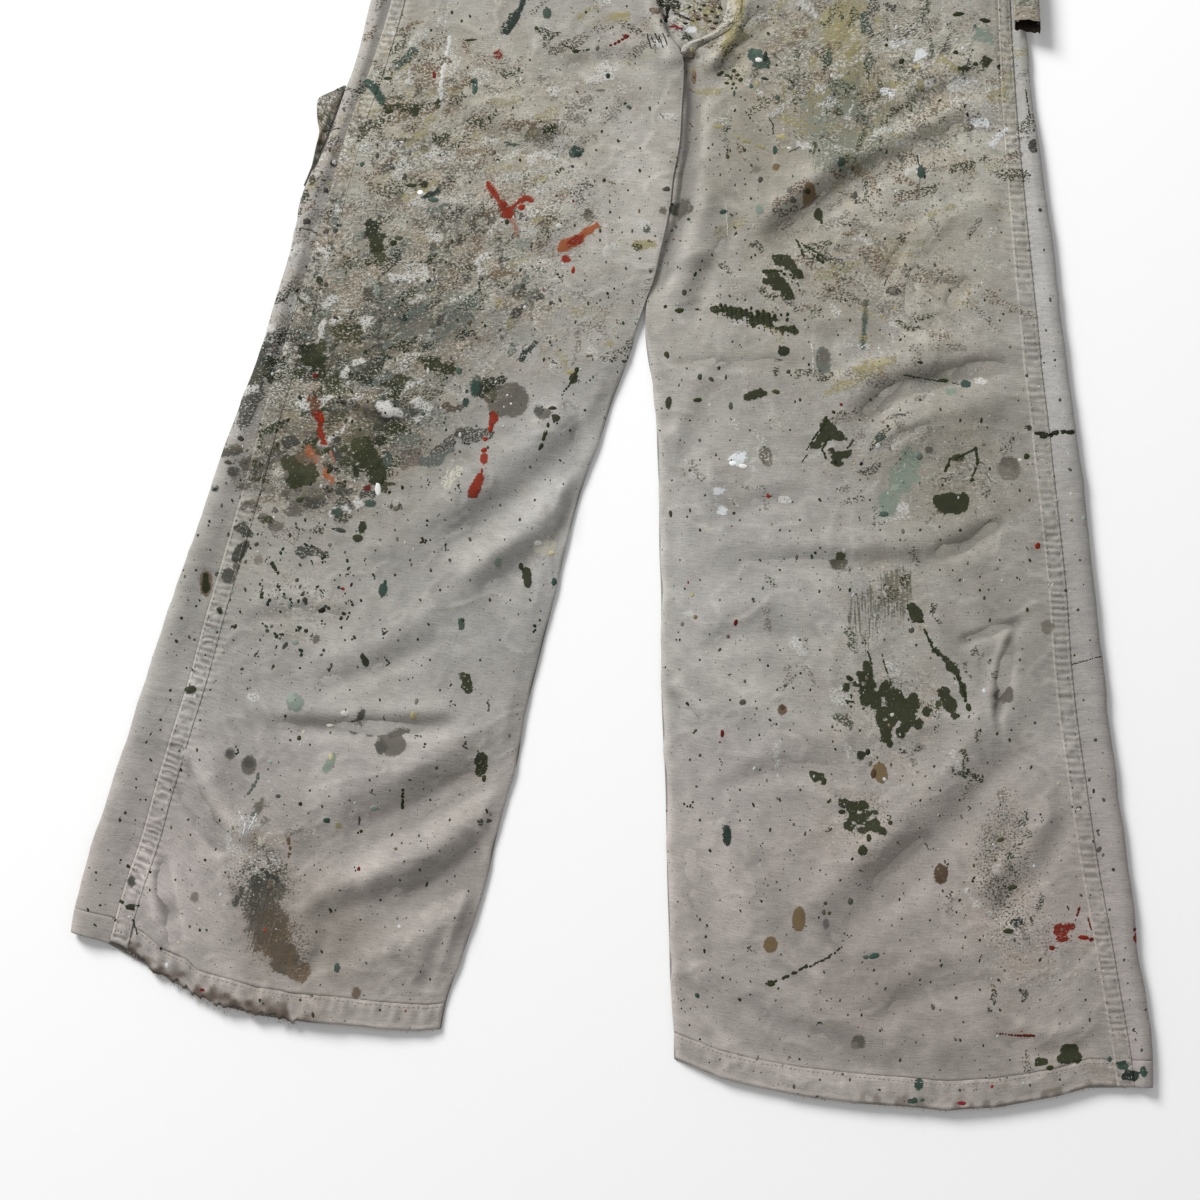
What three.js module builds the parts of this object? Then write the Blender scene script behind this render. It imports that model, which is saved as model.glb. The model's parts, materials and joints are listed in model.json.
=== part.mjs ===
// Painter's bib overalls, laid flat on their back. Millimetres, +X to the wearer's left,
// +Y towards the straps, +Z up out of the cloth. The underside lies on Z = 0.
// Each piece of cloth is a closed wall of even thickness; pieces are a small gap apart at seams.
import * as THREE from 'three';

// ---- driving dimensions -------------------------------------------------
const CLOTH = 1.4;          // wall of the canvas
const GAP = 0.3;            // air between neighbouring pieces
const FRONT_Z = 2.3;        // underside of the front layer
const HEM = 18;             // depth of the turned hems
const HEM_WALL = 2.0;       // folded cloth of the hems
const FELL = 13;            // width of the flat-felled side seam
const FELL_WALL = 1.0;
const FLY_FACING = 9;       // width of the folded fly edge
const LOFT = 3.4;           // how far the front layer billows at mid leg
const WAIST_Y = 254.2;      // waist seam
const WAISTBAND = 26;       // width of the waistband
const BIB_TOP_Y = 542;
const BACK_TOP_Y = 578;
const STRAP_TOP_Y = 725.2;
const STRAP_WIDTH = 42;
const STRAP_WALL = 2.0;
const BUTTON_D = 18;
const ROLL = 2.6;           // extra height of the folded outer edge
const ROWS = 26;            // rows of facets down each leg
const COLS = 12;            // columns of facets across each front leg

// ---- outlines, XY in millimetres ---------------------------------------
// R is the wearer's right leg (negative X), L the wearer's left.
const R_OUTER = [
  [-158.4, 254.2], [-163.4, 196.6], [-168.5, 131.8], [-174.2, 74.2], [-180.7, 45.4], [-190.8, 13.7],
  [-198.7, -8.6], [-205.9, -28.1], [-213.1, -44.6], [-220.3, -58.3], [-224.6, -69.8], [-227.5, -84.2],
  [-234, -113], [-243.4, -141.8], [-251.3, -170.6], [-267.1, -213.8], [-283, -257], [-297.4, -300.2],
  [-312.5, -343.4], [-327.6, -386.6], [-341.3, -429.8], [-355, -473], [-369.4, -516.2], [-382.3, -559.4],
  [-388.8, -586.8], [-390.2, -596.9],
];
const R_SEAM = [
  [-146.9, 254.2], [-149.8, 196.6], [-154.1, 131.8], [-159.1, 74.2], [-167, 47.5], [-175.7, 21.6],
  [-185.8, -4.3], [-194.4, -31], [-203.8, -64.1], [-210.2, -87.8], [-221, -123.8], [-233.3, -163.4],
  [-249.1, -213.8], [-262.8, -264.2], [-277.2, -314.6], [-295.2, -375.8], [-305.3, -413.3], [-318.2, -453.6],
  [-328.3, -486.7], [-340.6, -529.9], [-348.5, -552.2], [-356.4, -577.4], [-362.2, -601.2],
];
const R_INNER = [
  [51.1, 254.2], [40.3, 193], [31, 131.8], [33.8, 74.2], [36.7, 63.4], [39.6, 51.8], [45.4, 43.9],
  [49.7, 28.8], [48.2, -1.4], [46.1, -31.7], [41.8, -54.7], [39.6, -74.2], [36.7, -89.3], [32.4, -108],
  [28.1, -127.4], [23, -145.4], [18.7, -157.7], [10.8, -185], [0, -213.8], [-9.4, -242.6], [-20.2, -271.4],
  [-28.8, -300.2], [-36, -329], [-42.5, -357.8], [-49.7, -386.6], [-56.9, -415.4], [-64.1, -444.2],
  [-68.4, -473], [-77, -501.8], [-84.2, -530.6], [-90.7, -559.4], [-99.4, -588.2], [-109.4, -617],
  [-119.5, -645.8], [-122.4, -658.8], [-123.8, -667.4],
];
const R_HEM = [
  [-390.2, -596.9], [-371.5, -601.9], [-354.2, -607], [-339.8, -617], [-328.3, -627.8], [-311, -635.8],
  [-302.4, -644.4], [-285.1, -649.4], [-259.2, -656.6], [-233.3, -661], [-198.7, -663.8], [-164.2, -667.4],
  [-138.2, -668.9], [-123.8, -667.4],
];
const L_OUTER = [
  [288.7, 254.2], [293.8, 196.6], [296.6, 131.8], [296.6, 74.2], [299.5, 45.4], [301.7, 16.6],
  [305.3, -12.2], [309.6, -41], [313.2, -69.8], [317.5, -98.6], [321.1, -127.4], [324, -156.2],
  [328.3, -185], [331.9, -213.8], [335.5, -242.6], [339.8, -271.4], [342.7, -300.2], [345.6, -329],
  [349.2, -357.8], [352.1, -386.6], [355.7, -415.4], [357.8, -444.2], [362.9, -473], [365.8, -501.8],
  [370.1, -530.6], [373.7, -559.4], [377.3, -588.2], [380.2, -617], [385.2, -645.8], [389.5, -674.6],
  [390.2, -709.2],
];
const L_SEAM = [
  [276.5, 254.2], [280.1, 196.6], [283.7, 131.8], [287.3, 74.2], [288.7, 45.4], [293, -18], [297.4, -63.4],
  [303.1, -121], [306.7, -155.5], [311, -199.4], [314.6, -228.2], [318.2, -262.1], [324, -313.2],
  [328.3, -357.8], [331.2, -401], [334.8, -437], [342, -488.9], [350.6, -547.9], [359.3, -596.2],
  [367.9, -647.3], [374.4, -686.2], [377.3, -709.2],
];
const L_INNER = [
  [51.8, 254.2], [70.6, 189.4], [81.4, 146.2], [86.4, 103], [85, 74.2], [82.8, 62.6], [76.3, 53.3],
  [64.8, 46.8], [55.4, 43.2], [51.1, 38.2], [50.4, 28.8], [49, -1.4], [46.8, -31.7], [42.5, -54.7],
  [40.3, -74.2], [37.4, -89.3], [33.1, -108], [28.8, -127.4], [25.2, -145.4], [24.5, -163.4], [26.6, -185],
  [29.5, -199.4], [31, -213.8], [32.4, -228.2], [33.1, -249.8], [34.6, -285.8], [34.6, -314.6], [36, -357.8],
  [36, -415.4], [37.4, -458.6], [38.9, -487.4], [39.6, -516.2], [40.3, -559.4], [41.8, -602.6],
  [42.5, -631.4], [43.9, -653], [45.4, -674.6], [45.4, -689],
];
const L_HEM = [
  [45.4, -689], [57.6, -694.1], [80.6, -703.4], [103.7, -709.2], [138.2, -715.7], [172.8, -720],
  [207.4, -722.9], [241.9, -725.8], [276.5, -723.6], [299.5, -720], [322.6, -715.7], [345.6, -708.5],
  [368.6, -709.2], [390.2, -709.2],
];
const R_BACK_IN = [
  [50.4, 254.2], [50.4, 146.2], [50.4, 74.2], [50.4, 38.2], [49.7, 28.8], [48.2, -1.4], [46.1, -31.7],
  [41.8, -54.7], [39.6, -74.2], [36.7, -89.3], [32.4, -108], [28.1, -127.4], [23, -145.4], [18.7, -157.7],
  [10.8, -185], [0, -213.8], [-9.4, -242.6], [-20.2, -271.4], [-28.8, -300.2], [-36, -329], [-42.5, -357.8],
  [-49.7, -386.6], [-56.9, -415.4], [-64.1, -444.2], [-68.4, -473], [-77, -501.8], [-84.2, -530.6],
  [-90.7, -559.4], [-99.4, -588.2], [-109.4, -617], [-119.5, -645.8], [-122.4, -658.8], [-123.8, -667.4],
];
const L_BACK_IN = [
  [51.8, 254.2], [51.8, 146.2], [51.8, 74.2], [51.8, 38.2], [50.4, 28.8], [49, -1.4], [46.8, -31.7],
  [42.5, -54.7], [40.3, -74.2], [37.4, -89.3], [33.1, -108], [28.8, -127.4], [25.2, -145.4], [24.5, -163.4],
  [26.6, -185], [29.5, -199.4], [31, -213.8], [32.4, -228.2], [33.1, -249.8], [34.6, -285.8], [34.6, -314.6],
  [36, -357.8], [36, -415.4], [37.4, -458.6], [38.9, -487.4], [39.6, -516.2], [40.3, -559.4], [41.8, -602.6],
  [42.5, -631.4], [43.9, -653], [45.4, -674.6], [45.4, -689],
];

// Largest folds of the front layer: a spine, its height (ridge > 0, trough < 0) and its half width.
const FOLDS = [
  [-3, 8.6, [[-9.4, -236.9], [-53.3, -273.6], [-130.3, -329]]],
  [5, 10.8, [[-23, -210.2], [-77, -258.5], [-152.6, -311]]],
  [4, 10.1, [[-17.3, -267.8], [-59, -303.8], [-116.6, -350.6]]],
  [3, 7.2, [[-208.8, -206.6], [-149, -225.4]]],
  [3.2, 7.9, [[-257, -434.2], [-181.4, -438.5], [-103.7, -435.6]]],
  [-2.5, 5.8, [[-257, -447.1], [-181.4, -450], [-103.7, -445.7]]],
  [-3, 6.5, [[-313.9, -457.9], [-311.8, -482.4], [-288.7, -522], [-276.5, -538.6]]],
  [4, 9.4, [[-293, -455], [-285.8, -494.6], [-260.6, -534.2]]],
  [5, 13.0, [[-224.6, -505.4], [-159.8, -481.7], [-87.8, -450]]],
  [-4, 10.1, [[-208.1, -534.2], [-145.4, -510.5], [-80.6, -480.2]]],
  [5, 11.5, [[-195.8, -563], [-138.2, -537.8], [-80.6, -501.8]]],
  [-4, 10.1, [[-157, -579.6], [-116.6, -555.8], [-80.6, -527.8]]],
  [4, 11.5, [[-152.6, -620.6], [-95, -566.6]]],
  [-3, 10.1, [[106.6, -113], [146.2, -80.6], [185.8, -41]]],
  [3, 10.1, [[88.6, -95], [135.4, -55.4], [171.4, -26.6]]],
  [5, 8.6, [[164.2, -215.3], [203.8, -190.8], [290.2, -174.2]]],
  [-4, 6.5, [[175, -234], [210.2, -206.6], [292.3, -187.9]]],
  [4, 10.1, [[189.4, -251.3], [225.4, -224.6], [293.8, -210.2]]],
  [-3, 7.2, [[77, -195.8], [63.4, -228.2], [47.5, -265.7]]],
  [3, 8.6, [[74.2, -316.8], [178.6, -316.8], [229, -314.6], [286.6, -287.3]]],
  [-2.5, 6.5, [[74.2, -330.5], [178.6, -330.5], [232.6, -326.2], [286.6, -298.8]]],
  [-4, 9.4, [[43.9, -516.2], [77.8, -612.7], [109.4, -655.2], [216.7, -702]]],
  [5, 12.2, [[65.5, -501.8], [99.4, -591.8], [139, -635], [229, -680.4]]],
  [-4, 10.8, [[305.3, -450.7], [239.8, -529.2], [178.6, -581]]],
  [4, 12.2, [[290.2, -422.6], [221.8, -498.2], [162.7, -550.8]]],
  [3.5, 8.6, [[69.1, -33.8], [59, -87.8], [50.4, -123.1], [37.4, -144]]],
];

// ---- helpers -------------------------------------------------------------
const lerp = (a, b, t) => a + (b - a) * t;
const mix = (p, q, t) => [lerp(p[0], q[0], t), lerp(p[1], q[1], t)];
const clamp = (x, a = 0, b = 1) => Math.min(b, Math.max(a, x));
const smooth = (a, b, x) => { const t = clamp((x - a) / (b - a)); return t * t * (3 - 2 * t); };

// X of a top-to-bottom outline at height y
function xAt(curve, y) {
  if (y >= curve[0][1]) return curve[0][0];
  for (let i = 1; i < curve.length; i++) {
    if (y >= curve[i][1]) {
      const [x0, y0] = curve[i - 1], [x1, y1] = curve[i];
      return lerp(x0, x1, (y - y0) / (y1 - y0 || 1));
    }
  }
  return curve[curve.length - 1][0];
}
// point of an outline at a fraction v of its height
function along(curve, v) {
  const y = lerp(curve[0][1], curve[curve.length - 1][1], v);
  return [xAt(curve, y), y];
}
// Y of a hem line at x
function yAt(hem, x) {
  const s = [...hem].sort((p, q) => p[0] - q[0]);
  if (x <= s[0][0]) return s[0][1];
  for (let i = 1; i < s.length; i++) if (x <= s[i][0]) {
    const t = (x - s[i - 1][0]) / (s[i][0] - s[i - 1][0] || 1);
    return lerp(s[i - 1][1], s[i][1], t);
  }
  return s[s.length - 1][1];
}

function segDist(x, y, a, b) {
  const dx = b[0] - a[0], dy = b[1] - a[1], l2 = dx * dx + dy * dy;
  const t = clamp(((x - a[0]) * dx + (y - a[1]) * dy) / l2);
  return [Math.hypot(x - a[0] - t * dx, y - a[1] - t * dy), t];
}
// height added by the folds at a point
function folds(x, y) {
  let z = 0;
  for (const [amp, w, pts] of FOLDS) {
    let best = 1e9, where = 0;
    for (let i = 1; i < pts.length; i++) {
      const [d, t] = segDist(x, y, pts[i - 1], pts[i]);
      if (d < best) { best = d; where = (i - 1 + t) / (pts.length - 1); }
    }
    const end = Math.min(smooth(0, 0.22, where), smooth(0, 0.22, 1 - where));
    z += amp * Math.exp(-(best * best) / (2 * w * w)) * (0.25 + 0.75 * end);
  }
  return z;
}
// the layer lies a little higher over the fly piece
const flyRaise = (x, y) => 1.4 * smooth(24, 42, y) * (1 - smooth(228, 246, y)) * (1 - smooth(44, 66, Math.abs(x - 58)));

// underside of the front layer; u runs from the inseam or centre (0) to the side seam (1)
function frontZ(u, v, x, y) {
  const across = Math.pow(Math.sin(Math.PI * clamp(u, 0.0, 1)), 0.6);
  const leg = y < -120 ? 1 : 0;
  const loft = LOFT * across * smooth(0.0, 0.16, v) + 1.2 * smooth(0, 0.2, v);
  const edge = smooth(0, 0.06, u);
  let z = FRONT_Z + loft + folds(x, y) * lerp(0.35, 1, edge) * smooth(0.0, 0.08, v);
  if (leg) z = lerp(Math.min(z, FRONT_Z + 0.4), z, edge);
  z = Math.max(z, FRONT_Z + 0.25 * Math.exp((z - FRONT_Z) / 3) * 0.5);
  return Math.max(z, FRONT_Z) + flyRaise(x, y);
}

// patch of a leg panel: inner outline, outer outline, hem
function patch(inner, outer, hem) {
  return (u, v) => {
    const a = along(inner, v), b = along(outer, v);
    const a1 = inner[inner.length - 1], b1 = outer[outer.length - 1];
    const p = mix(a, b, u);
    const hx = lerp(a1[0], b1[0], u), hy = lerp(a1[1], b1[1], u);
    p[1] += (yAt(hem, hx) - hy) * Math.pow(v, 4);
    return p;
  };
}
const widthAt = (P, v) => { const a = P(0, v), b = P(1, v); return Math.hypot(a[0] - b[0], a[1] - b[1]); };

// closed wall from two matching grids of points, top[i][j] above bottom[i][j]
function wall(top, bottom) {
  const n = top.length, m = top[0].length, pos = [], idx = [];
  for (const g of [top, bottom]) for (const row of g) for (const p of row) pos.push(...p);
  const T = (i, j) => i * m + j, B = (i, j) => n * m + i * m + j;
  const area = (() => { const a = top[0][0], b = top[0][m - 1], c = top[n - 1][0];
    return (b[0] - a[0]) * (c[1] - a[1]) - (b[1] - a[1]) * (c[0] - a[0]); })();
  const quad = (a, b, c, d) => idx.push(a, b, c, a, c, d);
  for (let i = 0; i < n - 1; i++) for (let j = 0; j < m - 1; j++) {
    quad(T(i, j), T(i, j + 1), T(i + 1, j + 1), T(i + 1, j));
    quad(B(i, j), B(i + 1, j), B(i + 1, j + 1), B(i, j + 1));
  }
  for (let j = 0; j < m - 1; j++) {
    quad(T(0, j), B(0, j), B(0, j + 1), T(0, j + 1));
    quad(T(n - 1, j), T(n - 1, j + 1), B(n - 1, j + 1), B(n - 1, j));
  }
  for (let i = 0; i < n - 1; i++) {
    quad(T(i, 0), T(i + 1, 0), B(i + 1, 0), B(i, 0));
    quad(T(i, m - 1), B(i, m - 1), B(i + 1, m - 1), T(i + 1, m - 1));
  }
  if (area < 0) for (let k = 0; k < idx.length; k += 3) [idx[k + 1], idx[k + 2]] = [idx[k + 2], idx[k + 1]];
  return geometry(pos, idx);
}
// closed tube of rings; each ring is a closed loop of points
function rings(list, capped = true, closed = false) {
  const n = list.length, m = list[0].length, pos = list.flat(2), idx = [];
  for (let i = 0; i < n - (closed ? 0 : 1); i++) for (let j = 0; j < m; j++) {
    const i1 = (i + 1) % n, j1 = (j + 1) % m;
    const a = i * m + j, b = i * m + j1, c = i1 * m + j1, d = i1 * m + j;
    idx.push(a, b, c, a, c, d);
  }
  return { pos, idx, n, m };
}
function geometry(pos, idx) {
  const g = new THREE.BufferGeometry();
  g.setAttribute('position', new THREE.Float32BufferAttribute(pos, 3));
  g.setIndex(idx);
  g.computeVertexNormals();
  return g;
}
function volume(pos, idx) {
  let v = 0;
  for (let k = 0; k < idx.length; k += 3) {
    const [a, b, c] = [idx[k], idx[k + 1], idx[k + 2]].map((i) => pos.slice(3 * i, 3 * i + 3));
    v += a[0] * (b[1] * c[2] - b[2] * c[1]) - a[1] * (b[0] * c[2] - b[2] * c[0]) + a[2] * (b[0] * c[1] - b[1] * c[0]);
  }
  return v / 6;
}
function outward(pos, idx) {
  if (volume(pos, idx) < 0) for (let k = 0; k < idx.length; k += 3) [idx[k + 1], idx[k + 2]] = [idx[k + 2], idx[k + 1]];
  return geometry(pos, idx);
}

const model = new THREE.Group();
function add(name, geo, color, roughness = 0.95, metalness = 0) {
  const mesh = new THREE.Mesh(geo, new THREE.MeshStandardMaterial({ color, roughness, metalness }));
  mesh.name = name;
  model.add(mesh);
  return mesh;
}
const CANVAS = 0xa8a29c, CANVAS_DIRTY = 0x9d968b, PAINTED = 0x6a635a, METAL = 0x8d8a82;

// ---- leg fronts ------------------------------------------------------------
const vHem = 1 - HEM / 900, vPanelEnd = vHem - GAP / 900 * 1.5;
const rowV = []; for (let i = 0; i <= ROWS; i++) rowV.push(vPanelEnd * i / ROWS);
// an extra early row keeps the waistband on facets of its own
rowV.splice(1, 0, (WAISTBAND / 2 + 1) / 900);
rowV.sort((a, b) => a - b);

function frontGrid(P, vs) {
  return vs.map((v) => {
    const w = widthAt(P, v), us = [0, FLY_FACING / w];
    for (let k = 1; k < COLS - 1; k++) us.push(lerp(FLY_FACING / w, 1 - FELL / w, k / (COLS - 1)));
    us.push(1 - FELL / w, 1);
    return us.map((u) => { const [x, y] = P(u, v); return [x, y, frontZ(u, v, x, y)]; });
  });
}
const lift = (grid, h) => grid.map((r) => r.map(([x, y, z]) => [x, y, z + h]));
const cut = (grid, i0, i1, j0, j1) => grid.slice(i0, i1 + 1).map((r) => r.slice(j0, j1 + 1));

const legs = {
  r: { inner: R_INNER, seam: R_SEAM, outer: R_OUTER, back: R_BACK_IN, hem: R_HEM },
  l: { inner: L_INNER, seam: L_SEAM, outer: L_OUTER, back: L_BACK_IN, hem: L_HEM },
};
for (const [side, leg] of Object.entries(legs)) {
  const sgn = side === 'r' ? 1 : -1;
  // the front stops just short of the side seam line
  const seam = leg.seam.map(([x, y]) => [x + sgn * 0.25, y]);
  const P = patch(leg.inner, seam, leg.hem);
  const grid = frontGrid(P, rowV);
  add(`front_leg_${side}`, wall(lift(grid, CLOTH), grid), CANVAS);

  const hemGrid = frontGrid(P, [vHem, (1 + vHem) / 2, 1]).map((r) => r.map(([x, y, z]) => [x, y, Math.max(z, FRONT_Z)]));
  add(`hem_front_${side}`, wall(lift(hemGrid, HEM_WALL), hemGrid), CANVAS_DIRTY);

  const m = grid[0].length;
  const fell = lift(cut(grid, 2, grid.length - 1, m - 2, m - 1), CLOTH + GAP);
  add(`side_fell_${side}`, wall(lift(fell, FELL_WALL), fell), CANVAS_DIRTY);

  if (side === 'l') {
    const last = grid.findIndex((r) => r[0][1] < 46);
    const facing = lift(cut(grid, 2, last, 0, 1), CLOTH + GAP);
    add('fly_facing', wall(lift(facing, FELL_WALL), facing), CANVAS_DIRTY);
  }

  // ---- leg back: flat underneath, rolled over the outer edge up to the side seam
  const B = patch(leg.back, leg.outer, leg.hem);
  const section = (v, wallT) => {
    const [ax, ay] = B(0, v), [bx, by] = B(1, v);
    let [sx, sy] = P(1, v);
    sx -= sgn * 0.5;
    const L = Math.hypot(bx - ax, by - ay), dx = (bx - ax) / L, dy = (by - ay) / L;
    const zs = frontZ(1, v, sx, sy) + wallT;
    const w = Math.hypot(bx - sx, by - sy);
    const a = Math.min(7, w * 0.45);
    const H = zs + ROLL * smooth(0, 0.05, v) * smooth(8, 16, w) + 0.6;
    const out = [], inn = [];
    for (const t of [0, 0.25, 0.5, 0.75, 1]) {
      const [x, y] = B(t * (1 - a / L), v);
      out.push([x, y, 0]);
      inn.push([x, y, wallT]);
    }
    const cx = bx - dx * a, cy = by - dy * a, b = H / 2;
    for (const deg of [-50, -15, 20, 55]) {
      const c = Math.cos(deg * Math.PI / 180), s = Math.sin(deg * Math.PI / 180);
      out.push([cx + dx * a * c, cy + dy * a * c, b + b * s]);
      inn.push([cx + dx * (a - wallT) * c, cy + dy * (a - wallT) * c, b + (b - wallT) * s]);
    }
    for (const t of [0, 0.5, 1]) {
      const x = lerp(cx, sx, t), y = lerp(cy, sy, t);
      const z = t === 1 ? zs : lerp(H, zs, smooth(0, 1, t));
      out.push([x, y, z]);
      inn.push([x, y, z - wallT]);
    }
    return [out, inn];
  };
  const sheetOf = (vs, wallT) => {
    const loops = vs.map((v) => { const [o, i] = section(v, wallT); return [...o, ...[...i].reverse()]; });
    const { pos, idx, n, m: k } = rings(loops);
    const half = k / 2;
    for (const [ring, flip] of [[0, true], [n - 1, false]]) for (let j = 0; j < half - 1; j++) {
      const p = ring * k;
      const q = [p + j, p + j + 1, p + k - 2 - j, p + k - 1 - j];
      const tri = [[q[0], q[1], q[2]], [q[0], q[2], q[3]]];
      for (const [a, b, c] of tri) flip ? idx.push(a, c, b) : idx.push(a, b, c);
    }
    return outward(pos, idx);
  };
  add(`back_leg_${side}`, sheetOf(rowV.filter((_, i) => i !== 1), CLOTH), CANVAS);
  add(`hem_back_${side}`, sheetOf([vHem, (1 + vHem) / 2, 1], CLOTH + 0.3), CANVAS_DIRTY);
}

// ---- simple sheets between two side outlines --------------------------------
function sheet(left, right, ys, cols, z, t) {
  const bottom = ys.map((y) => {
    const l = xAt(left, y), r = xAt(right, y), row = [];
    for (let j = 0; j <= cols; j++) { const x = lerp(l, r, j / cols); row.push([x, y, z(x, y, j / cols)]); }
    return row;
  });
  return wall(lift(bottom, t), bottom);
}
const steps = (a, b, n) => Array.from({ length: n + 1 }, (_, i) => lerp(a, b, i / n));

// under-fly piece, seen through the open fly
const FLY_L = [[20.2, 234], [20.2, 117.4], [25.9, 74.2], [37.4, 45.4], [41.8, 33.8]];
const FLY_R = [[74.2, 234], [92.2, 182], [100.8, 117.4], [97.9, 74.2], [79.2, 45.4], [59, 33.8]];
add('fly_under', sheet(FLY_L, FLY_R, steps(234, 34, 9), 4, () => CLOTH + GAP, 1.1), PAINTED);

// waistband over the waist seam
const waistL = R_SEAM[0][0] + 0.8, waistR = L_SEAM[0][0] - 0.8;
add('waistband', sheet([[waistL, 300], [waistL - 1.5, 230]], [[waistR, 300], [waistR + 1.5, 230]],
  [WAIST_Y + WAISTBAND / 2, WAIST_Y, WAIST_Y - WAISTBAND / 2], 10,
  (x, y, f) => FRONT_Z + CLOTH + GAP + 0.5, 1.6), CANVAS);

// bib front and its turned top hem
const BIB_L = [[-76.3, 542], [-75.6, 462.6], [-69.8, 383.8], [-82.1, 322.6], [-105.8, 286.6], [-134.6, 268], [-146, 254.6]]
  .sort((p, q) => q[1] - p[1]);
const CENTRE_X = 66;
const BIB_EDGE = [[134, 542], [137, 462.6], [141.5, 383.8], [153, 322.6], [172, 286.6], [196, 268], [210, 254.6]];
const bibL = BIB_EDGE.map(([x, y]) => [CENTRE_X - x, y]), bibR = BIB_EDGE.map(([x, y]) => [CENTRE_X + x, y]);
const bibLoft = (x, y) => FRONT_Z + 2.2 * smooth(WAIST_Y + 16, 330, y) * (1 - smooth(470, 518, y)) * Math.cos(Math.PI * clamp((x - CENTRE_X) / 300, -0.5, 0.5));
const bibYs = [542, 523.5, 500, 470, 440, 410, 380, 350, 322.6, 300, 286.6, 276, 268, 254.6];
add('bib', sheet(bibL, bibR, bibYs, 10, bibLoft, CLOTH), CANVAS);
add('bib_hem', sheet(bibL, bibR, [542, 523.5], 10, (x, y) => FRONT_Z + CLOTH + GAP, 1.0), CANVAS_DIRTY);

// high back with armhole curves
const BACK_EDGE = [[103, 578], [114, 548], [123, 520.6], [139, 463], [162, 405.4], [188, 347.8], [215, 290.2], [223.4, 254.6]];
const backL = BACK_EDGE.map(([x, y]) => [CENTRE_X - x, y]), backR = BACK_EDGE.map(([x, y]) => [CENTRE_X + x, y]);
add('back_bib', sheet(backL, backR, [578, 548, 520.6, 492, 463, 434, 405.4, 376, 347.8, 319, 290.2, 272, 254.6], 8, () => 0, CLOTH), CANVAS);

// ---- shoulder straps: up from the back, folded over, down to the bib ----------
function strap(side) {
  const s = side === 'r' ? -1 : 1;
  const low = CENTRE_X + s * 74, fold = CENTRE_X + s * 86, end = CENTRE_X + s * 106;
  const R = 3.6, yc = STRAP_TOP_Y - R, h = STRAP_WALL;
  // [y, z of centre line, x of centre line]
  const path = [[560, CLOTH + GAP + h / 2, low], [578, CLOTH + GAP + h / 2, low], [594, h / 2, low], [650, h / 2, lerp(low, fold, 0.5)], [yc, h / 2, fold]];
  for (const deg of [-45, 0, 45]) path.push([yc + (R - h / 2) * Math.cos(deg * Math.PI / 180), R + (R - h / 2) * Math.sin(deg * Math.PI / 180), fold]);
  path.push([yc, 2 * R - h / 2, fold], [680, 7.6, lerp(fold, end, 0.25)], [620, 7.0, lerp(fold, end, 0.6)], [578, 7.2, lerp(fold, end, 0.85)], [548, 7.4, end]);
  const top = [], bottom = [];
  path.forEach(([y, z, x], i) => {
    const a = path[Math.max(0, i - 1)], b = path[Math.min(path.length - 1, i + 1)];
    const l = Math.hypot(b[0] - a[0], b[1] - a[1]), ny = -(b[1] - a[1]) / l, nz = (b[0] - a[0]) / l;
    const row = (k) => [-1, 0, 1].map((e) => [x + e * STRAP_WIDTH / 2, y + k * ny * h / 2, z + k * nz * h / 2]);
    top.push(row(1)); bottom.push(row(-1));
  });
  const g = wall(top, bottom), pos = Array.from(g.attributes.position.array), idx = Array.from(g.index.array);
  add(`strap_${side}`, outward(pos, idx), CANVAS);

  // wire buckle: a wide bar for the strap, closing to a loop for the button
  const bx = end, by = 533, bar = 2.4;
  const outline = (g2) => {
    const sh = [];
    const w = 23 - g2, top2 = 14 - g2;
    sh.push([-w, top2], [w, top2], [w, 4], [12.5 - g2, -6]);
    for (let k = 0; k <= 8; k++) { const a = -Math.PI * 0.06 - Math.PI * 0.88 * k / 8; sh.push([(12.4 - g2) * Math.cos(a), -9 + (12.4 - g2) * Math.sin(a)]); }
    sh.push([-12.5 + g2, -6], [-w, 4]);
    return sh.map(([x, y]) => new THREE.Vector2(x, y));
  };
  const shape = new THREE.Shape(outline(0));
  shape.holes.push(new THREE.Path(outline(bar).reverse()));
  const buckle = add(`buckle_${side}`, new THREE.ExtrudeGeometry(shape, { depth: 2.2, bevelEnabled: false }), METAL, 0.4, 0.9);
  buckle.position.set(bx, by - 0.2, 5.4);
  button(`bib_button_${side}`, bx, by - 9.2, 5.4, 15);
}
// flat metal button with a domed rim
function button(name, x, y, z, d = BUTTON_D) {
  const r = d / 2;
  const prof = [[0, 0], [r * 0.55, 0], [r * 0.6, 1.0], [r, 1.4], [r, 2.4], [r * 0.8, 3.2], [r * 0.45, 2.8], [0, 2.7]];
  const g = new THREE.LatheGeometry(prof.map(([a, b]) => new THREE.Vector2(a, b)), 16);
  g.rotateX(Math.PI / 2);
  const mesh = add(name, g, METAL, 0.4, 0.9);
  mesh.position.set(x, y, z);
}
strap('r'); strap('l');
button('side_button_r', waistL + 14, WAIST_Y, 6.4);
button('side_button_l', waistR - 14, WAIST_Y, 6.4);

// ---- corner of the rule pocket standing out at the hip -------------------------
const POCKET_IN = [[-192.2, 13], [-200.2, -8.6], [-207.4, -28.1], [-214.6, -44.6], [-221.8, -58.3]];
const POCKET_OUT = [[-203, 9], [-212.4, 4], [-213, -10], [-211, -20], [-214.6, -34], [-217, -46], [-222.6, -58.3]];
add('rule_pocket_r', sheet(POCKET_OUT, POCKET_IN, [13, 9, 4, -4, -14, -24, -34, -46, -58.3], 3,
  (x, y, f) => 2.2 * Math.sin(Math.PI * clamp((13 - y) / 72)) * (0.3 + 0.7 * (1 - f)), 2.4), PAINTED);

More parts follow.
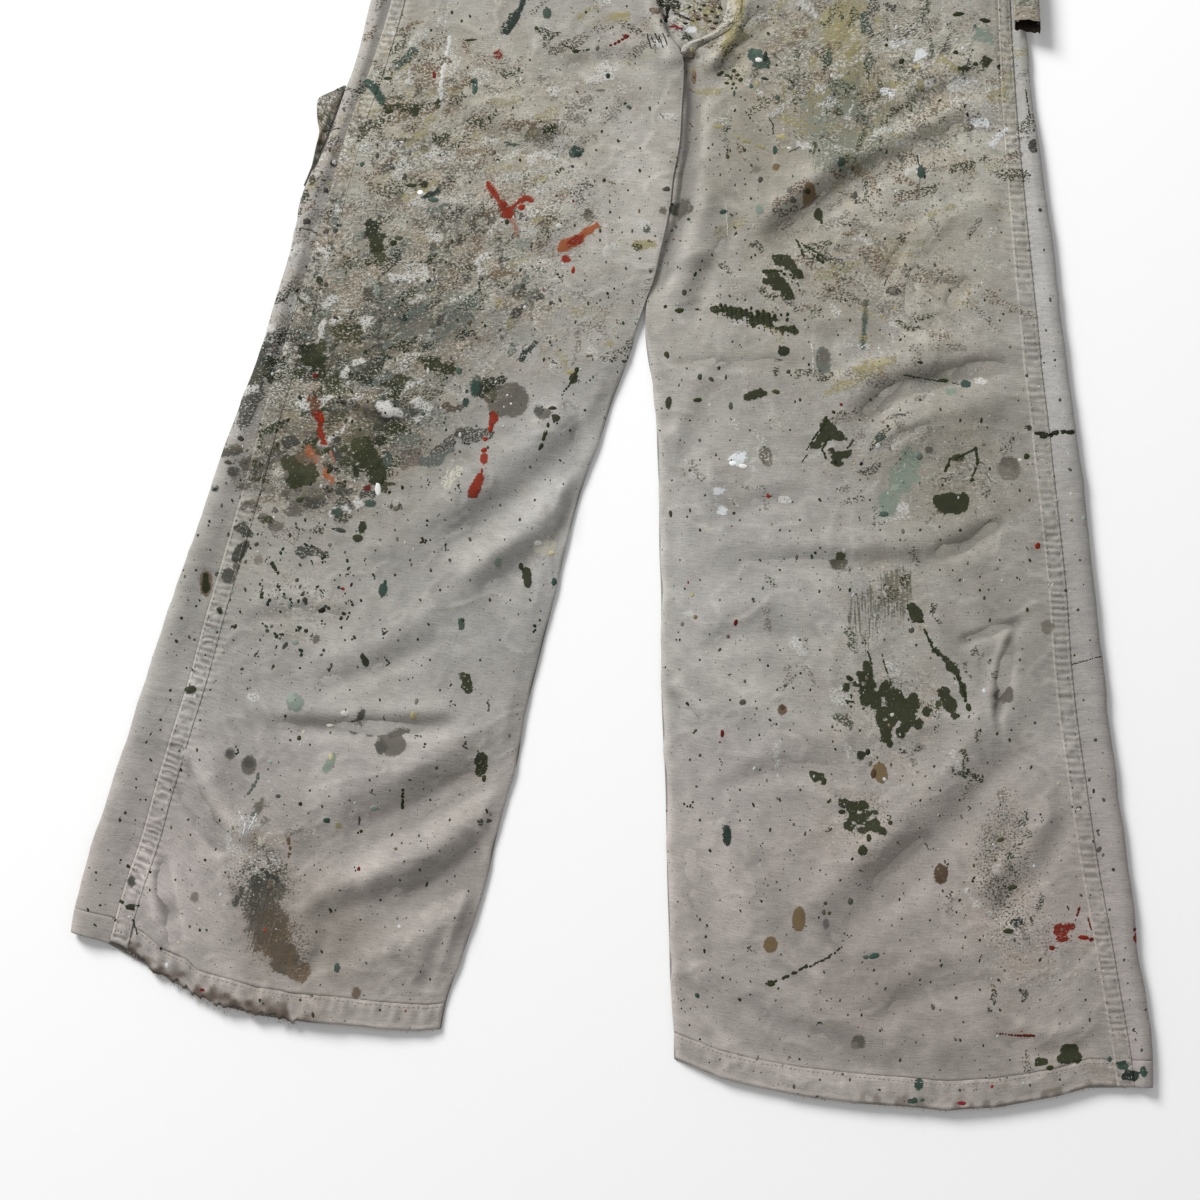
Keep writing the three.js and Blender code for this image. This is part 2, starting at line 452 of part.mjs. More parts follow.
// ---- hammer loop: a strip folded to a flat tube, open at its lower end ----------
{
  const path = [[292, 150], [294.5, 118], [296.5, 90], [298, 66], [298.5, 52]];
  const ringOf = ([x, y], k, rx, rz) => {
    const z = 12.2 + 0.2 * k, pts = [];
    for (let i = 0; i < 14; i++) {
      const a = i / 14 * Math.PI * 2, c = Math.cos(a), s = Math.sin(a);
      pts.push([x + rx * Math.sign(c) * Math.pow(Math.abs(c), 0.7), y, z + rz * s]);
    }
    return pts;
  };
  const outer = path.map((p, k) => ringOf(p, k, 9.5, 3.0)), inner = path.map((p, k) => ringOf(p, k, 8.3, 1.8));
  const list = [...outer, ...inner.reverse()];
  const { pos, idx } = rings(list, false, true);
  add('hammer_loop_l', outward(pos, idx), PAINTED);
}

export default model;
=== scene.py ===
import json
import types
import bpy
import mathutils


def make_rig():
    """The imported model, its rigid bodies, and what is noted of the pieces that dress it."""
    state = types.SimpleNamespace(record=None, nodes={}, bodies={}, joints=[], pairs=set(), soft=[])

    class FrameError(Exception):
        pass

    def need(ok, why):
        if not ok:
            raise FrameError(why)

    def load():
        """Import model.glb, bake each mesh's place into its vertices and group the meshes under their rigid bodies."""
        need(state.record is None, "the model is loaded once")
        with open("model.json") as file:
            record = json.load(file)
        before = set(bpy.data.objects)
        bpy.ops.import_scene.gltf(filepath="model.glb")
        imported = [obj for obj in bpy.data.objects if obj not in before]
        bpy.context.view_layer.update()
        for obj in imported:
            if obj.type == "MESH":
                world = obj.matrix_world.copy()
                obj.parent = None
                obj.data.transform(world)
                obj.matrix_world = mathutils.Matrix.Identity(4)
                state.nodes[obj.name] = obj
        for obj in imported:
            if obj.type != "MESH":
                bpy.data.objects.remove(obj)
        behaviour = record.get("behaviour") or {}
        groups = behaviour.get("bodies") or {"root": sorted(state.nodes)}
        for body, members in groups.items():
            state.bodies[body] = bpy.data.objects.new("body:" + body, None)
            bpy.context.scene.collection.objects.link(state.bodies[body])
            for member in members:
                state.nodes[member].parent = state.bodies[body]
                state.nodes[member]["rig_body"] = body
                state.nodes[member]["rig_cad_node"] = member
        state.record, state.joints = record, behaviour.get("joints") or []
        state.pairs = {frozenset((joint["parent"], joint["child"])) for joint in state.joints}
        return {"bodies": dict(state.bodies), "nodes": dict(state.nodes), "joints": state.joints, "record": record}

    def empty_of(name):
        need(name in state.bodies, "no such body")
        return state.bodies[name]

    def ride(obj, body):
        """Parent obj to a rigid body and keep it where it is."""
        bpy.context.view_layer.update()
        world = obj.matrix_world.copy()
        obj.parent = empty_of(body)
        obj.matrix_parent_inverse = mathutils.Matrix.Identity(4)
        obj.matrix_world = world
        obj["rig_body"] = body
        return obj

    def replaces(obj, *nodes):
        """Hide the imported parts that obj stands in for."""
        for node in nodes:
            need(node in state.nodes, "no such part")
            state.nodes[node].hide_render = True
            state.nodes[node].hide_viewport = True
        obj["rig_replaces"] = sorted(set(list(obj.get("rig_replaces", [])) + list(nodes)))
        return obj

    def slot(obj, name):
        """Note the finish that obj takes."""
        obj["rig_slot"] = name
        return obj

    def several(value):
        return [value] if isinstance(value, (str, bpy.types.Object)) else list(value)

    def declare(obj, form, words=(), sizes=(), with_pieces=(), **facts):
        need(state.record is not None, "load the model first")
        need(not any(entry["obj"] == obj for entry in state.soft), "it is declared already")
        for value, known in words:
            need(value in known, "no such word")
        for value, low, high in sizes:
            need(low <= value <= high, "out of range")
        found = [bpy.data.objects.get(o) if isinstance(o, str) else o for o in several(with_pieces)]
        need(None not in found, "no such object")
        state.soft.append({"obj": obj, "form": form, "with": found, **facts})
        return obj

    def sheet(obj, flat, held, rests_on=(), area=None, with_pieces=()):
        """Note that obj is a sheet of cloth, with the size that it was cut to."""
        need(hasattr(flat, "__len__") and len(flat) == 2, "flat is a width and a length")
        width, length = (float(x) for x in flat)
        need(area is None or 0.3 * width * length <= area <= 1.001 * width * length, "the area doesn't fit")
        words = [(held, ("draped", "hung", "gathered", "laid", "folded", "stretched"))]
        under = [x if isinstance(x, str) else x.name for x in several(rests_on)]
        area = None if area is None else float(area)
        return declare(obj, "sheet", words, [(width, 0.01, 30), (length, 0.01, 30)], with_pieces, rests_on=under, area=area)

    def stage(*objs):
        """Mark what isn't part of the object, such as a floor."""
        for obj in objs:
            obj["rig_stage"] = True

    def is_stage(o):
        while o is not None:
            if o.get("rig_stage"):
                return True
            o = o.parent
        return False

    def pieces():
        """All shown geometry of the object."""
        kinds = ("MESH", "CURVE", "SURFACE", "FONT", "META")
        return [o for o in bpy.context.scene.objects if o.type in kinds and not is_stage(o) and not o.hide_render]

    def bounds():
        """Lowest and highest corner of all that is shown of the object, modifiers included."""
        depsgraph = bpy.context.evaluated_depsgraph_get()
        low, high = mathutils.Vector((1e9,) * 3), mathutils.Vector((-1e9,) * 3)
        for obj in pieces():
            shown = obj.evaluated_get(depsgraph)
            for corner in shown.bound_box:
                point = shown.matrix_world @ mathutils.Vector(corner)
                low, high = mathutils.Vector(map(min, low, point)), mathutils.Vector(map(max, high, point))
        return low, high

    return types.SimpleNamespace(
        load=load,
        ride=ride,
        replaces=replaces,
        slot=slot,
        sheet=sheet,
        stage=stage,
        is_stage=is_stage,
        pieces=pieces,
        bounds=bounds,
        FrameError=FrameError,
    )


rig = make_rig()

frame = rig.load()
import bpy, json, math
import numpy as np

CAD_BOX = [list(map(float, c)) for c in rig.bounds()]

# ---------------------------------------------------------------------------------------------
# Painter's overalls laid flat. Lengths are millimetres until a mesh is made.
# A "chart" is the garment's own drawing grid: one unit is 0.72 mm, (612, 103) is the middle.
# ---------------------------------------------------------------------------------------------
S, CU, CV = 0.72, 612.0, 103.0
def mm(p):
    p = np.asarray(p, float)
    return np.stack([(p[..., 0] - CU) * S, (CV - p[..., 1]) * S], -1)
def chart(x, y):
    return np.asarray(x) / S + CU, CV - np.asarray(y) / S

CLOTH, GAP, FRONT_Z, HEM, FELL, LOFT, ROLL = 1.4, 0.3, 2.3, 18.0, 13.0, 3.4, 2.6
WAIST_Y = 254.2
V_HEM = 1 - HEM / 900
V_END = V_HEM - 0.0005

R_OUTER = [
    (392,-250), (385,-170), (378,-80), (370,0), (361,40), (347,84), (336,115), (326,142), (316,165), (306,184),
    (300,200), (296,220), (287,260), (274,300), (263,340), (241,400), (219,460), (199,520), (178,580), (157,640),
    (138,700), (119,760), (99,820), (81,880), (72,918), (70,932),
]
R_SEAM = [
    (408,-250), (404,-170), (398,-80), (391,0), (380,37), (368,73), (354,109), (342,146), (329,192), (320,225),
    (305,275), (288,330), (266,400), (247,470), (227,540), (202,625), (188,677), (170,733), (156,779), (139,839),
    (128,870), (117,905), (109,938),
]
R_INNER = [
    (683,-250), (668,-165), (655,-80), (659,0), (663,15), (667,31), (675,42), (681,63), (679,105), (676,147),
    (670,179), (667,206), (663,227), (657,253), (651,280), (644,305), (638,322), (627,360), (612,400), (599,440),
    (584,480), (572,520), (562,560), (553,600), (543,640), (533,680), (523,720), (517,760), (505,800), (495,840),
    (486,880), (474,920), (460,960), (446,1000), (442,1018), (440,1030),
]
R_HEM = [
    (70,932), (96,939), (120,946), (140,960), (156,975), (180,986), (192,998), (216,1005), (252,1015), (288,1021),
    (336,1025), (384,1030), (420,1032), (440,1030),
]
L_OUTER = [
    (1013,-250), (1020,-170), (1024,-80), (1024,0), (1028,40), (1031,80), (1036,120), (1042,160), (1047,200),
    (1053,240), (1058,280), (1062,320), (1068,360), (1073,400), (1078,440), (1084,480), (1088,520), (1092,560),
    (1097,600), (1101,640), (1106,680), (1109,720), (1116,760), (1120,800), (1126,840), (1131,880), (1136,920),
    (1140,960), (1147,1000), (1153,1040), (1154,1088),
]
L_SEAM = [
    (996,-250), (1001,-170), (1006,-80), (1011,0), (1013,40), (1019,128), (1025,191), (1033,271), (1038,319),
    (1044,380), (1049,420), (1054,467), (1062,538), (1068,600), (1072,660), (1077,710), (1087,782), (1099,864),
    (1111,931), (1123,1002), (1132,1056), (1136,1088),
]
L_INNER = [
    (684,-250), (710,-160), (725,-100), (732,-40), (730,0), (727,16), (718,29), (702,38), (689,43), (683,50),
    (682,63), (680,105), (677,147), (671,179), (668,206), (664,227), (658,253), (652,280), (647,305), (646,330),
    (649,360), (653,380), (655,400), (657,420), (658,450), (660,500), (660,540), (662,600), (662,680), (664,740),
    (666,780), (667,820), (668,880), (670,940), (671,980), (673,1010), (675,1040), (675,1060),
]
L_HEM = [
    (675,1060), (692,1067), (724,1080), (756,1088), (804,1097), (852,1103), (900,1107), (948,1111), (996,1108),
    (1028,1103), (1060,1097), (1092,1087), (1124,1088), (1154,1088),
]
R_BACK_IN = [
    (682,-250), (682,-100), (682,0), (682,50), (681,63), (679,105), (676,147), (670,179), (667,206), (663,227),
    (657,253), (651,280), (644,305), (638,322), (627,360), (612,400), (599,440), (584,480), (572,520), (562,560),
    (553,600), (543,640), (533,680), (523,720), (517,760), (505,800), (495,840), (486,880), (474,920), (460,960),
    (446,1000), (442,1018), (440,1030),
]
L_BACK_IN = [
    (684,-250), (684,-100), (684,0), (684,50), (682,63), (680,105), (677,147), (671,179), (668,206), (664,227),
    (658,253), (652,280), (647,305), (646,330), (649,360), (653,380), (655,400), (657,420), (658,450), (660,500),
    (660,540), (662,600), (662,680), (664,740), (666,780), (667,820), (668,880), (670,940), (671,980), (673,1010),
    (675,1040), (675,1060),
]

def curve(tab):
    """smooth x(y) of a top-to-bottom outline"""
    t = mm(tab)
    y, x = t[::-1, 1].copy(), t[::-1, 0].copy()
    for i in range(1, len(y)):
        if y[i] <= y[i - 1]: y[i] = y[i - 1] + 1e-3
    h = np.diff(y); d = np.diff(x) / h
    m = np.empty(len(x)); m[0], m[-1] = d[0], d[-1]
    m[1:-1] = (d[:-1] * h[1:] + d[1:] * h[:-1]) / (h[:-1] + h[1:])
    flat = d[:-1] * d[1:] <= 0
    m[1:-1] = np.where(flat, m[1:-1] * 0.4, m[1:-1])
    def f(yy):
        yy = np.clip(yy, y[0], y[-1])
        i = np.clip(np.searchsorted(y, yy) - 1, 0, len(y) - 2)
        t = (yy - y[i]) / h[i]
        h00 = 2 * t**3 - 3 * t**2 + 1; h10 = t**3 - 2 * t**2 + t
        h01 = -2 * t**3 + 3 * t**2; h11 = t**3 - t**2
        return h00 * x[i] + h10 * h[i] * m[i] + h01 * x[i + 1] + h11 * h[i] * m[i + 1]
    f.top, f.end = (float(f(y[-1])), float(y[-1])), (float(f(y[0])), float(y[0]))
    f.y0, f.y1 = float(y[-1]), float(y[0])
    return f
def along(c, v):
    y = c.y0 + (c.y1 - c.y0) * v
    return np.stack([c(y), y], -1)
def hemline(tab):
    t = mm(tab); o = np.argsort(t[:, 0]); x, y = t[o, 0], t[o, 1]
    return lambda xx: np.interp(xx, x, y)
def sm(a, b, x):
    t = np.clip((np.asarray(x, float) - a) / (b - a), 0, 1)
    return t * t * (3 - 2 * t)
def lerp(a, b, t): return a + (b - a) * t

# ---- smooth seeded noise -----------------------------------------------------------------------
_TAB = np.random.RandomState(20).rand(8, 512, 512).astype(np.float32) * 2 - 1
def noise(x, y, seed=0):
    x = np.asarray(x, float) + seed * 17.31; y = np.asarray(y, float) + seed * 9.77
    i, j = np.floor(x).astype(int), np.floor(y).astype(int)
    fx, fy = x - i, y - j
    fx = fx * fx * fx * (fx * (fx * 6 - 15) + 10); fy = fy * fy * fy * (fy * (fy * 6 - 15) + 10)
    T = _TAB[seed % 8]
    g = lambda a, b: T[a % 512, b % 512]
    return (g(i, j) * (1 - fx) + g(i + 1, j) * fx) * (1 - fy) + (g(i, j + 1) * (1 - fx) + g(i + 1, j + 1) * fx) * fy
def fbm(x, y, seed=0, octaves=3):
    s, a = 0, 1.0
    for k in range(octaves):
        s = s + a * noise(x * 2**k, y * 2**k, seed + 3 * k); a *= 0.5
    return s

# ---- folds ---------------------------------------------------------------------------------------
# (height in mm, half width in chart units, spine). The first list is the frame's own.
BIG = [
 (-3,12,[(599,432),(538,483),(431,560)]), (5,15,[(580,395),(505,462),(400,535)]),
 (4,14,[(588,475),(530,525),(450,590)]), (3,10,[(322,390),(405,416)]),
 (3.2,11,[(255,706),(360,712),(468,708)]), (-2.5,8,[(255,724),(360,728),(468,722)]),
 (-3,9,[(176,739),(179,773),(211,828),(228,851)]), (4,13,[(205,735),(215,790),(250,845)]),
 (5,18,[(300,805),(390,772),(490,728)]), (-4,14,[(323,845),(410,812),(500,770)]),
 (5,16,[(340,885),(420,850),(500,800)]), (-4,14,[(394,908),(450,875),(500,836)]),
 (4,16,[(400,965),(480,890)]), (-3,14,[(760,260),(815,215),(870,160)]),
 (3,14,[(735,235),(800,180),(850,140)]), (5,12,[(840,402),(895,368),(1015,345)]),
 (-4,9,[(855,428),(904,390),(1018,364)]), (4,14,[(875,452),(925,415),(1020,395)]),
 (-3,10,[(719,375),(700,420),(678,472)]), (3,12,[(715,543),(860,543),(930,540),(1010,502)]),
 (-2.5,9,[(715,562),(860,562),(935,556),(1010,518)]),
 (-4,13,[(673,820),(720,954),(764,1013),(913,1078)]), (5,17,[(703,800),(750,925),(805,985),(930,1048)]),
 (-4,15,[(1036,729),(945,838),(860,910)]), (4,17,[(1015,690),(920,795),(838,868)]),
 (3.5,12,[(708,150),(694,225),(682,274),(664,303)]),
]
# finer creases, for the visible cloth only
FINE = [
 # crotch and fly
 (-3.0,5,[(690,52),(694,90),(693,150),(684,200),(675,240),(663,275),(652,302)]),
 (1.6,4,[(682,62),(683,110),(679,160),(672,210),(662,252)]),
 (3.0,6,[(745,-12),(740,22),(724,50),(706,72)]), (-2.6,7,[(770,-10),(757,32),(733,62),(706,86),(696,110)]),
 (1.6,6,[(640,-20),(652,14),(668,46),(672,70)]),
 (1.8,10,[(716,168),(697,231),(684,274)]), (-1.5,7,[(655,60),(600,58),(560,72)]),
 (-1.4,8,[(740,190),(722,240),(700,290),(684,340)]),
 # hips
 (1.5,14,[(420,60),(500,110),(600,130)]), (-1.6,10,[(430,95),(510,140),(600,160)]),
 (1.3,12,[(420,170),(500,215),(590,225)]), (-1.3,9,[(400,215),(490,250),(600,262)]),
 (1.4,10,[(350,260),(430,300),(540,310)]), (-1.4,9,[(340,296),(430,334),(560,345)]),
 (1.4,10,[(880,105),(940,70),(1000,50)]), (-1.2,8,[(880,130),(940,96),(1000,80)]),
 (1.2,9,[(900,250),(960,210),(1010,200)]), (-1.5,5,[(945,309),(960,292),(974,278)]),
 (-1.3,4,[(907,238),(896,258),(882,287)]), (-1.3,4,[(920,262),(909,290),(912,325)]),
 (-1.8,6,[(296,228),(306,229),(316,234)]),
 # left leg
 (-2.4,5,[(327,409),(352,412),(401,433)]), (1.3,5,[(326,400),(356,402),(404,421)]),
 (-1.4,7,[(250,350),(300,372),(350,392)]), (1.3,9,[(440,600),(380,640),(300,660)]),
 (-1.2,7,[(450,632),(380,668),(300,690)]), (1.0,8,[(480,560),(540,530),(570,500)]),
 (-1.2,6,[(260,724),(330,727),(420,726),(465,719)]), (-1.6,5,[(159,851),(166,890),(176,926)]),
 (1.2,6,[(150,850),(156,895),(160,930)]), (-1.3,5,[(228,851),(236,880),(240,915)]),
 (-1.6,6,[(176,739),(179,773),(211,828),(230,853)]), (-1.5,9,[(300,930),(360,905),(410,880)]),
 (1.2,9,[(290,900),(350,880),(400,850)]), (-1.0,6,[(420,1000),(430,960),(450,915)]),
 (0.9,8,[(330,980),(380,955),(430,930)]), (-1.0,6,[(300,985),(320,950),(330,925)]),
 (-1.1,6,[(560,395),(575,420),(580,450)]), (0.9,7,[(240,600),(300,596),(360,606)]),
 (-0.9,6,[(240,618),(300,616),(360,624)]),
 # right leg
 (-2.4,5,[(863,425),(880,405),(904,388),(960,374),(1018,363)]), (-1.2,4,[(880,452),(900,436),(940,422)]),
 (-1.6,5,[(933,556),(965,545),(1010,517)]), (-1.2,6,[(665,687),(680,712),(706,733)]),
 (1.2,6,[(672,672),(690,698),(716,716)]), (-1.4,6,[(673,969),(692,1010),(720,1049)]),
 (1.4,8,[(688,950),(706,990),(732,1032)]), (-1.5,4,[(954,644),(990,632),(1030,619)]),
 (-1.3,4,[(1018,632),(1008,668),(1004,698),(996,722)]), (1.0,5,[(1010,640),(1000,670),(994,700)]),
 (-0.9,5,[(658,362),(720,363),(810,362)]), (1.3,10,[(660,420),(690,450),(720,500)]),
 (-1.2,8,[(700,520),(760,500),(820,490)]), (1.0,9,[(690,620),(760,600),(840,610)]),
 (-1.2,8,[(690,650),(760,632),(840,640)]), (1.2,10,[(720,760),(800,740),(860,745)]),
 (-1.2,8,[(700,790),(790,768),(860,776)]), (1.3,9,[(960,900),(1020,850),(1060,790)]),
 (-1.4,8,[(980,930),(1040,870),(1075,810)]), (1.2,9,[(860,1000),(930,960),(1000,950)]),
 (-1.2,8,[(860,1030),(930,992),(1010,980)]), (-1.2,8,[(760,960),(820,990),(900,1030)]),
 (1.0,7,[(1000,1020),(1050,1030),(1100,1020)]), (-1.0,6,[(1000,1042),(1050,1052),(1100,1044)]),
 (1.2,9,[(880,300),(930,340),(1000,320)]), (-1.0,7,[(740,310),(800,330),(850,340)]),
 (-2.6,9,[(675,966),(717,1013),(787,1056),(923,1074)]), (1.6,10,[(702,950),(760,1000),(850,1036)]),
 (-1.9,13,[(946,825),(875,905),(817,955)]), (1.6,12,[(923,800),(834,880),(790,920)]),
 (1.3,11,[(711,678),(817,728),(970,716)]), (-1.3,11,[(993,807),(1014,866),(1005,937)]),
 (-1.4,3,[(1022,616),(1002,660),(998,700),(1000,740)]), (1.0,5,[(1014,622),(992,668),(988,705)]),
 (-2.6,6,[(180,742),(186,785),(208,830),(240,862)]), (1.6,8,[(196,760),(222,812),(256,846)]),
 (-1.8,12,[(515,749),(415,822),(338,855),(282,846)]), (1.5,11,[(521,704),(449,743),(371,793)]),
 (-1.6,11,[(499,871),(393,915),(327,949)]), (1.5,11,[(482,827),(393,871),(349,893)]),
 (-1.9,5,[(156,865),(166,905),(181,950)]), (1.3,6,[(146,870),(154,910),(168,948)]),
 # the long diagonal across the wearer's left hip and its shadow
 (2.2,9,[(742,226),(790,196),(850,156),(930,118),(1000,98)]), (-2.2,9,[(754,250),(802,218),(862,180),(940,140),(1006,116)]),
 (1.6,9,[(700,270),(722,225),(738,196)]), (1.4,9,[(820,392),(880,356),(960,330)]),
 (1.6,12,[(440,585),(510,535),(575,470)]), (-1.6,11,[(462,606),(530,558),(590,490)]),
 # hidden cloth above the frame: bib, back and hips
 (1.6,14,[(470,-180),(560,-140),(640,-150)]), (-1.6,11,[(460,-150),(560,-108),(640,-120)]),
 (1.6,14,[(760,-130),(850,-170),(950,-150)]), (-1.5,10,[(760,-98),(850,-140),(950,-118)]),
 (1.4,12,[(440,-60),(540,-30),(610,-50)]), (1.4,12,[(800,-60),(900,-40),(990,-70)]),
 (1.5,14,[(560,-330),(650,-380),(760,-360)]), (-1.4,11,[(550,-360),(650,-412),(760,-392)]),
 (1.4,13,[(600,-480),(720,-520),(850,-500)]), (-1.3,10,[(590,-510),(720,-552),(860,-530)]),
 (-1.4,10,[(530,-300),(560,-420),(550,-560)]), (1.3,12,[(820,-290),(850,-400),(840,-480)]),
]
def rounded(p, n=5):
    """a smooth path through the points of a crease"""
    if len(p) < 3: return p
    q = np.concatenate([2 * p[:1] - p[1:2], p, 2 * p[-1:] - p[-2:-1]])
    out = []
    for i in range(1, len(q) - 2):
        for t in np.arange(n) / n:
            out.append(0.5 * (2 * q[i] + (q[i + 1] - q[i - 1]) * t + (2 * q[i - 1] - 5 * q[i] + 4 * q[i + 1] - q[i + 2]) * t * t + (3 * q[i] - q[i - 1] - 3 * q[i + 1] + q[i + 2]) * t ** 3))
    return np.array(out + [p[-1]])
def spine(x, y, pts):
    best = np.full(np.shape(x), 1e9); where = np.zeros(np.shape(x))
    n = len(pts) - 1
    for i in range(n):
        a, b = pts[i], pts[i + 1]
        d = b - a; l2 = float(d @ d)
        t = np.clip(((x - a[0]) * d[0] + (y - a[1]) * d[1]) / l2, 0, 1)
        r = np.hypot(x - a[0] - t * d[0], y - a[1] - t * d[1])
        k = r < best
        best = np.where(k, r, best); where = np.where(k, (i + t) / n, where)
    return best, where
def fold_sum(x, y, table, wob=0.0):
    z = np.zeros(np.shape(x))
    for amp, w, pts in table:
        p = rounded(mm(pts)); w = w * S
        lo, hi = p.min(0) - 4 * w, p.max(0) + 4 * w
        k = (x > lo[0]) & (x < hi[0]) & (y > lo[1]) & (y < hi[1])
        if not k.any(): continue
        xx, yy = x[k], y[k]
        if wob:
            xx = xx + wob * noise(x[k] / 28, y[k] / 28, 1); yy = yy + wob * noise(x[k] / 28, y[k] / 28, 2)
        d, t = spine(xx, yy, p)
        end = np.minimum(sm(0, 0.22, t), sm(0, 0.22, 1 - t))
        z[k] += amp * np.exp(-d * d / (2 * w * w)) * (0.25 + 0.75 * end if not wob else end)
    return z
def wrinkles(x, y):
    """the small restless relief of washed canvas"""
    wx = x + 9 * noise(x / 45, y / 45, 3); wy = y + 9 * noise(x / 45, y / 45, 4)
    r = 0.55 * fbm(wx / 62, wy / 40, 5, 2)
    ridge = 1 - np.abs(fbm(wx / 40 + 3, wy / 26, 2, 3)) * 1.6
    r = r + 0.42 * np.clip(ridge, 0, 1) ** 3
    return r + 0.13 * fbm(wx / 9, wy / 7, 6, 2)

def fly_raise(x, y):
    return 1.4 * sm(24, 42, y) * (1 - sm(228, 246, y)) * (1 - sm(44, 66, np.abs(x - 58)))

def front_z(u, v, x, y, fine=True):
    """underside of the front layer"""
    across = np.sin(np.pi * np.clip(u, 0, 1)) ** 0.6
    loft = LOFT * across * sm(0, 0.16, v) + 1.2 * sm(0, 0.2, v)
    edge = sm(0, 0.06, u)
    z = FRONT_Z + loft + fold_sum(x, y, BIG) * lerp(0.35, 1, edge) * sm(0, 0.08, v)
    z = np.where(y < -120, lerp(np.minimum(z, FRONT_Z + 0.4), z, edge), z)
    if fine:
        z = z + (1.55 * fold_sum(x, y, FINE, 0.9) + 1.25 * wrinkles(x, y)) * sm(0, 0.03, v)
    z = FRONT_Z + np.logaddexp(0, (z - FRONT_Z) * 1.6) / 1.6 - 0.25
    return np.maximum(z, FRONT_Z - 0.2) + fly_raise(x, y)

class Leg:
    def __init__(self, sgn, inner, seam, outer, back, hem):
        self.sgn, self.inner, self.seam, self.outer, self.back = sgn, curve(inner), curve(seam), curve(outer), curve(back)
        self.hem = hemline(hem)
    def patch(self, a, b, u, v, shift=0.0):
        pa, pb = along(a, v), along(b, v)
        pb = pb + np.array([shift, 0.0])
        p = pa + (pb - pa) * u[..., None]
        a1, b1 = np.array(a.end), np.array([b.end[0] + shift, b.end[1]])
        hx, hy = lerp(a1[0], b1[0], u), lerp(a1[1], b1[1], u)
        p[..., 1] += (self.hem(hx) - hy) * v ** 4
        return p
    def front(self, u, v):
        return self.patch(self.inner, self.seam, u, v, self.sgn * 0.25)
LEGS = {"r": Leg(1, R_INNER, R_SEAM, R_OUTER, R_BACK_IN, R_HEM), "l": Leg(-1, L_INNER, L_SEAM, L_OUTER, L_BACK_IN, L_HEM)}
def seam_width(leg, v):
    a, b = leg.front(np.zeros_like(v), v), leg.front(np.ones_like(v), v)
    return np.hypot(*(a - b).T)
def pucker(s, d, seed):
    """short ridges across a stitched band: s along it, d from its stitching, both mm"""
    w = s / 4.6 + 0.55 * noise(s / 9.0, d * 0 + 3, seed) + 0.05 * d
    a = 0.55 + 0.45 * noise(s / 17.0, d * 0, seed + 1)
    return np.cos(2 * np.pi * w) * a * np.exp(-(np.abs(d) / 5.5) ** 1.5)

# ---- meshes --------------------------------------------------------------------------------------
def new_mesh(name, V, polys, uv=None, floats={}, colors={}, smooth=True):
    """V in mm; polys: list of (k x corners) arrays"""
    me = bpy.data.meshes.new(name)
    V = np.asarray(V, np.float64) * 0.001
    polys = [np.asarray(p, np.int32) for p in polys if len(p)]
    loops = np.concatenate([p.ravel() for p in polys])
    sizes = np.concatenate([np.full(len(p), p.shape[1], np.int32) for p in polys])
    starts = np.concatenate([[0], np.cumsum(sizes)[:-1]]).astype(np.int32)
    me.vertices.add(len(V)); me.vertices.foreach_set("co", V.astype(np.float32).ravel())
    me.loops.add(len(loops)); me.loops.foreach_set("vertex_index", loops)
    me.polygons.add(len(sizes)); me.polygons.foreach_set("loop_start", starts)
    try: me.polygons.foreach_set("loop_total", sizes)
    except Exception: pass
    me.update(calc_edges=True)
    me.polygons.foreach_set("use_smooth", np.full(len(sizes), smooth))
    if uv is not None:
        l = me.uv_layers.new(name="cloth")
        l.data.foreach_set("uv", (np.asarray(uv)[loops] * 0.001).astype(np.float32).ravel())
    for k, a in floats.items():
        at = me.attributes.new(k, "FLOAT", "POINT"); at.data.foreach_set("value", np.asarray(a, np.float32).ravel())
    for k, a in colors.items():
        at = me.attributes.new(k, "FLOAT_COLOR", "POINT")
        c = np.ones((len(V), 4), np.float32); c[:, :3] = a
        at.data.foreach_set("color", c.ravel())
    me.validate()
    ob = bpy.data.objects.new(name, me)
    bpy.context.scene.collection.objects.link(ob)
    return ob

def grid_normals(P, flip=False):
    du = np.gradient(P, axis=1); dv = np.gradient(P, axis=0)
    n = np.cross(du, dv)
    if flip: n = -n
    return n / np.maximum(np.linalg.norm(n, axis=-1, keepdims=True), 1e-9)

def marks(n, k):
    m = list(range(0, n, k))
    if m[-1] != n - 1:
        if n - 1 - m[-1] < k // 2 and len(m) > 1: m[-1] = n - 1
        else: m.append(n - 1)
    return m

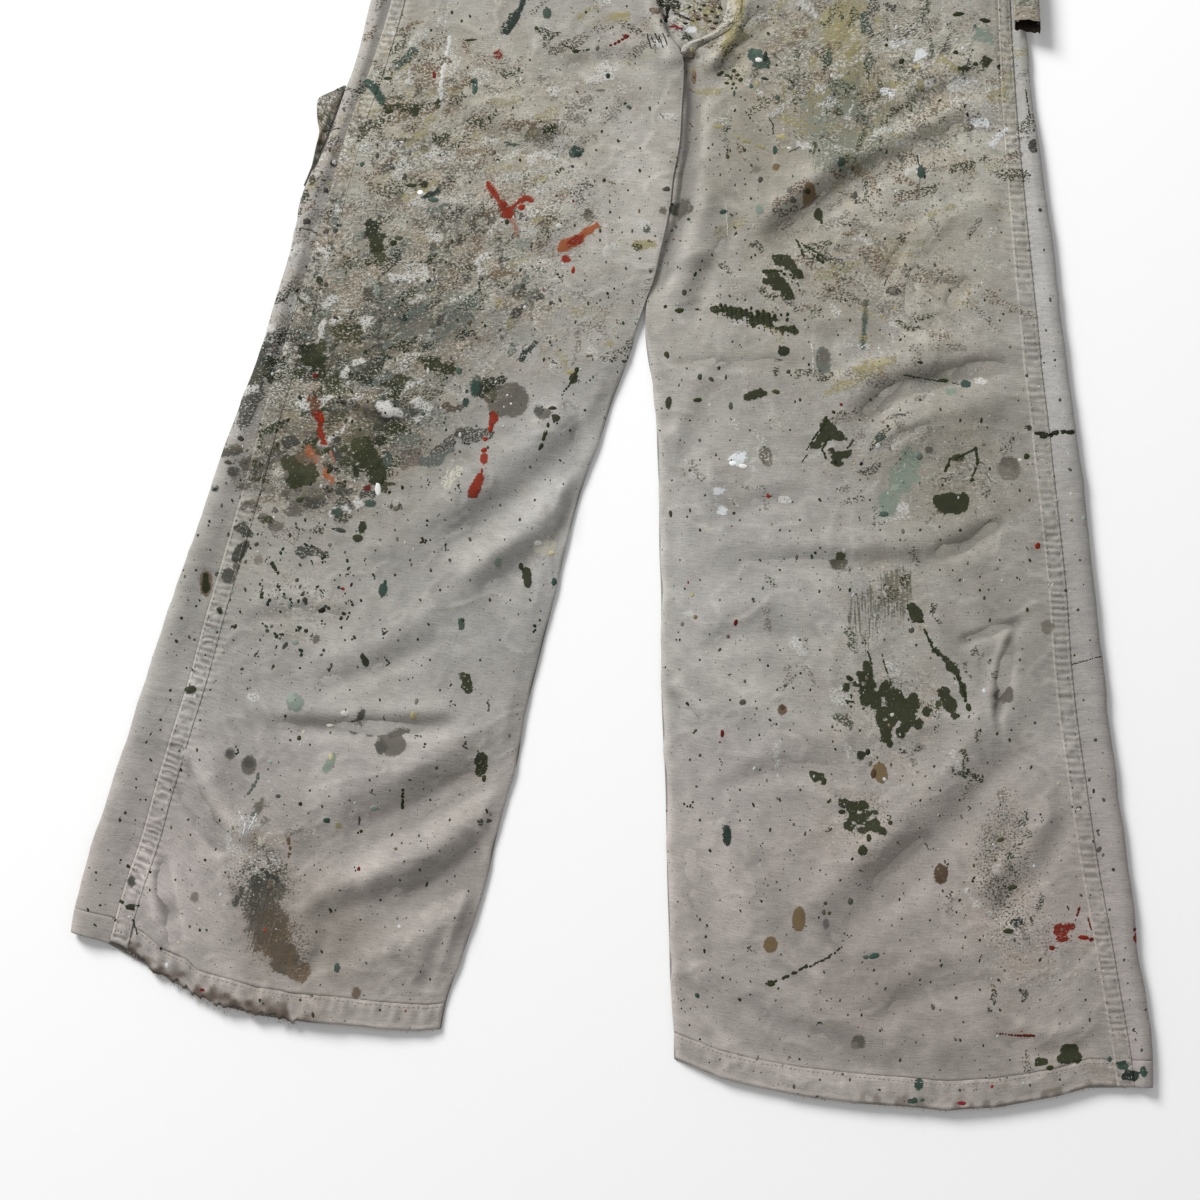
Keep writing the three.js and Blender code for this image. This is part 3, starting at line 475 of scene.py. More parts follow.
def shell(P, t, k=8, flip=False, round_=0.4, skip_under=None):
    """closed thin wall: fine outer face P (n, m, 3), coarse inner face at depth t.
    Returns V, polys, src (index of the outer point that each vertex came from)"""
    n, m = P.shape[:2]
    N = grid_normals(P, flip)
    idx = np.arange(n * m).reshape(n, m)
    top = np.stack([idx[:-1, :-1], idx[:-1, 1:], idx[1:, 1:], idx[1:, :-1]], -1).reshape(-1, 4)
    if flip: top = top[:, ::-1]
    loop = np.concatenate([idx[0, :-1], idx[:-1, -1], idx[-1, :0:-1], idx[:0:-1, 0]])
    R = len(loop)
    Pf, Nf = P.reshape(-1, 3), N.reshape(-1, 3)
    c = Pf[loop]
    tang = np.roll(c, -1, 0) - np.roll(c, 1, 0)
    out = np.cross(tang, Nf[loop]); out /= np.maximum(np.linalg.norm(out, axis=1, keepdims=True), 1e-9)
    if flip: out = -out
    inward = (Pf.mean(0) - c)
    # the side that leaves the sheet: compare with the next row in
    step = np.zeros_like(c)
    rows, cols = loop // m, loop % m
    inner = np.clip(rows, 1, n - 2) * m + np.clip(cols, 1, m - 2)
    step = Pf[inner] - c
    s = np.sign(-(out * step).sum(1)); s[s == 0] = 1
    out *= s[:, None]
    A = c - Nf[loop] * t * 0.5 + out * t * round_
    B = c - Nf[loop] * t
    ia, ib = n * m + np.arange(R), n * m + R + np.arange(R)
    r1 = np.roll(np.arange(R), -1)
    side1 = np.stack([loop, ia, ia[r1], loop[r1]], -1)
    side2 = np.stack([ia, ib, ib[r1], ia[r1]], -1)
    if flip: side1, side2 = side1[:, ::-1], side2[:, ::-1]
    ri, ci = marks(n, k), marks(m, k)
    pos_of = {int(v): i for i, v in enumerate(loop)}
    V = [Pf, A, B]; src = [np.arange(n * m), loop, loop]
    base = n * m + 2 * R
    node = {}
    extra = []
    for a in ri:
        for b in ci:
            f = a * m + b
            if a in (0, n - 1) or b in (0, m - 1): node[(a, b)] = n * m + R + pos_of[f]
            else:
                node[(a, b)] = base + len(extra); extra.append(f)
    extra = np.array(extra, int)
    if len(extra):
        V.append(Pf[extra] - Nf[extra] * t); src.append(extra)
    quads, ngons = [], []
    def edge(p, q):
        """fine vertices strictly between two marks on the border"""
        (a0, b0), (a1, b1) = p, q
        if a0 == a1 and a0 in (0, n - 1):
            st = 1 if b1 > b0 else -1
            return [n * m + R + pos_of[a0 * m + b] for b in range(b0 + st, b1, st)]
        if b0 == b1 and b0 in (0, m - 1):
            st = 1 if a1 > a0 else -1
            return [n * m + R + pos_of[a * m + b0] for a in range(a0 + st, a1, st)]
        return []
    for i in range(len(ri) - 1):
        for j in range(len(ci) - 1):
            cs = [(ri[i], ci[j]), (ri[i + 1], ci[j]), (ri[i + 1], ci[j + 1]), (ri[i], ci[j + 1])]
            poly = []
            for q in range(4):
                poly.append(node[cs[q]]); poly += edge(cs[q], cs[(q + 1) % 4])
            if flip: poly = poly[::-1]
            (quads if len(poly) == 4 else ngons).append(poly)
    polys = [top, side1, side2]
    if quads: polys.append(np.array(quads))
    by = {}
    for p in ngons: by.setdefault(len(p), []).append(p)
    polys += [np.array(v) for v in by.values()]
    return np.concatenate(V), polys, np.concatenate(src)

def shell_volume_ok(ob):
    me = ob.data
    n = len(me.vertices); co = np.empty(n * 3, np.float32); me.vertices.foreach_get("co", co); co = co.reshape(-1, 3)
    me.calc_loop_triangles(); t = np.empty(len(me.loop_triangles) * 3, np.int32)
    me.loop_triangles.foreach_get("vertices", t); t = t.reshape(-1, 3)
    a, b, c = co[t[:, 0]].astype(float), co[t[:, 1]].astype(float), co[t[:, 2]].astype(float)
    return float((a * np.cross(b, c)).sum() / 6)

def tube(path, r, sides=6, closed=False, up=(0, 0, 1)):
    """swept round wire, V and polys"""
    P = np.asarray(path, float); n = len(P)
    T = np.roll(P, -1, 0) - np.roll(P, 1, 0)
    if not closed: T[0] = P[1] - P[0]; T[-1] = P[-1] - P[-2]
    T /= np.linalg.norm(T, axis=1, keepdims=True)
    up = np.asarray(up, float)
    A = np.cross(T, up); bad = np.linalg.norm(A, axis=1) < 1e-4
    A[bad] = np.cross(T[bad], [0.3, 1, 0.2]); A /= np.linalg.norm(A, axis=1, keepdims=True)
    B = np.cross(T, A)
    rr = np.broadcast_to(np.asarray(r, float), (n,))
    a = np.arange(sides) / sides * 2 * np.pi
    V = P[:, None] + rr[:, None, None] * (np.cos(a)[None, :, None] * A[:, None] + np.sin(a)[None, :, None] * B[:, None])
    V = V.reshape(-1, 3)
    i = np.arange(n if closed else n - 1)[:, None]; j = np.arange(sides)[None]
    i1, j1 = (i + 1) % n, (j + 1) % sides
    q = np.stack([i * sides + j, i1 * sides + j, i1 * sides + j1, i * sides + j1], -1).reshape(-1, 4)
    polys = [q]
    if not closed:
        polys.append(np.arange(sides)[None, :].astype(int)); polys.append((np.arange(sides) + (n - 1) * sides)[None, ::-1])
    return V, polys

def merge(parts):
    Vs, by, off = [], {}, 0
    for V, polys in parts:
        Vs.append(V)
        for p in polys:
            p = np.asarray(p)
            if len(p): by.setdefault(p.shape[1], []).append(p + off)
        off += len(V)
    return np.concatenate(Vs), [np.concatenate(v) for v in by.values()]

def capsules(A, B, N, w=0.55, h=0.42):
    """stitches: from A to B lying on a surface of normal N; arrays (k, 3)"""
    k = len(A)
    T = B - A; L = np.linalg.norm(T, axis=1, keepdims=True); T = T / L
    X = np.cross(T, N); X /= np.linalg.norm(X, axis=1, keepdims=True)
    N = np.cross(X, T)
    pts = []
    for f, s, lift_ in ((0.0, 0.35, 0.0), (0.22, 1.0, 0.75), (0.78, 1.0, 0.75), (1.0, 0.35, 0.0)):
        c = A + T * L * f + N * h * (lift_ - 0.35)
        for a in range(5):
            t = 2 * np.pi * a / 5 + 0.3
            pts.append(c + X * (w * 0.5 * s * np.cos(t)) + N * (h * 0.5 * s * np.sin(t)))
    V = np.stack(pts, 1)  # k, 20, 3
    q = []
    for r in range(3):
        for a in range(5):
            a1 = (a + 1) % 5
            q.append([r * 5 + a, r * 5 + a1, r * 5 + 5 + a1, r * 5 + 5 + a])
    q = np.array(q); e = np.array([[4, 3, 2, 1, 0], [15, 16, 17, 18, 19]])
    off = (np.arange(k) * 20)[:, None, None]
    return V.reshape(-1, 3), [(q[None] + off).reshape(-1, 4), (e[None] + off).reshape(-1, 5)]

class Surf:
    """a grid surface that stitches, threads and drops are laid on"""
    def __init__(self, P, flip=False):
        self.P, self.N = P, grid_normals(P, flip)
    def at(self, i, j):
        i = np.clip(np.asarray(i, float), 0, self.P.shape[0] - 1.001); j = np.clip(np.asarray(j, float), 0, self.P.shape[1] - 1.001)
        a, b = i.astype(int), j.astype(int); f, g = (i - a)[:, None], (j - b)[:, None]
        def q(G): return (G[a, b] * (1 - f) + G[a + 1, b] * f) * (1 - g) + (G[a, b + 1] * (1 - f) + G[a + 1, b + 1] * f) * g
        return q(self.P), q(self.N)
def stitch_line(surf, i, j, pitch=3.5, length=2.5, lift_=0.05, jitter=0.12, seed=1, skip=0.0, w=0.55):
    """stitches along the grid path (i(t), j(t)), arrays of float indices"""
    p, nrm = surf.at(i, j)
    d = np.concatenate([[0], np.cumsum(np.linalg.norm(np.diff(p, axis=0), axis=1))])
    if d[-1] < pitch * 2: return None
    rs = np.random.RandomState(seed)
    s = np.arange(0.6, d[-1] - length, pitch)
    s = s + rs.uniform(-jitter, jitter, len(s)) * pitch
    if skip: s = s[rs.rand(len(s)) > skip]
    get = lambda q, t: np.stack([np.interp(t, d, q[:, c]) for c in range(3)], -1)
    A, B, N = get(p, s), get(p, s + length), get(nrm, s + length / 2)
    N /= np.linalg.norm(N, axis=1, keepdims=True)
    side = np.cross(B - A, N); side /= np.linalg.norm(side, axis=1, keepdims=True)
    A = A + N * lift_ + side * rs.normal(0, 0.08, (len(A), 1)); B = B + N * lift_ + side * rs.normal(0, 0.08, (len(A), 1))
    return capsules(A, B, N, w=w)

# ---- paint, dirt and painted shade: a chart of marks ------------------------------------------------
def srgb(r, g, b):
    c = np.array([r, g, b]) / 255.0
    return np.where(c <= 0.04045, c / 12.92, ((c + 0.055) / 1.055) ** 2.4)
INK = dict(
 ol=(44,49,27), ol2=(60,61,40), olg=(66,72,54), dol=(38,41,26), dg=(66,66,60), gr=(92,88,81), lg=(118,112,103), bg=(92,98,92),
 tl=(48,70,61), tl2=(62,79,70), dtl=(33,48,41), tlg=(99,108,100), mt=(126,139,127), mt2=(148,158,146), ye=(158,148,104), ye2=(146,138,98), yp=(176,168,130),
 re=(116,28,6), re2=(130,36,8), rd=(92,24,12), orr=(156,86,50), pk=(150,110,92), cr=(120,34,44), br=(76,60,43), br2=(104,88,70), tn=(112,94,66), ru=(96,62,40),
 wh=(214,217,219), wp=(196,195,190), cm=(188,184,170), bk=(30,29,25), gg=(136,139,126), vi=(106,98,98), pb=(84,76,66), pu=(104,94,90))
INK = {k: srgb(*v) * 0.86 for k, v in INK.items()}
SOAK, COAT, DRY, VDRY = [], [], [], []
def e(u, v, w, h, c, a=0, rag=0.5, L=COAT, hole=0.0): L.append(("e", u, v, w, h, c, a, rag, hole))
def k(c, w, *pts, w1=None, rag=0.45, L=COAT, hole=0.0): L.append(("k", c, w, w if w1 is None else w1, pts, rag, hole))
def d(u, v, w, h, c, amp=0.6, a=0, L=DRY): L.append((u, v, w, h, c, amp, a))
def dots(c, r, *pts, L=COAT, rag=0.35):
    for i, p in enumerate(pts):
        q = r * (p[2] if len(p) > 2 else 1) * (0.55 + 0.5 * ((i * 37 + int(p[0])) % 11) / 10)
        e(p[0], p[1], q, q * (1 + 0.7 * ((i * 53) % 7) / 6), c, a=(i * 61) % 90 - 45, rag=rag, L=L)

def rub(seed, n, u, v, ru, rv, ang, cols, lo=9, hi=30, gap=(.42, .66), thin=(5.5, 9), L=COAT):
    """short broken wipes of the brush, all pulled much the same way"""
    rs = np.random.RandomState(seed)
    for _ in range(n):
        a, b = u + ru * rs.normal(), v + rv * rs.normal()
        t = math.radians(ang + 22 * rs.normal()); l = rs.uniform(lo, hi) * rs.uniform(.5, 1) / 2
        w = rs.uniform(*thin)
        c_, s_ = math.cos(t) * l, math.sin(t) * l
        k(cols[rs.randint(len(cols))], w, (a - c_, b - s_), (a + 3 * rs.normal(), b + 2 * rs.normal()), (a + c_, b + s_), w1=w * rs.uniform(.4, 1), rag=1.5, hole=float(rs.uniform(*gap)), L=L)

def chart_marks():
    rub(31, 80, 430, 130, 90, 70, -24, ("cm","lg","br2","wp","ye2","pb"), 18, 60, (.5, .68), (7, 16))
    rub(32, 60, 430, 250, 90, 60, -30, ("lg","cm","dg","br2","wp","ol2"), 18, 60, (.5, .68), (7, 16))
    rub(33, 60, 880, 90, 90, 70, -20, ("lg","cm","ye2","br2","wp","ol2"), 18, 56, (.5, .68), (7, 15))
    rub(34, 44, 890, 260, 80, 60, 20, ("lg","br2","cm","pb","ye2"), 18, 56, (.5, .68), (7, 15))
    rub(35, 50, 350, 380, 70, 60, -25, ("dg","lg","wp","cm","dtl","ol2"), 16, 50, (.4, .62), (7, 16))
    rub(1, 60, 440, 130, 75, 60, -22, ("ye2","br2","lg","cm","wp","ol2"), 12, 44)
    rub(2, 46, 420, 90, 70, 50, -28, ("dg","ol","dtl","br2","wp","ol2","pb"), 8, 30)
    rub(3, 60, 400, 290, 70, 45, -38, ("dtl","bg","dg","ol","wp","tlg","pb"), 12, 50, (.32, .6))
    rub(4, 70, 345, 380, 60, 55, -20, ("ol","dg","dol","ol2","wp","pb","bg"), 10, 40, (.22, .55), (6, 13))
    rub(5, 34, 320, 470, 40, 40, 0, ("ol2","dg","gr","lg","dol"), 8, 26, (.2, .5), (6, 12))
    rub(6, 40, 480, 240, 60, 40, -15, ("ol2","dg","lg","wp","br2","ye2"), 10, 34)
    rub(7, 26, 570, 60, 50, 50, -10, ("ol","ye2","wp","lg"), 8, 30)
    rub(8, 50, 860, 60, 60, 55, -82, ("ye2","ol2","dtl","wp","olg","dg"), 10, 40)
    rub(9, 36, 940, 70, 50, 40, -14, ("wp","ol","ye2","lg","wh","dg"), 8, 30)
    rub(10, 26, 770, 60, 40, 50, 10, ("ye2","wp","ol2","br2"), 8, 30)
    rub(11, 30, 890, 180, 60, 60, -22, ("br2","wp","lg","ol2","ye2"), 10, 36)
    rub(12, 34, 860, 290, 70, 50, 24, ("br2","ol2","wp","dg","lg","ye2"), 8, 32)
    rub(13, 30, 920, 430, 70, 50, -20, ("ol2","wp","dg","br2","lg"), 8, 30)
    rub(14, 30, 880, 680, 50, 60, 70, ("ol2","ol","lg","wp","olg"), 8, 32)
    rub(15, 24, 1010, 880, 26, 60, 84, ("ol2","lg","wp","olg","dg"), 8, 36)
    rub(16, 8, 266, 905, 14, 30, 84, ("dg","gr","br2"), 12, 34, (.2, .4), (3, 7), SOAK)
    rub(17, 14, 250, 830, 30, 14, -20, ("wp","lg","cm"), 8, 26)
    rub(18, 20, 320, 240, 30, 50, 70, ("ol","dg","wp","pb","ol2"), 8, 26)
    rub(19, 16, 745, 480, 40, 40, 60, ("cm","wp","lg"), 8, 24, (.5, .68))
    rub(20, 16, 560, 320, 50, 40, 60, ("cm","wp","lg","ye2"), 8, 30, (.5, .68))
    rub(21, 12, 700, 14, 26, 12, 10, ("dol","ye2","br2","wp"), 6, 16, (.3, .5))
    rub(22, 14, 310, 110, 8, 26, 60, ("dol","pb","dg","ol"), 6, 20, (.3, .5))
    rub(24, 46, 305, 600, 36, 34, 88, ("dtl","ol","dg","ol"), 4, 12, (.1,.4), (2.2,4.6))
    rub(25, 26, 600, 300, 60, 60, 40, ("ol","dg","br2"), 3, 9, (.1,.4), (1.6,3))
    rub(26, 40, 860, 820, 120, 120, 80, ("ol","dg","ol2"), 3, 10, (.1,.4), (1.6,3))
    rub(27, 40, 380, 660, 120, 100, 85, ("ol","dg","dtl"), 3, 10, (.1,.4), (1.6,3.4))
    rub(23, 60, 620, -330, 190, 170, -20, ("ol2","wp","lg","ye2","br2","bg"), 10, 36)
    # -- hips, wearer's right
    k("dtl",6.6,(524,-4),(520,8),(514,20),(507,31),w1=6,rag=.9,hole=.12); e(547,13,8,10,"tl2"); e(619,16,26,9,"ye",hole=.4,rag=1); k("rd",3,(611,45),(627,37),w1=5)
    for i in range(5): k("dtl",1.6,(647+4*i,34+i%2*3),(651+4*i,48-i%3*3))
    k("tl",8,(368,82),(376,90),(381,99),w1=10,hole=.15); k("tl2",7,(398,66),(408,56),(414,50),w1=9,hole=.35); e(434,75,6,8,"rd"); e(498,54,9,9,"re",rag=.8,hole=.3)
    e(402,107,38,11,"ol",a=3,rag=1.4,hole=.34); e(414,113,8,8,"ol"); e(388,111,10,6,"ol",rag=1,hole=.3)
    k("wp",5,(450,38),(446,60),(442,78),(441,102),rag=1.6,hole=.5); e(441,98,16,26,"wp",rag=2,hole=.6); e(438,104,8,10,"ol",rag=1,hole=.2)
    e(475,89,6,16,"tl2",rag=.7,hole=.3); e(474,82,7,5,"dtl"); k("ol",2,(560,44),(577,51),(590,49),rag=.9,hole=.4); e(577,51,14,5,"dol",rag=1.2,hole=.4)
    e(608,75,5,7,"dtl"); e(625,103,4,4,"dtl"); e(629,107,6,5,"tl2"); e(402,144,15,13,"tl2",rag=.3,L=SOAK); e(403,142,9,8,"tlg",rag=.3,L=SOAK); e(402,142,4,2,"wp")
    e(512,142,22,8,"tl2",rag=1,hole=.35); e(542,134,32,22,"dg",rag=2,hole=.4,L=SOAK); e(548,130,16,12,"ol",rag=1.2,hole=.3); e(545,152,20,8,"wp",rag=1.5,hole=.45); e(576,151,15,12,"tl",rag=.8,hole=.25); e(578,155,8,6,"dtl",rag=.6)
    e(538,178,20,12,"ye",rag=1,hole=.5,L=SOAK); e(525,172,9,7,"ye2",rag=.8,hole=.3,L=SOAK)
    k("re2",5.4,(488,184),(493,192),(500,203),(506,212),w1=8,rag=.8,hole=.08); e(508,214,13,10,"re2",a=35,rag=1,hole=.05); k("re2",6,(508,212),(516,204),(526,198),w1=7,rag=.9,hole=.08); e(527,200,14,8,"re2",a=-8,rag=1,hole=.1); e(522,208,9,6,"re2",rag=.9,hole=.1); k("pk",5.3,(513,222),(517,232),rag=1,hole=.35); e(504,206,9,8,"re",rag=.8,hole=.1)
    e(530,232,20,16,"wp",rag=1.5,hole=.5); e(522,243,12,10,"mt2",rag=1.3,hole=.5); e(588,215,12,14,"gr",L=SOAK,rag=.3); e(588,213,7,8,"dg",L=SOAK,rag=.2)
    k("orr",12,(563,246),(574,241),(584,234),(596,225),w1=6,rag=1,hole=.06); e(576,240,20,8,"re2",a=-32,rag=.9,hole=.1); e(566,259,9,8,"re2",a=-20,rag=.4); e(573,270,4,7,"re"); e(573,201,3,3,"rd"); e(560,226,10,5,"wp",rag=1,hole=.4)
    k("dtl",6,(423,198),(431,194),(440,191),w1=5,rag=.5,hole=.1); e(433,200,14,6,"tl2",rag=1,hole=.5); e(398,197,10,14,"tlg",rag=.6,L=SOAK,hole=.2); e(420,192,6,5,"wh",rag=.6,hole=.2)
    e(372,228,17,20,"dol",rag=1.1,hole=.2); e(377,243,17,22,"ol",rag=1,hole=.15); e(381,256,10,10,"ol2",rag=.8,hole=.2); e(393,243,9,6,"ol",rag=.5); e(400,238,10,6,"olg",rag=.8,hole=.3)
    dots("dg",6,(326,231),(335,229),(339,225),(365,237,.8),(308,221,.9)); dots("tl2",5,(362,164),(483,232,.9),(480,205,.5)); dots("dg",4,(370,122),(377,155,1.2),(357,164),(393,168),(420,180),(405,176,1.3),(440,155),(438,195,.8))
    e(424,184,10,7,"dol",rag=.5,hole=.2); e(412,185,12,5,"ol",rag=.8,hole=.5)
    e(374,290,18,24,"tlg",rag=.8,L=SOAK,hole=.3); e(376,291,9,12,"mt2",rag=.8,hole=.5); e(519,292,16,18,"gr",L=SOAK,rag=.5); e(530,301,12,20,"bg",L=SOAK,rag=.7); e(523,286,8,6,"dg",L=SOAK)
    e(319,280,7,8,"ol"); e(325,284,5,5,"dg"); e(499,303,8,12,"ye",rag=.7,L=SOAK); e(611,343,9,8,"ye",rag=.7,L=SOAK,hole=.2)
    d(408,320,34,36,"bg",.72,20); d(459,318,38,44,"tlg",.62,35); e(437,322,20,28,"tlg",rag=2,hole=.45,L=SOAK,a=30); e(409,321,16,22,"bg",rag=1.8,hole=.3,L=SOAK); e(404,318,10,8,"dtl",rag=1.2,hole=.4)
    d(355,363,44,22,"bg",.62,-10); d(403,378,26,18,"bg",.6); e(355,362,30,12,"bg",rag=1.8,hole=.4,L=SOAK,a=-12); e(470,300,12,16,"tl2",rag=1.4,hole=.5); d(450,292,40,14,"bg",.45,-20)
    d(470,250,80,60,"pb",.22); d(400,200,80,60,"dg",.25); d(560,140,60,40,"gr",.35); d(480,140,60,50,"lg",.3); d(360,280,60,60,"ol2",.3); d(430,250,90,50,"ol2",.22)
    d(540,160,50,22,"ye",.28); d(640,60,40,30,"yp",.25); d(600,20,60,20,"ye",.3); d(520,190,40,20,"ye",.25); d(590,205,20,9,"ye",.4)
    d(448,70,22,60,"wp",.42,8); d(390,150,40,30,"wp",.22); d(540,215,44,34,"wp",.36); d(345,150,14,60,"wp",.45,20); d(420,120,60,30,"wp",.2); d(480,60,60,40,"wp",.18); d(500,265,50,26,"wp",.28)
    d(360,110,14,40,"br2",.4,20); d(384,40,30,30,"lg",.2); e(388,78,10,3,"ol",rag=.9,hole=.4); e(470,40,16,3,"ol",rag=.9,hole=.5); e(600,90,10,3,"lg",rag=.9,hole=.4)
    dots("ol",3.2,(396,22),(431,30),(452,12),(536,28),(586,12),(470,16),(560,70),(500,84),(513,108),(590,110),(566,108),(602,131),(618,141),(631,122),(551,92),(489,118),(455,128),(460,160),(498,160),(470,182),(520,160),(560,170),(604,180),(628,190),(640,170),(610,212),(622,232),(600,240),(540,262),(520,270),(490,255),(470,268),(452,240),(446,262),(430,280),(480,290))
    dots("dg",3.0,(414,28),(440,44),(530,60),(577,92),(640,88),(650,108),(596,150),(640,148),(586,178),(556,196),(488,224),(466,222),(450,208),(436,232),(412,262),(398,282),(350,250),(346,272),(336,300),(352,312),(380,320),(428,345),(476,338),(500,330),(560,300),(585,280),(606,262),(626,268),(600,300),(575,322),(550,342),(530,352))
    # -- crotch
    e(681,209,25,14,"dg",a=-4,rag=.15,L=SOAK); e(684,209,15,8,"gr",a=-4,rag=.15,L=SOAK); e(663,210,8,9,"gr",L=SOAK,rag=.3); e(647,229,8,9,"dg",L=SOAK,rag=.3)
    e(666,189,9,6,"dg",rag=.3); e(665,188,5,3,"lg"); e(643,244,26,10,"ye2",rag=1.2,hole=.3,L=SOAK); e(636,246,12,7,"ol2",rag=1,hole=.4); e(659,247,8,6,"dol",rag=.5)
    dots("dg",3.5,(655,236),(672,230),(668,262,.7),(676,226),(640,258),(650,270,.8),(658,290,.8)); k("ye2",1.6,(671,157),(676,156)); k("br",1.4,(690,122),(693,126)); k("lg",1.2,(660,113),(664,118)); k("wp",1.4,(726,204),(728,236))
    # -- upper mass on the wearer's right leg
    e(263,366,26,24,"dg",a=-28,rag=1.3,hole=.05,L=SOAK); e(253,385,22,34,"dg",a=-14,rag=1.3,L=SOAK); e(246,408,20,34,"dg",a=-8,rag=1.2,L=SOAK); e(243,424,15,10,"dg",rag=.8,L=SOAK); e(262,362,12,10,"dtl",rag=1,L=SOAK)
    e(268,345,8,6,"dg",rag=.7); e(272,380,7,6,"dg",rag=.7); e(256,352,6,5,"ol")
    e(314,356,27,26,"ol",rag=1.8,hole=.12); e(306,349,14,12,"dol",rag=1,hole=.2); e(322,347,12,14,"ol2",rag=1,hole=.2); e(345,333,34,22,"ol2",rag=2.2,hole=.38); e(352,328,20,12,"ol",rag=1.6,hole=.4); e(300,372,12,8,"ol",rag=1.2,hole=.3)
    e(315,375,8,6,"rd",rag=.7,hole=.2); e(310,379,5,3,"re2"); k("re",9,(312,400),(316,410),(320,424),w1=6,rag=.9,hole=.2); e(314,404,12,13,"ru",rag=1,hole=.3); k("re2",5,(320,428),(321,434),(324,443),w1=6,rag=.7,hole=.2); e(322,418,5,9,"re2")
    e(337,440,9,7,"dg",rag=.7); e(327,450,7,5,"ol")
    e(234,451,19,13,"dg",rag=.7,L=SOAK,a=-8); e(222,452,9,11,"dg",rag=.5,L=SOAK); e(233,472,12,11,"dg",rag=.5,L=SOAK); e(215,489,10,8,"dg",rag=.5,L=SOAK); e(215,489,5,4,"dtl"); e(228,462,7,5,"dg"); e(256,465,34,18,"gr",rag=1.6,hole=.12,L=SOAK); e(260,478,22,12,"gr",rag=1.5,hole=.2,L=SOAK); e(277,452,22,22,"gr",rag=1.4,hole=.08,L=SOAK); e(278,450,12,12,"dg",rag=1,L=SOAK)
    e(240,438,9,6,"dg",rag=.6); e(259,447,8,5,"ol",rag=.5); e(268,438,12,7,"lg",rag=1,hole=.3)
    e(290,463,22,16,"ol2",rag=1.3,hole=.1); e(303,472,34,30,"ol2",rag=1.7,hole=.08); e(296,480,20,18,"ol",rag=1.3,hole=.1); e(307,458,20,14,"br2",rag=1.2,hole=.3); e(313,495,24,16,"ol2",rag=.9,L=SOAK); e(293,512,20,9,"gr",rag=.7,L=SOAK); e(276,526,17,11,"gr",rag=.6,L=SOAK); e(249,503,17,8,"gr",rag=.8,L=SOAK); e(268,500,20,8,"lg",rag=1.2,hole=.3,L=SOAK)
    e(286,495,10,10,"dg",rag=.6,L=SOAK); e(330,490,9,12,"gr",rag=.7,L=SOAK); e(262,516,12,6,"gr",rag=.6,L=SOAK); e(243,487,12,7,"gr",rag=.7,L=SOAK); e(300,500,8,6,"ol")
    k("orr",7,(309,449),(316,460),(325,472),(332,482),w1=4,rag=1.3,hole=.3); e(318,458,9,7,"pk",rag=.9,hole=.3); k("pk",4,(330,448),(334,462),rag=.8,hole=.4)
    e(366,455,24,36,"ol",rag=1.7,hole=.1); e(376,470,20,30,"ol",rag=1.5,hole=.08); e(358,444,16,16,"ol2",rag=1.3,hole=.2); e(356,470,8,14,"dol",rag=1,hole=.1); e(388,459,8,18,"tl2",rag=1.1,hole=.3); e(380,440,14,10,"dol",rag=1.1,hole=.25); e(398,430,22,9,"ol",rag=1.5,hole=.35); e(410,410,26,9,"dg",rag=1.8,hole=.45,a=30)
    e(411,457,24,20,"pu",rag=1.2,L=SOAK,hole=.1); e(404,466,12,10,"gr",rag=1,L=SOAK); e(367,488,9,7,"rd",rag=.7); e(378,489,6,12,"wp",rag=.9,hole=.3); e(382,480,5,9,"dol"); e(370,503,12,8,"tl2",rag=.4); e(337,512,12,7,"tl2",rag=.4); e(339,530,13,5,"dg",rag=.5,a=10)
    e(362,527,9,13,"ol",rag=.4,a=15); e(358,538,11,8,"ol",rag=.5); e(397,509,6,6,"gr"); e(239,552,12,24,"dg",rag=.5,a=28); e(245,545,9,12,"dg",rag=.4,a=30); e(228,576,14,17,"dg",rag=.4,L=SOAK); e(236,566,7,9,"gr"); e(258,560,10,11,"lg",rag=.4,L=SOAK); e(257,544,6,6,"dg"); e(217,574,6,5,"dg")
    e(205,583,13,28,"br2",rag=.7,L=SOAK); e(205,583,8,22,"ol",rag=.6); e(213,598,3,8,"ol"); e(219,610,7,7,"ol"); dots("ol",4,(181,618),(217,632),(176,641),(199,600,.8),(230,600,.8),(240,612,.7))
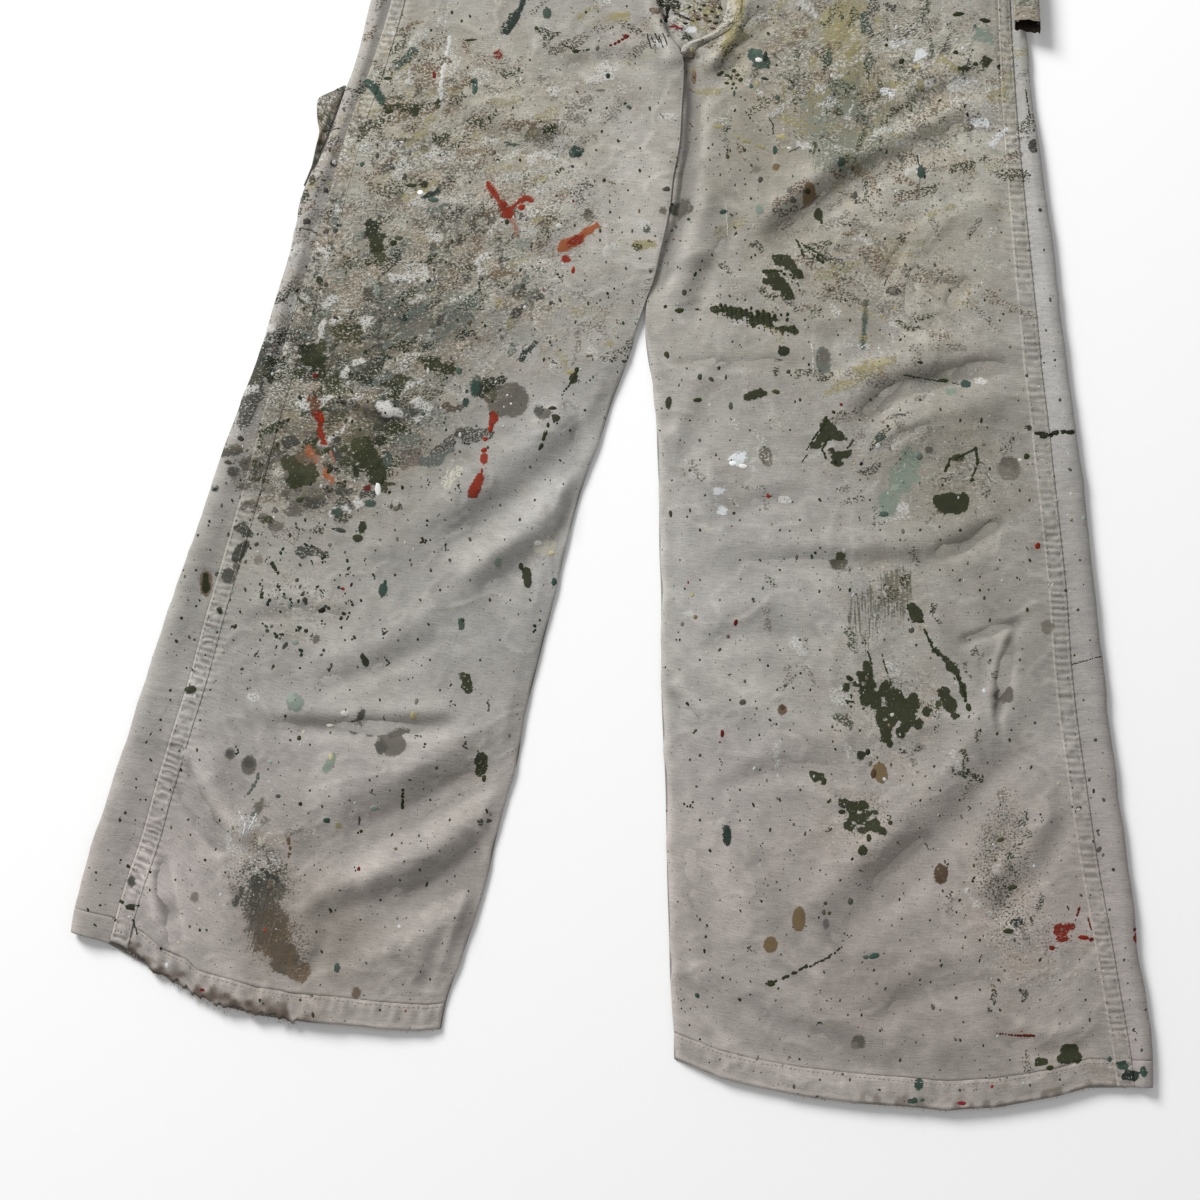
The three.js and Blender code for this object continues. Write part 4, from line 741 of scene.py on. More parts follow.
    # crusty dark network round the mass
    for (u,v,w,h,c,a) in ((330,390,50,40,"dol",0),(350,410,60,34,"dg",-20),(380,420,60,26,"ol",10),(300,430,40,26,"gr",0),(350,425,40,20,"pb",0),(285,410,40,40,"lg",0),(330,325,60,24,"ol2",-8),(290,330,40,26,"dg",0),(400,440,40,24,"dg",20),(345,460,26,40,"ol2",0),(330,500,50,26,"lg",0),(280,490,46,26,"gr",0),(390,400,50,24,"bg",30),(420,350,50,50,"lg",20),(380,345,60,30,"ol2",-10),(250,470,34,30,"gr",0),(310,300,40,30,"dg",0),(430,420,30,20,"bg",0),(346,368,60,22,"dg",0)):
        d(u,v,w*1.5,h*1.5,c,.5,a)
    d(300,380,110,90,"wp",.34); d(390,380,80,50,"wp",.30); d(330,420,90,60,"ye2",.2); d(350,300,80,50,"wp",.3); d(250,430,50,60,"wp",.25); d(420,300,60,60,"wp",.2)
    dots("dol",4,(283,300),(297,290),(311,300),(336,318),(292,320),(281,335),(300,338,.8),(380,310),(402,300,.8),(336,345,.8),(365,352,1.1),(388,335),(300,398),(288,420),(340,398,1.2),(352,392),(368,402),(346,420,1.1),(360,430),(330,470,1.1),(345,486),(356,500,.8),(390,492),(402,487),(305,520),(325,525,.7),(290,535,.7),(310,538,.7),(262,532,.7),(250,520,.7))
    dots("gr",6,(262,490,1),(240,497,.8),(275,510,.9),(262,448,.8),(245,462,.9),(286,475),(300,490),(271,489),(322,505),(306,508,.8),(236,520,.6),(228,535,.7),(330,545,.8),(345,552,.7),(380,540,.7),(395,530,.6),(270,545,.6),(222,505,.7),(226,483,.8),(247,450,.7))
    dots("ol",2.6,(420,500),(428,480),(440,470),(408,520),(430,540),(445,520),(452,500),(410,560),(395,575),(360,580),(340,575),(320,590),(300,565),(280,560),(262,580),(250,600),(430,440),(446,430),(440,400),(455,385),(470,370),(430,380),(462,350),(480,340),(500,350),(520,370),(544,360),(560,350))
    # -- middle of the wearer's right leg
    e(512,400,34,36,"gr",rag=.5,L=SOAK); e(500,403,26,30,"gr",rag=.5,L=SOAK); e(495,390,10,12,"gr",L=SOAK); e(490,394,12,20,"ol",rag=.7,L=SOAK); e(507,395,3,3,"wp"); e(511,404,2.4,2.4,"wp"); e(504,407,2,2,"wp"); e(500,388,7,7,"dg",L=SOAK)
    k("re",6,(493,414),(491,427),w1=6,rag=.25); e(494,418,9,12,"re2",rag=.2); e(490,428,6,8,"re2",rag=.2); e(485,439,5,5,"re2",rag=.2); e(484,450,6,6,"re2",rag=.2); e(484,459,8,12,"re2",rag=.25); e(482,472,3,8,"re2",rag=.2); k("re2",9,(480,478),(476,487),(473,493),w1=12,rag=.35); e(474,491,12,8,"re2",rag=.3)
    e(476,386,13,22,"tl2",rag=.35,a=8,L=SOAK); e(475,388,9,15,"tl",rag=.3,a=8); e(466,402,7,11,"tl",rag=.3,a=10); e(467,391,4,4,"tl"); e(459,371,6,6,"tl2"); e(460,433,13,12,"gr",L=SOAK,rag=.25); e(544,414,16,12,"gr",L=SOAK,rag=.3); e(538,411,9,10,"dg",L=SOAK); e(552,408,8,4,"ol",rag=.7); e(556,418,8,8,"ol",rag=.6)
    e(545,434,5,12,"ol",rag=.35,a=15); e(541,447,4,9,"ol",rag=.35,a=18); e(548,425,4,6,"ol"); k("ol",5,(577,370),(571,382),(562,395),w1=2,rag=.6); e(573,378,8,10,"ol",rag=.5); e(570,372,9,5,"ye2",rag=.6,hole=.3); e(423,414,6,6,"tl2"); e(434,388,8,5,"lg")
    e(498,562,7,10,"mt",rag=.3); e(527,577,9,22,"ol",rag=.4,a=-8); e(521,566,5,8,"ol2"); e(554,582,6,8,"tl",rag=.3); e(545,548,24,16,"cm",rag=1.2,hole=.25); e(538,543,9,6,"wp",rag=.8,hole=.2); e(552,553,8,5,"yp",rag=.8)
    e(383,590,8,15,"tl",rag=.35,a=10); e(385,582,5,6,"tl"); e(461,624,7,13,"tl2",rag=.3,a=-6); e(459,618,4,4,"mt"); dots("dg",3.2,(276,590),(300,587),(281,625),(460,452,.7),(440,478),(450,560),(470,540),(485,520,.8),(500,505),(515,490,.8)); e(289,605,5,8,"mt"); e(316,639,8,9,"gr",L=SOAK); e(295,642,8,6,"mt",rag=.4)
    k("ol",4,(362,654),(366,664),w1=6,rag=.6); e(467,684,10,20,"ol",rag=1,a=-14,hole=.2); e(462,676,7,8,"ol2",rag=.8,hole=.2); e(295,703,16,18,"mt",rag=1,hole=.12); e(291,697,7,8,"mt2",rag=.6); e(190,690,12,8,"ol",rag=.6); e(413,715,5,9,"ye"); e(361,716,8,16,"dg",rag=.2,L=SOAK,a=24); e(355,727,14,15,"dg",rag=.3,L=SOAK); e(370,733,9,8,"gr",rag=.3,L=SOAK)
    e(388,734,22,22,"gr",rag=.6,L=SOAK); e(393,744,28,24,"gr",rag=.6,L=SOAK); e(381,746,14,16,"dg",rag=.5,L=SOAK); e(392,733,9,10,"dg",L=SOAK,rag=.4); e(345,713,11,6,"wp",rag=.6); e(330,726,9,4,"cm",rag=.5); e(253,698,12,8,"wp",rag=1,hole=.4)
    dots("ol",3,(176,655),(186,668),(205,655),(233,640),(248,655),(260,640),(275,655),(300,668),(320,655),(345,640),(380,620),(400,630),(420,600),(440,590),(450,640),(430,660),(400,680),(380,700),(350,690),(320,690),(250,680),(236,700),(210,690),(200,720),(170,700),(160,720),(440,690),(455,705),(480,660),(500,640),(510,600),(530,600),(540,620),(490,600),(470,580),(480,560),(505,540),(520,520),(535,500),(550,480),(560,460),(570,430),(585,410),(590,380))
    # -- low on the wearer's right leg
    e(230,754,11,12,"gr",L=SOAK,rag=.25); e(230,753,7,7,"dg",L=SOAK,rag=.2); e(249,765,16,20,"gr",L=SOAK,rag=.3,a=10); e(248,762,11,13,"dg",L=SOAK,rag=.25); e(330,763,9,24,"mt",rag=.6,a=28,hole=.1); e(331,757,5,8,"yp",a=20); e(270,762,6,7,"mt",rag=.5,hole=.2)
    k("bg",4,(258,774),(255,784),(249,793),w1=5,rag=.3,L=SOAK); k("bg",5,(262,800),(259,810),(252,817),w1=6,rag=.3,L=SOAK); e(259,806,8,10,"gr",L=SOAK); e(278,796,5,5,"dg"); e(202,799,8,6,"bk",rag=.7,a=30); e(200,797,5,4,"bk",rag=.6)
    e(248,822,24,14,"wp",rag=2,hole=.5); k("wh",2,(240,812),(246,824),(244,834),rag=.8,hole=.2); k("wh",2,(256,815),(250,828),rag=.8,hole=.2); e(235,848,22,10,"wp",rag=1.6,hole=.55)
    e(481,765,13,24,"ol",rag=1.2,hole=.15,a=10); e(478,757,7,10,"dol",rag=.8); e(484,779,5,9,"ol",rag=.6); e(480,822,7,8,"dg",rag=.8,hole=.3); e(489,821,7,6,"dg",rag=.7,hole=.2); e(327,820,10,6,"tl",rag=.5); e(373,808,8,6,"mt",rag=.5); e(338,826,9,7,"ye2",rag=.6,L=SOAK); k("ol",3,(403,790),(402,807),w1=4,rag=.5); e(359,820,3,9,"dg")
    d(264,905,46,92,"dg",.50,0,VDRY); d(276,935,44,80,"br2",.45,0,VDRY); e(264,898,28,44,"gr",rag=2.6,hole=.3,L=SOAK,a=-8); e(256,884,15,24,"dg",rag=2.2,L=SOAK,hole=.2); e(278,886,12,36,"gr",rag=2,L=SOAK,a=-6,hole=.2); e(272,935,28,46,"br2",rag=2.6,L=SOAK,hole=.35); e(260,925,14,36,"gr",rag=1.4,L=SOAK); e(284,958,30,34,"pb",rag=1.4,L=SOAK); e(300,972,24,18,"br2",rag=1.6,L=SOAK,hole=.3); e(250,866,26,12,"dg",rag=1.8,hole=.5,L=SOAK,a=-30); e(262,846,34,10,"dg",rag=1.8,hole=.55,L=SOAK,a=30)
    d(270,890,60,70,"dg",.55,15); d(285,950,60,60,"pb",.45,15); d(240,880,40,50,"dg",.35); d(250,860,60,26,"wp",.25); d(262,868,50,30,"wp",.25)
    e(131,882,9,11,"dg",rag=.4,L=SOAK); e(130,907,17,6,"dol",rag=.5,hole=.1); e(122,902,5,5,"ol"); e(195,897,9,12,"lg",rag=.5,L=SOAK); k("ol",2,(133,920),(137,934)); e(337,968,7,11,"tl2",rag=.3); e(356,993,10,12,"br2",rag=.4,L=SOAK); e(202,990,7,4,"rd"); e(359,869,4,4,"rd"); e(128,866,4,5,"ol"); e(150,872,3,4,"ol")
    dots("ol",2.8,(120,860),(110,885),(100,905),(95,925),(115,920),(150,890),(160,870),(175,880),(190,870),(205,860),(215,850),(165,905),(180,920),(200,930),(220,940),(215,965),(235,985),(260,1000),(300,1000),(320,985),(340,940),(360,920),(380,900),(400,880),(420,870),(440,850),(450,820),(430,800),(410,780),(390,790),(370,780),(350,800),(310,790),(300,770),(290,740),(310,745),(200,760),(180,770),(170,790),(155,780),(145,800),(135,820),(130,840),(400,950),(420,930),(430,980),(410,1000),(380,1010),(360,960),(300,880),(320,870),(340,890),(330,910),(240,840),(220,820),(200,820),(190,835))
    # -- hips, wearer's left
    k("ye",11,(741,0),(740,12),(736,24),(729,34),(724,52),w1=8,rag=.8,L=SOAK,hole=.12); k("yp",5,(739,16),(733,28),w1=4,rag=.7)
    e(752,55,8,14,"tl",rag=.8,hole=.05); e(760,61,20,13,"tl2",rag=1,hole=.18); e(765,57,6,12,"dtl",rag=.7,hole=.1); e(757,52,12,6,"tl2",rag=.8); e(759,60,7,5,"wp",rag=.8,hole=.3); k("dtl",2.4,(752,36),(753,44)); e(765,79,8,4,"dtl",a=8); e(751,86,5,6,"tl2"); e(757,84,5,9,"ye2"); e(778,98,7,5,"tl2",rag=.5,hole=.2); e(734,94,3,8,"tl2")
    for (u,v) in ((722,72),(728,75),(734,70),(731,78),(738,75),(726,68),(741,80),(719,74),(733,84),(727,83)): e(u,v,5,4,"ol",rag=.9,hole=.2)
    d(730,74,30,18,"ol",.45); k("dtl",1.6,(769,118),(773,124),(773,134),rag=.5,hole=.3); e(775,150,5,9,"tl",rag=.4); e(776,167,8,8,"tn",rag=.2); k("ye2",4,(738,138),(752,143),(765,149),rag=.8,hole=.35,L=SOAK); e(782,137,12,6,"ye2",rag=.8,hole=.4,L=SOAK); e(718,126,12,4,"ye2",rag=.8,hole=.5,L=SOAK); e(781,118,7,7,"ye2",rag=.6,hole=.3,L=SOAK); k("tl2",1.4,(789,152),(800,147)); e(789,148,5,3,"wp")
    e(789,191,6,7,"gr",rag=.3); e(761,180,5,6,"dg"); e(751,165,4,4,"dg"); e(756,169,9,8,"lg",rag=.6,L=SOAK)
    # the big vertical dry-brushed patch
    e(847,36,26,44,"ye2",rag=2,hole=.42,L=SOAK); e(850,8,42,20,"ye2",rag=2,hole=.5,L=SOAK); d(846,40,52,100,"ye2",.62,0,VDRY); d(828,30,24,50,"ye",.4,0,VDRY); e(829,56,9,14,"tl2",rag=1.3,hole=.3); e(864,22,9,22,"tl2",rag=1.3,hole=.4); e(870,60,8,20,"tl2",rag=1.3,hole=.5); e(840,84,24,8,"tl2",rag=1.4,hole=.5)
    d(838,130,70,110,"gg",.72,0,VDRY); d(870,130,60,100,"gg",.5,0,VDRY); d(820,120,40,70,"gg",.45,0,VDRY); e(838,138,66,74,"gg",rag=1.2,hole=.62,L=SOAK); d(838,128,74,104,"dtl",.34,0,VDRY); d(856,150,40,80,"olg",.4,0,VDRY); d(840,100,80,40,"tlg",.42,0,VDRY); d(868,80,40,70,"ol2",.35,0,VDRY); d(800,130,40,60,"gg",.3,0,VDRY); d(890,110,50,50,"lg",.3,0,VDRY)
    d(900,40,110,60,"wp",.36); d(880,90,60,30,"ye2",.3); d(800,50,60,60,"wp",.3); d(780,30,50,50,"ye2",.28); d(800,40,40,50,"ol",.3); d(930,70,60,40,"ol2",.28); d(820,8,60,14,"dol",.4); d(900,20,60,20,"ol",.28); d(950,30,60,30,"lg",.25); d(985,100,60,60,"wp",.25)
    e(985,37,22,16,"mt",rag=1.8,hole=.35); e(979,33,10,10,"mt",rag=1.2,hole=.2); e(987,61,11,9,"ol",rag=.9,hole=.1); e(965,68,10,8,"ol",rag=.9,hole=.15); e(976,64,6,5,"ol"); e(1000,66,6,5,"dol"); e(956,52,6,5,"dol"); e(920,54,11,16,"wh",rag=1.4,hole=.3); e(981,123,16,9,"wh",rag=1.3,hole=.4); e(930,85,12,9,"wp",rag=1.2,hole=.4); e(893,85,9,9,"ye2",rag=.8,hole=.3); e(917,67,8,5,"ye",rag=.7,hole=.3); e(902,61,6,7,"dol",rag=.8); e(985,20,14,6,"dol",rag=1,hole=.4); e(958,14,12,5,"ol",rag=1,hole=.4)
    e(809,196,13,26,"tn",rag=.45,a=3); e(809,206,5,5,"br"); e(819,214,9,12,"ol",rag=.5); e(822,221,4,6,"ol"); e(840,164,7,8,"tl",rag=.4); e(840,171,3,4,"tl"); k("tl",2.4,(917,152),(919,165),rag=.3); e(921,172,9,13,"tl",rag=.25,a=-8); k("lg",1.4,(920,178),(918,196)); e(855,194,6,12,"dg",rag=.4,a=10); e(856,202,4,4,"dg"); e(723,212,9,6,"tl",rag=.4); e(759,210,8,10,"mt",rag=.5); e(751,199,3,3,"ol"); e(792,200,6,7,"gr",rag=.3)
    k("ol",2,(799,241),(812,250),(830,262),rag=1,hole=.25); k("ol",3,(797,240),(804,256),rag=.8,hole=.2); k("ol",2,(810,252),(822,262),w1=4,rag=.8,hole=.3); e(776,258,10,8,"ol",rag=.8,hole=.1); k("ol",5,(764,272),(776,270),(792,276),(800,290),w1=2,rag=1,hole=.1); e(785,262,30,13,"ol",rag=1.2,hole=.06,a=28); e(797,272,14,9,"ol",rag=1.1,hole=.08,a=40); e(778,284,30,15,"ol",rag=1.2,hole=.05,a=40); e(788,292,16,10,"ol",rag=1,hole=.05,a=50); e(786,294,14,9,"ol",rag=1,hole=.1); e(768,281,12,8,"ol",rag=.8)
    k("dg",1.6,(905,238),(893,262),(884,286),rag=.7,hole=.35); k("dg",1.4,(918,265),(911,290),(908,306),rag=.7,hole=.4); k("dg",1.4,(908,306),(916,322),rag=.7,hole=.3); e(893,291,15,11,"dg",rag=.6,hole=.25); e(893,291,8,6,"lg",rag=.4); e(882,310,5,6,"gr"); k("tl2",4,(866,304),(865,322),(863,348),w1=6,rag=.3,L=SOAK); e(866,303,9,8,"tl2",rag=.3,L=SOAK); e(863,344,7,14,"tl2",rag=.3,L=SOAK); e(865,318,7,16,"tl2",L=SOAK,rag=.3)
    e(823,360,15,28,"bg",rag=.5,L=SOAK); e(824,356,10,16,"gr",rag=.4,L=SOAK); e(826,370,8,8,"bg",L=SOAK); k("wp",2,(812,344),(814,372),rag=.8,hole=.3)
    for i, (u, v, l) in enumerate(((716,311,7),(721,310,9),(726,312,12),(731,314,15),(736,316,13),(741,315,10),(746,318,16),(751,318,18),(757,320,16),(763,321,19),(769,323,17),(775,324,15),(781,325,20),(787,327,16),(793,329,12))):
        k("ol", 3.6 + (i % 3) * .6, (u, v - l / 2), (u + 1.5, v + l / 2), w1=1.8, rag=.7, hole=.06)
    k("ol",7,(716,309),(735,312),(752,316),w1=12,rag=1.6,hole=.12); k("ol",13,(752,318),(770,321),(792,330),w1=9,rag=1.8,hole=.06); e(679,311,13,6,"ol",rag=.7,a=-6); e(665,306,5,4,"ol"); e(697,309,6,3,"ol")
    e(866,370,34,14,"ye2",rag=1.6,hole=.3,L=SOAK); k("ye2",7,(828,392),(850,382),(872,372),(895,360),rag=1.6,hole=.45,L=SOAK); e(880,362,18,7,"yp",rag=1.2,hole=.4); d(860,375,70,30,"ye2",.35,-20)
    dots("ol",2.6,(706,190),(700,205),(716,228),(735,228),(745,240),(755,255),(740,270),(725,262),(712,255),(700,270),(690,290),(705,298),(730,296),(745,300),(815,280),(830,290),(845,300),(850,320),(838,335),(820,310),(805,320),(880,330),(900,340),(920,345),(940,330),(930,300),(950,290),(960,310),(985,300),(1000,320),(940,240),(955,250),(970,235),(990,250),(1000,220),(985,200),(960,190),(940,200),(880,220),(866,235),(850,225),(880,190),(900,180),(945,160),(965,150),(990,160),(1005,180),(735,110),(750,118),(760,130),(745,150),(730,150),(710,160),(720,175),(735,185),(740,170),(800,100),(905,130),(925,120),(940,100),(960,110),(975,90),(1000,95))
    dots("dg",2.6,(715,60),(700,105),(708,118),(745,100),(765,108),(790,80),(795,60),(780,15),(800,8),(770,25),(885,40),(905,8),(930,30),(945,45),(1000,30),(1000,130),(880,150),(900,155),(930,145),(905,205),(925,215),(860,255),(840,270),(872,262),(935,265),(975,270),(1010,260),(1000,290))
    # -- middle of the wearer's left leg
    e(784,351,12,10,"dol",rag=.3,a=-10); e(757,394,21,9,"ol",rag=.7,a=-8); e(748,397,8,8,"ol"); e(775,392,9,5,"ol2"); e(669,402,7,13,"ol",rag=.4); e(698,400,10,5,"ol",rag=.5); e(731,406,5,8,"dg"); e(711,379,6,6,"dg"); e(788,372,6,5,"ol2"); e(700,377,6,7,"dg"); e(758,363,3,4,"dg"); e(667,355,6,9,"ol2",rag=.6); e(719,368,4,4,"ol"); e(726,377,3,5,"ol")
    e(914,372,14,6,"ol",rag=1,hole=.1); e(929,376,13,6,"ol",rag=1,hole=.1); e(944,380,12,5,"ol",rag=1,hole=.15); e(959,371,7,9,"tl",rag=.5); e(966,384,11,8,"tl",rag=.5); e(951,391,12,8,"mt",rag=.9,hole=.2); e(980,381,12,7,"wp",rag=1,hole=.4); e(920,363,8,3,"ol"); k("ol",1.6,(904,375),(960,384),rag=.8,hole=.3)
    # olive bird-shaped splash
    k("ol",4,(826,418),(822,428),(814,438),(807,449),w1=2.5,rag=.8); k("ol",7,(826,421),(832,428),(840,436),(847,440),w1=3,rag=.9,hole=.04); e(828,429,20,14,"ol",rag=1,a=30); e(824,437,18,12,"ol",rag=1.1); e(838,436,16,10,"ol",rag=1.1,a=20); e(816,445,10,8,"ol",rag=.9); k("ol",3,(829,436),(822,450),(826,458),rag=.8); e(842,455,24,12,"ol",rag=1.2,hole=.06,a=-16); e(838,463,14,9,"ol",rag=1,hole=.06); k("ol",2.5,(848,448),(853,440),rag=.8); e(832,450,8,8,"ol",rag=.8); k("ol",1.6,(802,462),(807,455),rag=.5); e(841,405,5,4,"rd"); e(834,412,4,4,"ol")
    e(738,459,18,12,"wh",rag=1.4,hole=.12); e(733,463,9,6,"wh",rag=1,hole=.1); e(744,466,9,5,"wp",rag=.9,hole=.3); e(747,458,12,9,"mt2",rag=.6,L=SOAK,hole=.3); e(766,456,13,20,"gr",rag=.6,L=SOAK,a=-8,hole=.06); e(768,463,9,8,"lg",L=SOAK); e(719,491,9,7,"wh",rag=.9,hole=.15); e(722,511,10,8,"wh",rag=.9,hole=.2); e(785,499,13,9,"wp",rag=1,hole=.35); e(880,437,9,8,"tl2",rag=.6,hole=.2); e(929,450,8,7,"gr",rag=.4)
    e(909,460,24,28,"mt",rag=1.4,L=SOAK,hole=.08); e(900,480,26,34,"mt",rag=1.5,L=SOAK,hole=.06); e(889,502,22,26,"mt",rag=1.4,L=SOAK,hole=.12); e(915,478,10,10,"mt",rag=1,L=SOAK,hole=.1); e(903,508,12,12,"wp",rag=1.3,hole=.4); e(896,488,9,7,"mt2",rag=1,hole=.3); e(884,514,9,6,"tl2",rag=.9,hole=.3); e(920,455,6,8,"tlg",rag=.8)
    e(951,503,36,22,"ol",rag=.8,a=4); e(964,500,12,16,"ol",rag=.7); e(938,500,10,12,"ol",rag=.6); e(952,508,14,7,"dol",rag=.5,L=COAT); k("ol",4,(946,470),(950,460),(962,455),(974,450),w1=3,rag=.8,hole=.08); k("ol",4,(976,448),(978,462),(973,476),w1=3,rag=.8,hole=.1); e(958,458,14,7,"ol2",rag=.8,hole=.12); e(972,480,6,5,"ol")
    e(1009,469,25,25,"lg",rag=.6,L=SOAK); e(1009,462,20,12,"gr",rag=.5,L=SOAK); e(1016,466,9,10,"gr",rag=.4,L=SOAK); e(1020,460,4,3,"wp"); e(1027,456,6,7,"ol"); e(1029,427,8,8,"dol",rag=.6,hole=.1); k("dol",5,(1037,433),(1048,435),(1060,432),(1072,432),rag=1,hole=.1); e(1045,436,10,6,"dol",rag=.8); e(978,541,6,4,"rd"); e(814,561,6,10,"tl",rag=.3); e(812,556,4,5,"tl"); e(840,557,11,11,"ol2",rag=.5); e(838,561,6,5,"br2"); dots("dg",3,(741,579),(763,588),(820,548,1.4),(825,552),(716,455),(700,440),(690,470),(705,495)); e(736,622,4,6,"rd"); e(688,613,12,7,"wp",rag=.6,L=SOAK,hole=.3)
    d(898,588,34,56,"ol2",.62,12,VDRY); e(905,580,10,16,"ol2",rag=1.2,hole=.45,a=15); e(890,596,14,18,"ol2",rag=1.4,hole=.6,a=15); d(868,610,44,90,"olg",.4,14,VDRY); d(890,600,60,60,"lg",.25,14,VDRY)
    e(916,614,15,16,"ol",rag=.9,hole=.05); e(912,607,9,10,"ol",rag=.8); e(921,621,8,6,"ol",rag=.7); e(912,630,6,6,"dg"); k("ol",3,(925,630),(933,648),(938,655),rag=.6); e(935,650,7,9,"ol",rag=.6); k("ol",6,(938,652),(948,662),(956,672),w1=5,rag=.7); e(952,668,12,9,"ol",rag=.7,a=35); k("ol",5,(958,676),(964,692),(966,700),w1=4,rag=.6); e(963,690,8,14,"ol",rag=.6); e(969,707,6,9,"ol",rag=.5); e(958,716,4,5,"ol")
    e(1004,696,20,16,"gr",rag=.4,L=SOAK); e(1008,692,12,12,"gr",rag=.3,L=SOAK); e(998,704,10,7,"lg",rag=.4,L=SOAK,a=-30); e(1048,627,13,14,"lg",rag=.4,L=SOAK); k("dg",1.6,(1074,664),(1102,656),rag=.6,hole=.4)
    # the leafy olive cluster
    for (u,v,w,h,a) in ((868,668,10,14,-30),(864,676,18,9,20),(872,684,12,12,10),(856,683,10,9,0),(866,696,16,22,-10),(875,700,14,22,-14),(884,690,14,16,20),(894,698,20,20,0),(902,710,24,26,-10),(912,704,14,22,10),(908,722,18,18,0),(892,716,16,20,-20),(886,732,13,22,-8),(918,724,10,14,10),(900,732,9,14,0),(880,716,10,18,-10),(846,688,8,10,30),(850,678,8,6,0),(890,744,7,10,0),(926,712,8,9,30)):
        e(u,v,w,h,"ol",a=a,rag=1.1,hole=.04)
    e(944,694,12,16,"ol",rag=1,a=-10); e(950,704,14,18,"ol",rag=1,a=-10); e(938,704,8,8,"ol2",rag=.7); e(954,716,8,8,"ol",rag=.7); e(743,702,6,7,"dg"); e(782,709,9,11,"br2",rag=.3); e(782,707,5,6,"br"); e(785,686,5,5,"dg"); e(842,696,26,20,"wp",rag=1.8,hole=.55,L=SOAK); e(722,734,4,7,"rd"); e(720,742,3,3,"rd"); e(777,690,3,3,"dg")
    k("ol",2.4,(868,652),(872,664),rag=.5); k("ol",2,(882,655),(888,676),rag=.6,hole=.2); d(890,700,70,60,"ol",.25)
    dots("ol",2.8,(690,420),(680,440),(700,460),(660,430),(672,480),(690,510),(700,530),(720,540),(740,520),(760,510),(780,530),(800,520),(820,500),(840,490),(860,480),(870,500),(860,520),(880,530),(900,540),(920,530),(940,540),(960,530),(990,520),(1010,510),(1020,490),(990,490),(960,420),(940,410),(920,400),(900,410),(880,400),(860,420),(870,450),(800,400),(810,380),(790,430),(770,420),(750,430),(730,440),(680,560),(700,580),(720,600),(740,560),(760,560),(780,570),(800,590),(820,580),(840,590),(850,570),(940,570),(960,580),(980,590),(1000,560),(1010,600),(990,620),(970,640),(1020,580),(680,640),(700,660),(720,650),(740,640),(760,660),(780,650),(800,640),(820,650),(830,670),(810,690),(790,730),(770,720),(750,740),(730,700),(700,700),(690,720),(820,730),(840,730),(860,730),(990,660),(1000,680),(980,730),(960,740),(1010,740),(1030,700),(1020,660),(1030,560),(1040,520),(1030,500))
    # -- low on the wearer's left leg
    e(817,775,14,14,"ol",rag=1.2,hole=.12); e(812,772,7,8,"ol",rag=.8); e(824,782,6,7,"ol",rag=.7); e(861,755,11,9,"dol",rag=.5); e(868,752,6,6,"dol"); e(880,773,15,22,"tn",rag=.5,a=-10); e(874,774,6,9,"br",rag=.5)
    for (u,v,w,h,a) in ((845,803,16,9,20),(852,808,14,14,0),(862,805,14,12,0),(856,818,16,12,20),(866,814,14,10,0),(850,826,12,9,30),(872,824,16,14,20),(882,830,8,7,0),(862,830,12,8,0),(842,812,8,6,0),(876,812,8,8,0),(868,838,6,8,0),(890,822,6,5,0)):
        e(u,v,w,h,"ol",a=a,rag=1.1,hole=.1)
    d(862,816,56,50,"ol2",.3); e(862,850,9,12,"ol",rag=.5,hole=.05); e(726,828,8,8,"tl2",rag=.3); e(727,836,9,20,"dtl",rag=.3); e(941,874,14,20,"br",rag=.4); e(938,880,8,8,"br2",rag=.4,L=SOAK); e(799,919,13,26,"tn",rag=.3,a=4); e(770,944,15,17,"tn",rag=.35); e(826,924,7,13,"vi",rag=.4,L=SOAK); e(824,912,5,6,"gr"); e(825,903,4,5,"dg"); e(874,956,12,6,"tl",rag=.4,a=-12); e(866,957,6,4,"tl2")
    k("ol",2.6,(763,984),(778,980),w1=4,rag=.9,hole=.15); k("ol",3.6,(784,978),(802,968),(806,966),rag=1,hole=.15); k("ol",2.2,(806,968),(822,960),rag=.9,hole=.3); k("ol",2.6,(822,961),(842,948),rag=1,hole=.2); e(770,984,12,5,"ol",rag=1,hole=.1,a=-10)
    e(859,1042,14,15,"gr",rag=.4,L=SOAK); e(855,1046,8,7,"lg",L=SOAK); e(919,1084,9,12,"tl",rag=.3); e(913,1101,10,7,"tl",rag=.4); e(922,1100,6,5,"tl2"); e(1060,930,16,13,"re",rag=1.1,hole=.15,a=-20); e(1070,926,10,9,"re",rag=.8,hole=.1); e(1062,939,14,7,"re",rag=.8,hole=.2); e(1084,938,10,5,"re",rag=.9,hole=.15); e(1092,940,5,5,"rd"); k("rd",2.4,(1076,920),(1080,908),w1=3,rag=.7,hole=.2); k("rd",2,(1088,918),(1092,930),rag=.6,hole=.3); e(1052,948,6,5,"rd",rag=.5)
